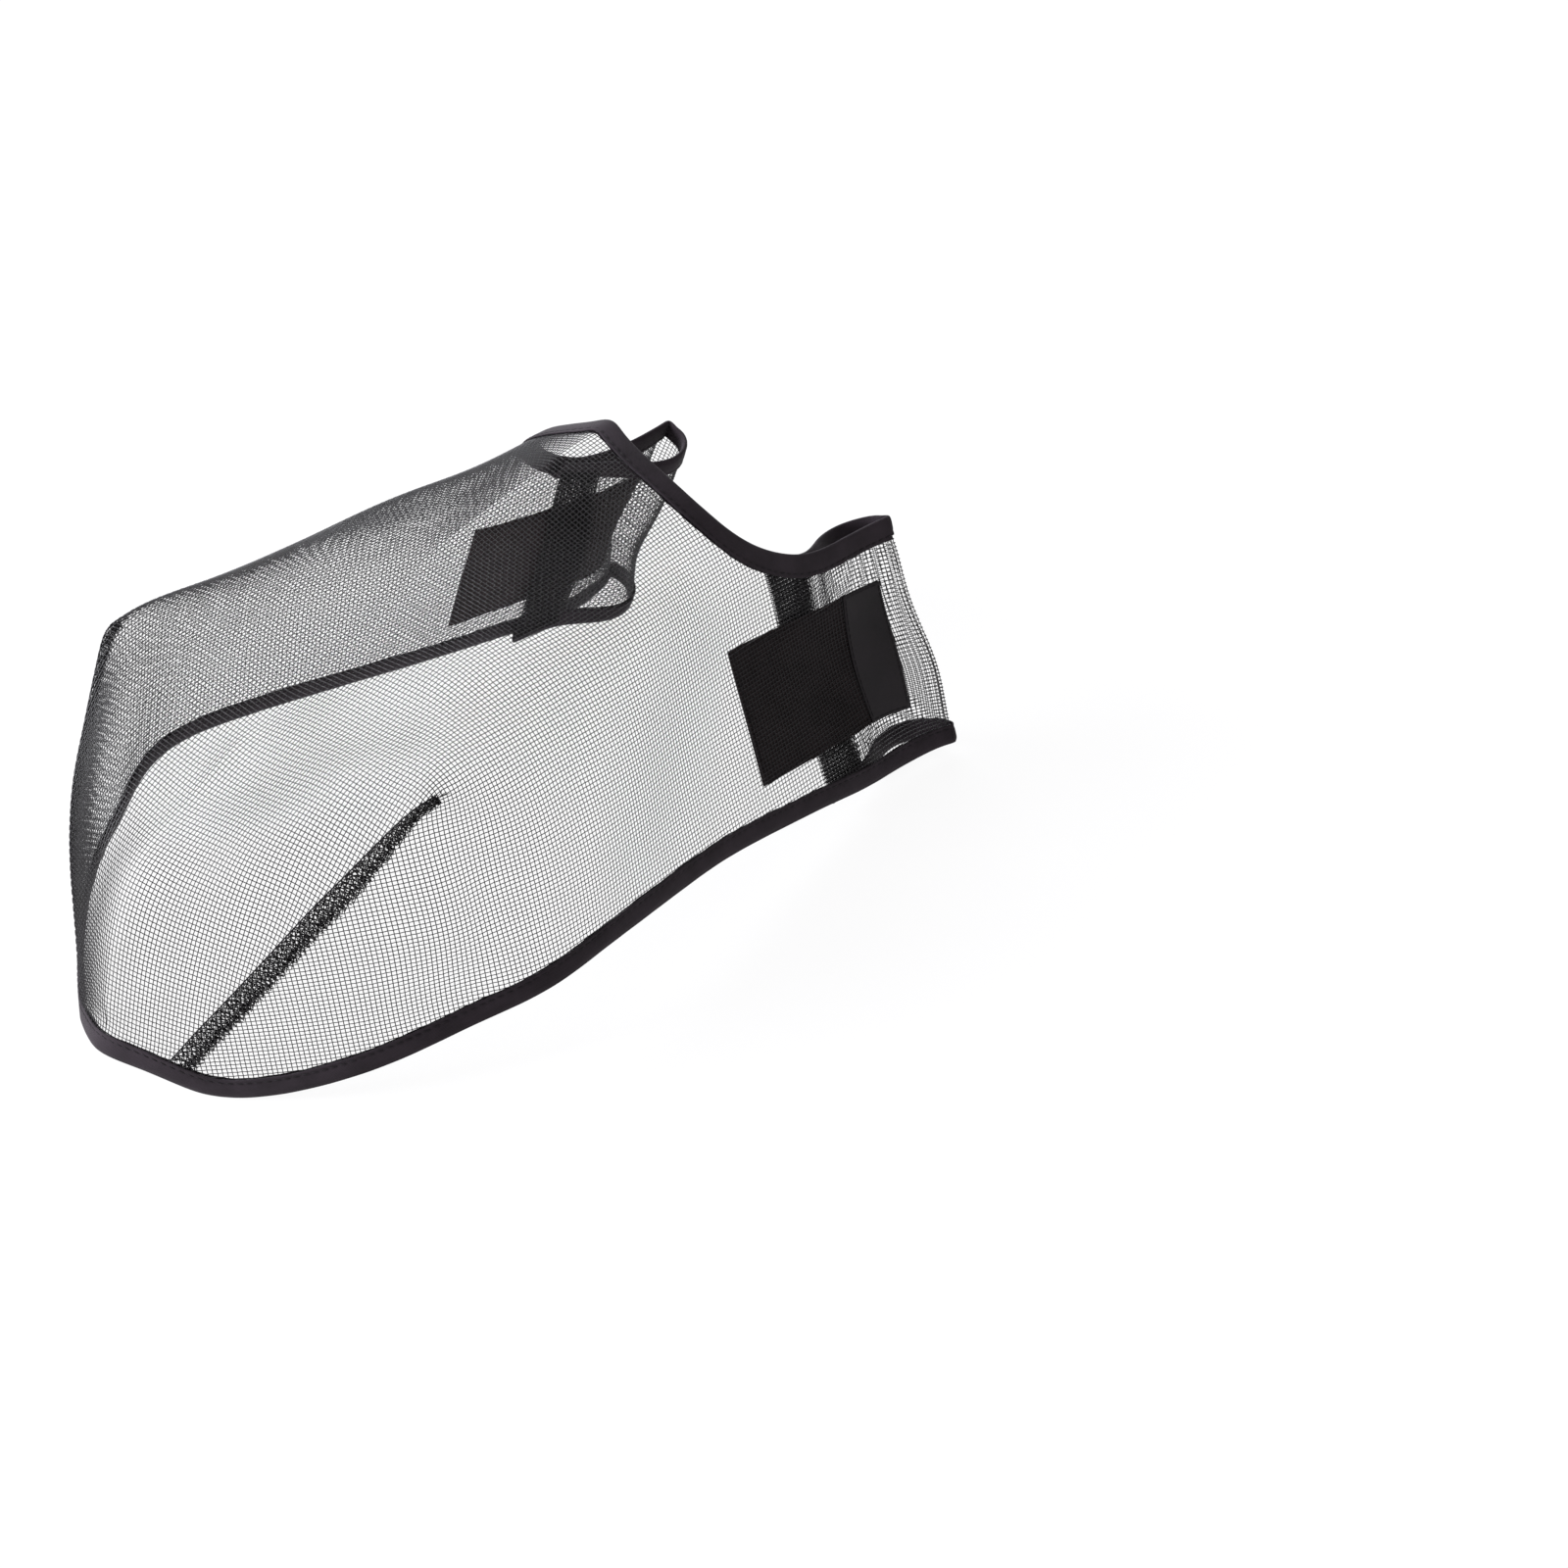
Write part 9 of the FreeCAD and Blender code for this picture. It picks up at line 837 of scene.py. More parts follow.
def build_mesh(name, clip_v, mirror):
    runs = thread_table(clip_v)
    q = np.concatenate([r[0] for r in runs])
    s = np.concatenate([r[1] for r in runs])
    ch = np.concatenate([np.full(len(r[0]), {"F": 1, "W": 2, None: 0}[r[2]]) for r in runs])
    edge = np.concatenate([np.r_[True, np.zeros(len(r[0]) - 2, bool), True] for r in runs])
    u, v = weave(q[:, 0], q[:, 1])
    # run ends stay exactly where the outline puts them
    u, v = np.where(edge, q[:, 0], u), np.where(edge, q[:, 1], v)
    p, n = np.zeros((len(q), 3)), np.zeros((len(q), 3))
    for c, m in (("F", ch == 1), ("W", ch == 2), (None, ch == 0)):
        if m.any():
            p[m], n[m] = cloth(u[m], v[m], c)
    p = pressed(u, v, p, n)
    p[np.abs(q[:, 0]) < 1e-3, 0] = 0.0
    p = p + n * (s * CRIMP)[:, None]
    th = Threads()
    i = 0
    for r in runs:
        k = len(r[0])
        run = p[i:i + k]
        if r[0][0, 0] < 1e-3:
            # threads run on over the ridge, so the two halves overlap a little there
            run = np.r_[run[:1] + unit(run[:1] - run[1:2]) * 0.09, run[1:]]
        th.add(run, n[i:i + k], YARN_R)
        i += k
    return tube_mesh(name, th, mirror=mirror)


def shoelace(p):
    x, y = p[:, 0], p[:, 1]
    return abs((x * np.roll(y, -1) - y * np.roll(x, -1)).sum()) / 2


# ---- materials ----------------------------------------------------------------------------
def mat(name, base, rough, spec=0.5, sheen=0.0, coat=0.0):
    m = bpy.data.materials.new(name)
    m.use_nodes = True
    nt = m.node_tree
    bs = nt.nodes["Principled BSDF"]
    bs.inputs["Base Color"].default_value = (*base, 1)
    bs.inputs["Roughness"].default_value = rough
    bs.inputs["Specular IOR Level"].default_value = spec
    bs.inputs["Sheen Weight"].default_value = sheen
    bs.inputs["Sheen Roughness"].default_value = 0.4
    bs.inputs["Coat Weight"].default_value = coat
    return m, nt, bs


def node(nt, kind, **kw):
    n = nt.nodes.new(kind)
    for k, v in kw.items():
        if k.startswith("in_"):
            n.inputs[k[3:].replace("_", " ")].default_value = v
        else:
            setattr(n, k, v)
    return n


def noise(nt, vec, scale, detail=3.0, rough=0.6):
    n = node(nt, "ShaderNodeTexNoise")
    n.inputs["Scale"].default_value = scale
    n.inputs["Detail"].default_value = detail
    n.inputs["Roughness"].default_value = rough
    nt.links.new(vec, n.inputs["Vector"])
    return n.outputs["Fac"]


def ramp(nt, fac, stops):
    r = node(nt, "ShaderNodeValToRGB")
    e = r.color_ramp.elements
    while len(e) < len(stops):
        e.new(0.5)
    for x, (pos, col) in zip(e, stops):
        x.position = pos
        x.color = (*col, 1)
    nt.links.new(fac, r.inputs["Fac"])
    return r.outputs["Color"]


def to_range(nt, fac, lo, hi, a=0.0, b=1.0):
    r = node(nt, "ShaderNodeMapRange")
    r.inputs["From Min"].default_value = a
    r.inputs["From Max"].default_value = b
    r.inputs["To Min"].default_value = lo
    r.inputs["To Max"].default_value = hi
    nt.links.new(fac, r.inputs["Value"])
    return r.outputs["Result"]


def maths(nt, op, a, b):
    m = node(nt, "ShaderNodeMath", operation=op)
    for i, x in enumerate((a, b)):
        if isinstance(x, (int, float)):
            m.inputs[i].default_value = x
        else:
            nt.links.new(x, m.inputs[i])
    return m.outputs[0]


def bump(nt, bs, height, strength, distance):
    b = node(nt, "ShaderNodeBump")
    b.inputs["Strength"].default_value = strength
    b.inputs["Distance"].default_value = distance
    nt.links.new(height, b.inputs["Height"])
    nt.links.new(b.outputs["Normal"], bs.inputs["Normal"])


def coated_yarn(name, dark, light, rough, spec):
    m, nt, bs = mat(name, dark, rough, spec)
    co = node(nt, "ShaderNodeTexCoord").outputs["Object"]
    f = noise(nt, co, 900.0, 2.0)
    g = noise(nt, co, 60.0, 3.0)
    mix = maths(nt, "ADD", maths(nt, "MULTIPLY", f, 0.5), maths(nt, "MULTIPLY", g, 0.5))
    nt.links.new(ramp(nt, mix, [(0.36, dark), (0.66, light)]), bs.inputs["Base Color"])
    nt.links.new(to_range(nt, g, rough - 0.08, rough + 0.10, 0.3, 0.7), bs.inputs["Roughness"])
    bump(nt, bs, f, 0.25, 0.00005)
    return m


def woven(name, dark, light, rough, spec, sheen, rib_u, rib_v, strength=0.5, depth=0.00008, fuzz=1500.0, slub=90.0):
    """tape or label: fine ribs both ways in the piece's own flat millimetres"""
    m, nt, bs = mat(name, dark, rough, spec, sheen)
    uvn = node(nt, "ShaderNodeUVMap", uv_map="weave")
    sep = node(nt, "ShaderNodeSeparateXYZ")
    nt.links.new(uvn.outputs["UV"], sep.inputs["Vector"])
    co = node(nt, "ShaderNodeTexCoord").outputs["Object"]
    hu = maths(nt, "SINE", maths(nt, "MULTIPLY", sep.outputs["X"], 2 * math.pi / rib_u), 0.0)
    hv = maths(nt, "SINE", maths(nt, "MULTIPLY", sep.outputs["Y"], 2 * math.pi / rib_v), 0.0)
    rib = maths(nt, "MULTIPLY", hu, hv)
    rib01 = maths(nt, "ADD", maths(nt, "MULTIPLY", rib, 0.5), 0.5)
    f = noise(nt, co, fuzz, 2.0)
    g = noise(nt, co, slub, 4.0)
    h = maths(nt, "ADD", maths(nt, "MULTIPLY", rib01, 0.6), maths(nt, "MULTIPLY", f, 0.5))
    shade = maths(nt, "ADD", maths(nt, "MULTIPLY", rib01, 0.35), maths(nt, "MULTIPLY", g, 0.75))
    nt.links.new(ramp(nt, shade, [(0.3, dark), (0.8, light)]), bs.inputs["Base Color"])
    nt.links.new(to_range(nt, g, rough - 0.06, rough + 0.08, 0.3, 0.7), bs.inputs["Roughness"])
    bump(nt, bs, h, strength, depth)
    return m


def pile(name, dark, light, scale, rough, spec, sheen, strength=0.8):
    m, nt, bs = mat(name, dark, rough, spec, sheen)
    co = node(nt, "ShaderNodeTexCoord").outputs["Object"]
    v = node(nt, "ShaderNodeTexVoronoi", feature="F1")
    v.inputs["Scale"].default_value = scale
    nt.links.new(co, v.inputs["Vector"])
    f = noise(nt, co, scale * 0.8, 3.0)
    g = noise(nt, co, 120.0, 3.0)
    h = maths(nt, "ADD", maths(nt, "MULTIPLY", v.outputs["Distance"], 0.8), maths(nt, "MULTIPLY", f, 0.6))
    s = maths(nt, "ADD", maths(nt, "MULTIPLY", h, 0.5), maths(nt, "MULTIPLY", g, 0.5))
    nt.links.new(ramp(nt, s, [(0.3, dark), (0.75, light)]), bs.inputs["Base Color"])
    nt.links.new(to_range(nt, f, rough - 0.08, min(1.0, rough + 0.08), 0.3, 0.7), bs.inputs["Roughness"])
    bump(nt, bs, h, strength, 0.0002)
    return m


M_YARN = coated_yarn("coated_yarn", (0.005, 0.0042, 0.0052), (0.014, 0.0122, 0.0146), 0.33, 0.36)
# the same coated yarn painted darker for the stacked layers of the dart allowances and flap end hems: painted shade
# between the layers
M_YARN_LAYER_SHADE = coated_yarn("coated_yarn_layers_painted_shade", (0.003, 0.0026, 0.0031), (0.009, 0.0078, 0.0092), 0.45, 0.12)
# the tape's lighter random patches are partly the weave's own tone and partly painted sheen
M_TAPE = woven("binding_weave", (0.0105, 0.0076, 0.0098), (0.033, 0.0255, 0.0318), 0.84, 0.13, 0.09, 0.62, 0.55, 0.7, 0.00012)
M_THREAD = coated_yarn("sewing_thread", (0.005, 0.0042, 0.0052), (0.016, 0.0132, 0.0160), 0.55, 0.16)
M_LOOP = pile("loop_pile", (0.0080, 0.0062, 0.0066), (0.029, 0.0220, 0.0232), 1400.0, 0.92, 0.08, 0.05)
M_HOOK = woven("hook_base", (0.008, 0.0072, 0.0082), (0.026, 0.0230, 0.0265), 0.55, 0.3, 0.0, 1.1, 0.9)
M_LABEL = woven("label_damask", (0.0050, 0.0038, 0.0046), (0.0190, 0.0150, 0.0180), 0.55, 0.22, 0.03, 0.55, 0.42, 0.9, 0.00010)


def done(ob, material, body, slot, *nodes):
    ob.data.materials.append(material)
    if body:
        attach(ob, body)
    if nodes:
        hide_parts(*nodes)
    return ob


# ---- the mesh cloth ---------------------------------------------------------------------------
sides = (("left", False), ("right", True))
for side, mirror in sides:
    for part, clip in (("rear", (FOLD_V, SPLIT_V)), ("front", (SPLIT_V, 140.0))):
        ob = build_mesh("mesh_%s_%s" % (part, side), clip, mirror)
        done(ob, M_YARN, "net", "insect_mesh", "mesh_panel")


# ---- folded tape ----------------------------------------------------------------------------------
def tape_profile(width):
    """closed section of a tape folded over an edge: (inward, out of the cloth) in mm"""
    w = width - 1.0
    front = [(w - 0.02, 0.50), (w - 0.10, 0.72), (w - 0.45, 0.84), (w - 1.0, 0.80), (w - 1.3, 0.74), (w - 1.6, 0.80), (w - 2.3, 0.90),
             (w - 3.4, 0.95), (w - 4.6, 0.96), (w - 5.6, 0.93), (0.35, 0.90), (-0.2, 0.80), (-0.62, 0.62), (-0.9, 0.35)]
    front = sorted(set(front), key=lambda q: -q[0])
    return front + [(-1.0, 0.0)] + [(a, -h) for a, h in reversed(front)] + [(w - 0.10, -0.33), (w - 2.5, -0.33), (0.0, -0.33), (-0.25, 0.0), (0.0, 0.33), (w - 2.5, 0.33), (w - 0.10, 0.33)]


def tape_mesh(name, st, width, mirror, wobble=1.0):
    """st: stations of edge point, inward and outward directions (n x 9)"""
    e, b, n = st[:, :3], unit(st[:, 3:6]), unit(st[:, 6:9])
    s = arc(e)
    prof = tape_profile(width)
    m = len(prof)
    w = width - 1.0
    along = np.r_[0, np.cumsum([math.hypot(prof[i + 1][0] - prof[i][0], prof[i + 1][1] - prof[i][1]) for i in range(m - 1)])]
    verts, uv = [], []
    pucker = 0.5 + 0.5 * np.cos(2 * math.pi * s / 3.1)
    for i, (a, h) in enumerate(prof):
        near = math.exp(-((a - (w - 1.3)) / 0.9) ** 2)
        edge = max(0.0, 1 - abs(a - w) / 1.2)
        da = wobble * edge * (0.10 * np.sin(s / 3.7 + (1.0 if h > 0 else 2.2)) + 0.07 * np.sin(s / 1.3 + i))
        out = np.sign(h) if abs(h) > 0.34 else 0.0
        dh = out * (-0.09 * near * pucker + 0.03 * np.sin(s / 5.0 + a) + 0.02 * np.sin(s / 2.1 + 2 * a))
        tip = wobble * (0.06 * np.sin(s / 9.0) if a < -0.5 else 0.0)
        verts.append(e + b * (a + da + tip)[:, None] + n * (h + dh)[:, None])
        uv.append(np.c_[s, np.full(len(s), along[i])])
    v = np.stack(verts, 1).reshape(-1, 3)
    t = np.stack(uv, 1).reshape(-1, 2)
    k = np.arange(len(e) - 1)[:, None] * m
    i = np.arange(m)[None]
    j = (i + 1) % m
    q = np.stack([k + i, k + m + i, k + m + j, k + j], -1).reshape(-1, 4)
    # close both ends between the outer and the inner line of the section
    half = (m - 7 - 1) // 2
    caps = []
    outer = list(range(0, 2 * half + 1))
    inner = [m - 1] * 3 + [m - 2] * (half - 6) + [m - 3] * 2 + [m - 4] * 3 + [m - 5] * 2 + [m - 6] * (half - 6) + [m - 7] * 3
    inner = (inner + [m - 7] * 40)[:len(outer)]
    for base, rev in ((0, False), ((len(e) - 1) * m, True)):
        for x in range(len(outer) - 1):
            f = [base + outer[x], base + outer[x + 1], base + inner[x + 1], base + inner[x]]
            if rev:
                f = f[::-1]
            caps.append(f)
    caps = [f for f in caps if len(set(f)) == 4]
    if caps:
        q = np.r_[q, np.array(caps)]
    if mirror:
        v = flip(v)
    ob = make(name, v, q, t, flipped=mirror)
    return ob


done(tape_mesh("top_hem_tape_folded", ST_TOP, TOP_W, False), M_TAPE, "net", "binding_tape", "top_hem_tape")
done(tape_mesh("muzzle_hem_tape_folded", ST_LOW, LOW_W, False), M_TAPE, "net", "binding_tape", "muzzle_and_jaw_hem_tape")


def stitches(th, p, n, t, pitch=3.1, length=2.5, r=0.15, lift=0.10, sink=0.16, slant=0.0, b=None):
    """one row of separate stitches along a line of stations"""
    s = arc(p)
    c = np.arange(pitch * 0.6, s[-1] - pitch * 0.5, pitch)
    for i, x in enumerate(c):
        x = x + 0.12 * math.sin(i * 7.7)
        g = x + np.array([-0.5, -0.36, 0.0, 0.36, 0.5]) * length
        q = np.stack([np.interp(g, s, p[:, k]) for k in range(3)], 1)
        m = unit(np.stack([np.interp(g, s, n[:, k]) for k in range(3)], 1))
        h = np.array([-sink, lift * 0.7, lift, lift * 0.7, -sink])
        if b is not None:
            bb = unit(np.stack([np.interp(g, s, b[:, k]) for k in range(3)], 1))
            q = q + bb * (np.array([-0.5, -0.36, 0, 0.36, 0.5]) * slant)[:, None]
        th.add(q + m * h[:, None], m, r * np.array([0.7, 1, 1, 1, 0.7]))


def tape_stitches(name, st, width, mirror, body, node, both=True, slot="sewing_thread"):
    th = Threads()
    e, b, n = st[:, :3], unit(st[:, 3:6]), unit(st[:, 6:9])
    a = width - 1.0 - 1.3
    for sgn in ((1, -1) if both else (1,)):
        p = e + b * a + n * (sgn * 0.72)
        stitches(th, p, n * sgn, None, slant=0.25, b=b)
    ob = tube_mesh(name, th, sides=6, mirror=mirror)
    return done(ob, M_THREAD, body, slot, *([node] if node else []))


tape_stitches("top_hem_lockstitch", ST_TOP, TOP_W, False, "net", "top_hem_stitching")
tape_stitches("muzzle_hem_lockstitch", ST_LOW, LOW_W, False, "net", "muzzle_hem_stitching")


# ---- darts ------------------------------------------------------------------------------------------
def seam_frame(line):
    s = arc(line)
    t = unit(np.gradient(line, axis=0))
    return s, t


def nearest(line, q):
    """for each flat point: how far along the line its foot is, and its signed distance"""
    a, b = line[:-1], line[1:]
    d = b - a
    best = np.full(len(q), 1e9)
    pos, sg = np.zeros(len(q)), np.zeros(len(q))
    s = arc(line)
    for i in range(len(a)):
        w = q - a[i]
        t = np.clip((w @ d[i]) / (d[i] @ d[i]), 0, 1)
        f = w - t[:, None] * d[i]
        dist = np.hypot(f[:, 0], f[:, 1])
        m = dist < best
        best[m] = dist[m]
        pos[m] = s[i] + t[m] * (s[i + 1] - s[i])
        sg[m] = np.sign(d[i][0] * w[m, 1] - d[i][1] * w[m, 0])
    return pos, best * sg


LF_, LW_ = arc(SEAM_F)[-1], arc(SEAM_W)[-1]
KK = LW_ / LF_
nW = unit(np.gradient(SEAM_W, axis=0))
nW = np.c_[nW[:, 1], -nW[:, 0]]          # toward the jaw side


def on_wing(pos, d, lift):
    """point on the wing at distance pos along the seam and d beside it, lifted along the normal"""
    s = arc(SEAM_W)
    q = np.c_[np.interp(pos, s, SEAM_W[:, 0]), np.interp(pos, s, SEAM_W[:, 1])]
    m = unit(np.c_[np.interp(pos, s, nW[:, 0]), np.interp(pos, s, nW[:, 1])])
    q = q + m * d[:, None]
    p, n = cloth(q[:, 0], q[:, 1], "W")
    return p + n * lift[:, None], n


def allowance(th, line, scale, want, depth, ph, pos_end, tilt=0.0):
    """threads of the cloth past the seam, folded back onto the wing. want is the sign of the far side."""
    lo, hi = line.min(0) - 12, line.max(0) + 12
    c, s_ = math.cos(tilt), math.sin(tilt)
    for axis, pitch in ((0, PITCH_U), (1, PITCH_V)):
        o = 1 - axis
        for x in np.arange(lo[axis] - 20, hi[axis] + 20, pitch):
            g = np.arange(lo[o] - 20, hi[o] + 20, 0.75)
            q = np.zeros((len(g), 2))
            q[:, axis] = x + ph
            q[:, o] = g
            mid = line.mean(0)
            q = (q - mid) @ np.array([[c, s_], [-s_, c]]) + mid
            pos, d = nearest(line, q)
            d = d * want
            wdt = ALLOW_W * min(1.0, 1.0)
            ragged = wdt + 0.55 * math.sin(x * 5.1) + 0.3 * math.sin(x * 1.7)
            # a dart's allowance narrows toward its tip
            lim = np.minimum(ragged, 4.4 + pos * scale * 0.09 + 0.4 * math.sin(x * 3.3))
            ok = (d > 0.05) & (d < lim) & (pos * scale > 0.3 + 0.5 * math.sin(x * 2.3) ** 2) & (pos * scale < pos_end)
            i = 0
            while i < len(g):
                if not ok[i]:
                    i += 1
                    continue
                j = i
                while j + 1 < len(g) and ok[j + 1]:
                    j += 1
                if j - i >= 1:
                    lift = -(depth + 0.10 * np.sin(np.arange(j - i + 1) * 2.0 + x) + 0.16 * np.sin(pos[i:j + 1] / 4.0 + d[i:j + 1]))
                    p, n = on_wing(pos[i:j + 1] * scale, d[i:j + 1], lift)
                    th.add(p, n, YARN_R)
                i = j + 1
            # next thread


sgnW = np.sign(nearest(SEAM_W, SEAM_W[30:31] + nW[30:31] * 3)[1][0])   # sign of the jaw side in the wing chart
mF = unit(np.gradient(SEAM_F, axis=0))
mF = np.c_[mF[:, 1], -mF[:, 0]]
if mF[30][0] < 0:
    mF = -mF
sgnF = np.sign(nearest(SEAM_F, SEAM_F[30:31] + mF[30:31] * 3)[1][0])    # sign of the side past the seam
jaw_gap = []
END_POS = LW_ - 7.0
for side, mirror in sides:
    th = Threads()
    allowance(th, SEAM_W, 1.0, -sgnW, 0.42, 0.4, END_POS)
    allowance(th, SEAM_F, KK, sgnF, 0.80, 0.1, END_POS)
    ob = tube_mesh("dart_allowance_layers_" + side, th, mirror=mirror)
    # the allowance layers take the darker yarn: painted shade between the layers
    done(ob, M_YARN_LAYER_SHADE, "net", "layered_mesh", "dart_allowance_" + side)
    # seam: the turned edge, its needle thread and the overlock along the cut edge
    th = Threads()
    pos = np.arange(0.3, END_POS + 1.5, 0.9)
    p, n = on_wing(pos, np.full(len(pos), 0.12), -0.12 + 0.07 * np.sin(pos * 2.2))
    th.add(p, n, 0.25)
    p, n = on_wing(pos, np.full(len(pos), 0.75), np.full(len(pos), 0.18))
    stitches(th, p, n, None, pitch=2.6, length=2.1, r=0.13, lift=0.08, sink=0.2)
    zig = np.arange(0.6, END_POS, 0.44)
    wz = np.minimum(ALLOW_W, 4.5 + zig * 0.09)
    d = wz - 1.6 + 1.75 * np.sin(np.arange(len(zig)) * math.pi / 2 + 0.3) + 0.25 * np.sin(zig * 1.9)
    p, n = on_wing(zig, d, -(1.35 + 0.2 * np.sin(zig * 3.3)))
    th.add(p, n, 0.18)
    d = wz - 2.6 + 1.3 * np.sin(np.arange(len(zig)) * math.pi / 2 + 1.7) + 0.3 * np.sin(zig * 1.1)
    p, n = on_wing(zig + 0.3, d, -(1.15 + 0.2 * np.sin(zig * 2.3)))
    th.add(p, n, 0.15)
    # the looper threads wander over the whole allowance in small clumps
    for q_ in range(2):
        ph_ = q_ * 2.1
        w_ = wz * (0.5 + 0.42 * np.sin(zig * (1.9 + 0.37 * q_) + ph_ + 1.2 * np.sin(zig * 0.71 + ph_)))
        p, n = on_wing(zig + 0.5 * np.sin(zig * 3.1 + ph_), w_, -(0.95 + 0.35 * q_ / 2 + 0.15 * np.sin(zig * 2.9 + ph_)))
        th.add(p, n, 0.15)
    # a short bar tack across the tip, and the seam threads' tails past it
    for q_ in range(5):
        w_ = np.linspace(-0.4, 4.6, 12)
        p, n = on_wing(0.5 + 0.35 * q_ + 0.25 * np.sin(w_ * 2.0 + q_), w_, -(0.75 + 0.25 * np.sin(w_ * 3.0 + q_ * 1.7)))
        th.add(p, n, 0.15)
    for q_ in range(3):
        w_ = np.linspace(0.0, 1.0, 8)
        p, n = on_wing(0.9 - 0 * w_, 1.0 + q_ * 0.8 + 0.5 * np.sin(w_ * 3 + q_), -(0.55 + 0.6 * w_))
        q2 = cloth(SEAM_W[0, 0] + 0 * w_ + (q_ - 1) * 1.1 * w_ + 1.0, SEAM_W[0, 1] - (0.2 + (2.6 + q_) * w_))[0]
        th.add(p * (1 - w_[:, None]) + (q2 - n * 0.6) * w_[:, None], n, 0.11)
    ob = tube_mesh("dart_seam_threads_" + side, th, sides=5, mirror=mirror)
    done(ob, M_THREAD, "net", "sewing_thread", "dart_stitching_" + side)


# ---- slabs: patches and labels ---------------------------------------------------------------------
def slab_mesh(name, net, size, lo, hi, side_sign, mirror, na, nb, relief=0.0, round_mm=0.7, edge_flat=0.0, seed=1, weave_uv=True):
    """a thin pad on a control net. size is its flat (across, along) in mm; lo and hi are its two faces' distances
    from the cloth on the side side_sign; relief raises a pile on the far face"""
    a, b = np.linspace(0, 1, na), np.linspace(0, 1, nb)
    A, B = [x.ravel() for x in np.meshgrid(a, b, indexing="ij")]
    p, n = net_at(net, A, B)
    ex = np.minimum(A, 1 - A) * size[0]
    ey = np.minimum(B, 1 - B) * size[1]
    e = np.minimum(ex, ey)
    h = np.clip(e / round_mm, 0, 1)
    h = np.sqrt(1 - (1 - h) ** 2)
    rng = np.random.RandomState(seed)
    bumpy = rng.rand(len(A))
    inside = np.clip((np.minimum(ex, ey) - edge_flat) / 0.8, 0, 1) if edge_flat else np.clip(e / 1.2, 0, 1)
    t = lo + (hi - lo) * (0.25 + 0.75 * h) * (1 - 0.18 * (1 - inside) * (edge_flat > 0)) + relief * bumpy * inside
    # stitched border presses in
    t = t - 0.10 * np.exp(-((e - 1.7) / 0.5) ** 2) * (hi - lo)
    far = p + n * (side_sign * t)[:, None]
    near = p + n * (side_sign * lo)
    v = np.r_[far, near]
    idx = np.arange(na * nb).reshape(na, nb)
    q = np.stack([idx[:-1, :-1], idx[1:, :-1], idx[1:, 1:], idx[:-1, 1:]], -1).reshape(-1, 4)
    q2 = q[:, ::-1] + na * nb
    ring = np.r_[idx[:, 0], idx[-1, 1:], idx[-2::-1, -1], idx[0, -2:0:-1]]
    r2 = np.roll(ring, -1)
    w = np.stack([r2, ring, ring + na * nb, r2 + na * nb], -1)
    q = np.r_[q, q2, w]
    if side_sign < 0:
        q = q[:, ::-1]
    uv = np.c_[A * size[0], B * size[1]]
    uv = np.r_[uv, uv]
    if mirror:
        v = flip(v)
    # the control nets run so that across x along points away from the horse's side
    return make(name, v, q, uv, flipped=mirror)


def border_stitches(th, net, size, inset, lift, side_sign, pitch=3.0, sides_used="abcd"):
    lines = {"a": (lambda t: (inset / size[0] + 0 * t, t)), "b": (lambda t: (1 - inset / size[0] + 0 * t, t)),
             "c": (lambda t: (t, inset / size[1] + 0 * t)), "d": (lambda t: (t, 1 - inset / size[1] + 0 * t))}
    for k in sides_used:
        lo = inset / (size[1] if k in "ab" else size[0])
        t = np.linspace(lo, 1 - lo, 60)
        a, b = lines[k](t)
        p, n = net_at(net, a, b)
        stitches(th, p + n * (side_sign * lift), n * side_sign, None, pitch=pitch, length=2.3, r=0.14, lift=0.10, sink=0.15)


PATCH = (np.linalg.norm(NET_PATCH[-1, 2, :3] - NET_PATCH[0, 2, :3]), np.linalg.norm(NET_PATCH[2, -1, :3] - NET_PATCH[2, 0, :3]))
LABEL = (np.linalg.norm(NET_LABEL[-1, 2, :3] - NET_LABEL[0, 2, :3]), np.linalg.norm(NET_LABEL[2, -1, :3] - NET_LABEL[2, 0, :3]))
HOOK = (np.linalg.norm(NET_HOOK[-1, 2, :3] - NET_HOOK[0, 2, :3]), np.linalg.norm(NET_HOOK[2, -1, :3] - NET_HOOK[2, 0, :3]))
for side, mirror in sides:
    ob = slab_mesh("loop_patch_pile_" + side, NET_PATCH, PATCH, 0.30, 1.35, -1, mirror, 130, 84, relief=0.28, edge_flat=1.6, seed=3)
    done(ob, M_LOOP, "net", "loop_pile", "loop_patch_" + side)
    ob = slab_mesh("woven_label_" + side, NET_LABEL, LABEL, 0.30, 0.72, 1, mirror, 30, 70, relief=0.0, round_mm=0.35)
    done(ob, M_LABEL, "net", "woven_label", "label_" + side)
    th = Threads()
    border_stitches(th, NET_PATCH, PATCH, 1.7, 1.36, -1)
    border_stitches(th, NET_PATCH, PATCH, 1.7, 0.26, 1, sides_used="abcd")
    ob = tube_mesh("patch_lockstitch_" + side, th, sides=6, mirror=mirror)
    done(ob, M_THREAD, "net", "sewing_thread", "patch_stitching_" + side)
    th = Threads()
    border_stitches(th, NET_LABEL, LABEL, 0.9, 0.72, 1, pitch=2.4)
    ob = tube_mesh("label_lockstitch_" + side, th, sides=6, mirror=mirror)
    done(ob, M_THREAD, "net", "sewing_thread", "label_stitching_" + side)


# ---- fold-over flaps ------------------------------------------------------------------------------------
def top_cut(s):
    return np.interp(s, FLAP_TOP_CUT[:, 0], FLAP_TOP_CUT[:, 1])


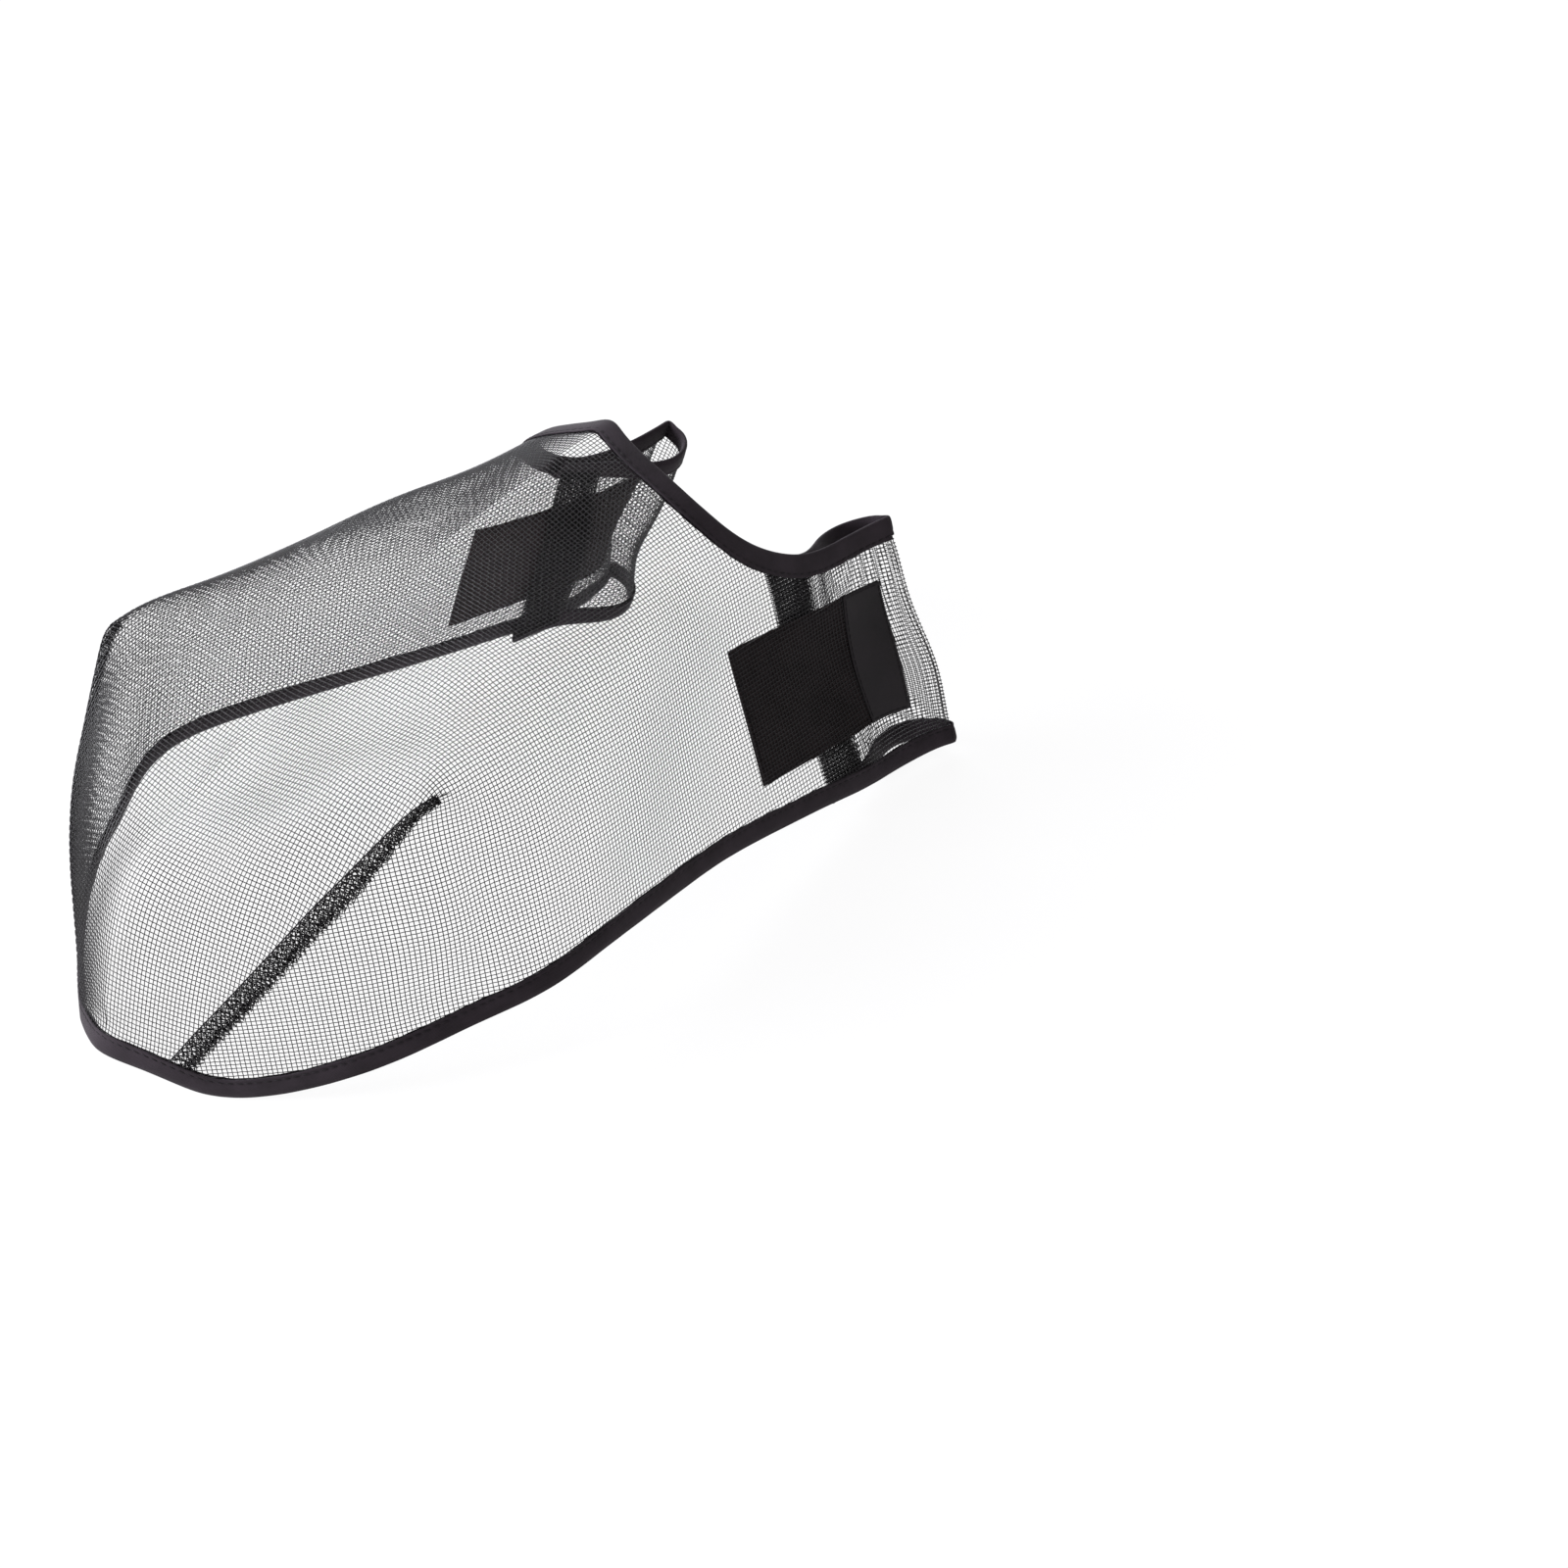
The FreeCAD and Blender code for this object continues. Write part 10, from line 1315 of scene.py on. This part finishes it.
def flap_at(u, s):
    """point and normal of the flap at u across and s along from the fold; s below 0 turns the fold's corner"""
    u, s = np.atleast_1d(np.asarray(u, float)), np.atleast_1d(np.asarray(s, float))
    sc = np.clip(s, 1.4, FLAP_LEN)
    a = (u - top_cut(sc)) / (FLAP_LOW_CUT - top_cut(sc))
    p, n = net_at(NET_FLAP, np.clip(a, 0, 1), sc / FLAP_LEN)
    m = s < 1.4
    if m.any():
        p0, n0 = cloth(u[m], np.full(m.sum(), FOLD_V))
        back = unit(p0 - cloth(u[m], np.full(m.sum(), FOLD_V + 6.0))[0])
        t = np.clip((s[m] + 1.5) / 2.9, 0, 1)[:, None]
        # a short quarter turn from the wall (t = 0) to the flap (t = 1)
        c0, c3 = p0, p[m]
        c1 = p0 + back * 0.7
        h = 0.8
        q1 = net_at(NET_FLAP, np.clip(a[m], 0, 1), (sc[m] + h) / FLAP_LEN)[0]
        c2 = c3 - unit(q1 - c3) * 0.9
        p[m] = (1 - t) ** 3 * c0 + 3 * (1 - t) ** 2 * t * c1 + 3 * (1 - t) * t * t * c2 + t ** 3 * c3
        w = t * t * (3 - 2 * t)
        # the outside of the wall turns into the side of the flap that faces away from the wall
        n[m] = unit((1 - w) * -n0 + w * n[m] + 1e-6)
    return p, n


def fold_blend(ob):
    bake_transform(ob)


us = np.linspace(79.5, 159.5, 21)
fp, fn = cloth(us, np.full(21, FOLD_V))
FOLD_AX = unit(fp[-1] - fp[0])
ahead = -(fp - cloth(us, np.full(21, FOLD_V + 6.0))[0]).mean(0)
ahead = unit(ahead - FOLD_AX * (ahead @ FOLD_AX))
inward = np.cross(FOLD_AX, ahead)
if inward @ -fn.mean(0) < 0:
    inward = -inward


def flap_threads(th, lift=0.0, s_lo=-1.5, s_hi=None, u_in=(0.0, 0.0), phase=(0.0, 0.0), ragged=0.0, noend=False):
    s_hi = FLAP_LEN if s_hi is None else s_hi
    for k in range(40, 125):
        u = k * PITCH_U + U0 + phase[0] + gaps(k)
        g = np.linspace(max(s_lo, -1.5), s_hi, max(2, int((s_hi - s_lo) / (PITCH_V / 2)) + 1))
        ok = (u > top_cut(np.clip(g, 0, FLAP_LEN)) + u_in[0]) & (u < FLAP_LOW_CUT - u_in[1])
        g = g[ok]
        if len(g) < 3:
            continue
        node_s = [x for x in g if x < 1.6][::1]
        j = np.arange(math.ceil(max(g[0], 1.6) / PITCH_V), math.floor(g[-1] / PITCH_V) + 1)
        ss = j * PITCH_V + phase[1]
        ss = ss[(ss > max(g[0], 1.7)) & (ss < g[-1] - 0.3)]
        full = np.unique(np.r_[node_s, ss, g[-1]])
        p, n = flap_at(np.full(len(full), u), full)
        sg = np.where((np.round(full / PITCH_V).astype(int) + k) % 2 == 0, 1.0, -1.0) * (full > 1.7)
        th.add(p + n * (lift + sg * CRIMP)[:, None], n, YARN_R)
    for j in range(0, int(FLAP_LEN / PITCH_V) + 2):
        s = j * PITCH_V + phase[1]
        if s < s_lo or s > s_hi:
            continue
        a, b = float(top_cut(s)) + u_in[0], FLAP_LOW_CUT - u_in[1]
        k, uu = nodes_between(a, b, PITCH_U, U0 + phase[0])
        uu = uu + np.array([gaps(x) for x in k])
        full = np.r_[a, uu, b]
        p, n = flap_at(full, np.full(len(full), s))
        sg = np.r_[0, np.where((j + k) % 2 == 0, -1.0, 1.0), 0]
        th.add(p + n * (lift + sg * CRIMP)[:, None], n, YARN_R)


def flap_tape_stations(rows, u_of, near_st, front):
    """tape stations along a flap edge, led round the fold from the end of the main hem"""
    st = stations(rows)
    a = near_st[:9].copy()
    z = st[3]
    lead = []
    m = 7
    p0, p3 = a[:3], z[:3]
    t0 = front
    t3 = unit(st[4, :3] - st[3, :3])
    L = np.linalg.norm(p3 - p0)
    c1, c2 = p0 + t0 * L * 0.42, p3 - t3 * L * 0.42
    for i in range(m):
        t = i / m
        p = (1 - t) ** 3 * p0 + 3 * (1 - t) ** 2 * t * c1 + 3 * (1 - t) * t * t * c2 + t ** 3 * p3
        b = unit((1 - t) * a[3:6] + t * z[3:6])
        tg = unit(3 * (1 - t) ** 2 * (c1 - p0) + 6 * (1 - t) * t * (c2 - c1) + 3 * t * t * (p3 - c2))
        n = unit(np.cross(tg, b))
        lead.append(np.r_[p, b, n])
    nz = unit(np.cross(t3, z[3:6]))
    sg = 1.0 if nz @ z[6:9] > 0 else -1.0
    for x in lead:
        x[6:9] *= sg
    return np.r_[np.array(lead), st[3:]]


for side, mirror in sides:
    th = Threads()
    flap_threads(th)
    ob = tube_mesh("flap_mesh_threads_" + side, th, mirror=mirror)
    done(ob, M_YARN, None, "insect_mesh", "flap_mesh_" + side)
    fold_blend(ob)
    # the main hems end at +X with station 0 (lower) or 0 (top); both run from +X to -X
    for nm, rows, near, w, cad in (("upper", HEM_FTOP, ST_TOP, TOP_W, "flap_upper_tape_"), ("lower", HEM_FBOT, ST_LOW, LOW_W, "flap_lower_tape_")):
        front = unit(near[0, :3] - near[3, :3])
        st = flap_tape_stations(rows, None, near[0], front)
        ob = tape_mesh("flap_%s_tape_folded_%s" % (nm, side), st, LOW_W if nm == "lower" else LOW_W, mirror)
        done(ob, M_TAPE, None, "binding_tape", cad + side)
        fold_blend(ob)
    # end hem: the mesh turned in on itself, several layers deep
    th = Threads()
    for i in range(5):
        flap_threads(th, lift=-(0.42 + 0.30 * i), s_lo=HEM_S, s_hi=FLAP_LEN - 0.15 * (i % 2), u_in=(2.0, 2.0), phase=(0.71 * ((i * 2) % 3 - 0.6), 0.53 * ((i + 1) % 3) + 0.2))
    ob = tube_mesh("flap_end_hem_layers_" + side, th, mirror=mirror)
    # the end hem layers take the darker yarn: painted shade between the layers
    done(ob, M_YARN_LAYER_SHADE, side + "_tab", "layered_mesh", "flap_end_hem_" + side)
    th = Threads()
    for s0, off_ in ((HEM_S + 1.3, 0.0), (FLAP_LEN - 2.0, 0.0)):
        uu = np.linspace(float(top_cut(s0)) + 7.0, FLAP_LOW_CUT - 6.0, 60)
        p, n = flap_at(uu, np.full(60, s0))
        stitches(th, p - n * 1.95, -n, None)
        stitches(th, p + n * 0.30, n, None)
    ob = tube_mesh("flap_end_lockstitch_" + side, th, sides=6, mirror=mirror)
    done(ob, M_THREAD, side + "_tab", "sewing_thread", "flap_end_stitching_" + side)
    # hook patch with rows of small hooks
    ob = slab_mesh("hook_patch_base_" + side, NET_HOOK, HOOK, 0.28, 0.62, 1, mirror, 46, 18, relief=0.0, round_mm=0.3)
    done(ob, M_HOOK, side + "_tab", "hook_tape", "hook_patch_" + side)
    th = Threads()
    na, nb = int(HOOK[0] / 1.5), int(HOOK[1] / 1.2)
    for i in range(na):
        for j in range(nb):
            a = (i + 0.5 + 0.2 * math.sin(j * 2.1)) / na
            b = (j + 0.5 + (0.25 if i % 2 else -0.25)) / nb
            if not (0.03 < a < 0.97 and 0.08 < b < 0.92):
                continue
            p, n = net_at(NET_HOOK, a, b)
            tdir = unit(net_at(NET_HOOK, a, min(1.0, b + 0.05))[0] - p)
            h = np.array([0.55, 0.85, 0.98, 0.92])
            o = np.array([0.0, 0.02, 0.16, 0.30])
            th.add(p + n * h[:, None] + tdir * o[:, None] * (1 if i % 2 else -1), np.repeat(np.cross(n, tdir), 4, 0), 0.07)
    ob = tube_mesh("hook_patch_hooks_" + side, th, sides=4, mirror=mirror)
    done(ob, M_HOOK, side + "_tab", "hook_tape")

# ---- floor, light, camera ------------------------------------------------------------------------------
def floor():
    me = bpy.data.meshes.new("studio_floor")
    r = 3.0
    me.from_pydata([(-r, -r, 0), (r, -r, 0), (r, r, 0), (-r, r, 0)], [], [(0, 1, 2, 3)])
    ob = bpy.data.objects.new("studio_floor", me)
    bpy.context.scene.collection.objects.link(ob)
    ob.location.z = -0.0003
    m, nt, bs = mat("studio_white", (0.12, 0.12, 0.12), 0.9, 0.0)
    co = node(nt, "ShaderNodeTexCoord").outputs["Object"]
    tone = ramp(nt, noise(nt, co, 2.0), [(0.3, (0.985, 0.983, 0.985)), (0.7, (1.0, 0.998, 1.0))])
    # a lit studio table: it gives its own even light, so the net throws next to no shadow on it
    nt.links.new(tone, bs.inputs["Emission Color"])
    bs.inputs["Emission Strength"].default_value = 0.93
    nt.links.new(ramp(nt, noise(nt, co, 2.0), [(0.3, (0.065, 0.065, 0.066)), (0.7, (0.07, 0.07, 0.07))]), bs.inputs["Base Color"])
    me.materials.append(m)
    return ob


floor()
world = bpy.data.worlds.new("studio")
world.use_nodes = True
bpy.context.scene.world = world
world.node_tree.nodes["Background"].inputs["Color"].default_value = (1.0, 0.995, 1.0, 1)
world.node_tree.nodes["Background"].inputs["Strength"].default_value = 0.55


def area_light(name, at, to, size, power):
    li = bpy.data.lights.new(name, "AREA")
    li.shape = "RECTANGLE"
    li.size, li.size_y = size
    li.energy = power
    ob = bpy.data.objects.new(name, li)
    bpy.context.scene.collection.objects.link(ob)
    ob.location = at
    li.color = (0.93, 0.95, 1.0)
    d = np.array(to, float) - np.array(at, float)
    from mathutils import Vector
    ob.rotation_mode = "QUATERNION"
    ob.rotation_quaternion = Vector(d).to_track_quat("-Z", "Y")
    return ob


area_light("key_softbox", (-1.15, -1.5, 1.0), (0, 0, 0.05), (1.3, 1.1), 110.0)
area_light("back_softbox", (-1.5, 1.1, 1.2), (0, 0, 0.05), (1.6, 1.1), 35.0)

cam_data = bpy.data.cameras.new("camera")
cam_data.sensor_width = 36.0
cam_data.lens = 78.75
cam_data.clip_start, cam_data.clip_end = 0.05, 20.0
cam = bpy.data.objects.new("camera", cam_data)
bpy.context.scene.collection.objects.link(cam)
rx, ry, rz = CAM_AXES
cam.matrix_world = Matrix(((rx[0], ry[0], rz[0], CAM_AT[0] * MM), (rx[1], ry[1], rz[1], CAM_AT[1] * MM), (rx[2], ry[2], rz[2], CAM_AT[2] * MM), (0, 0, 0, 1)))
bpy.context.scene.camera = cam
bpy.context.scene.view_settings.view_transform = "Standard"
bpy.context.scene.view_settings.look = "None"
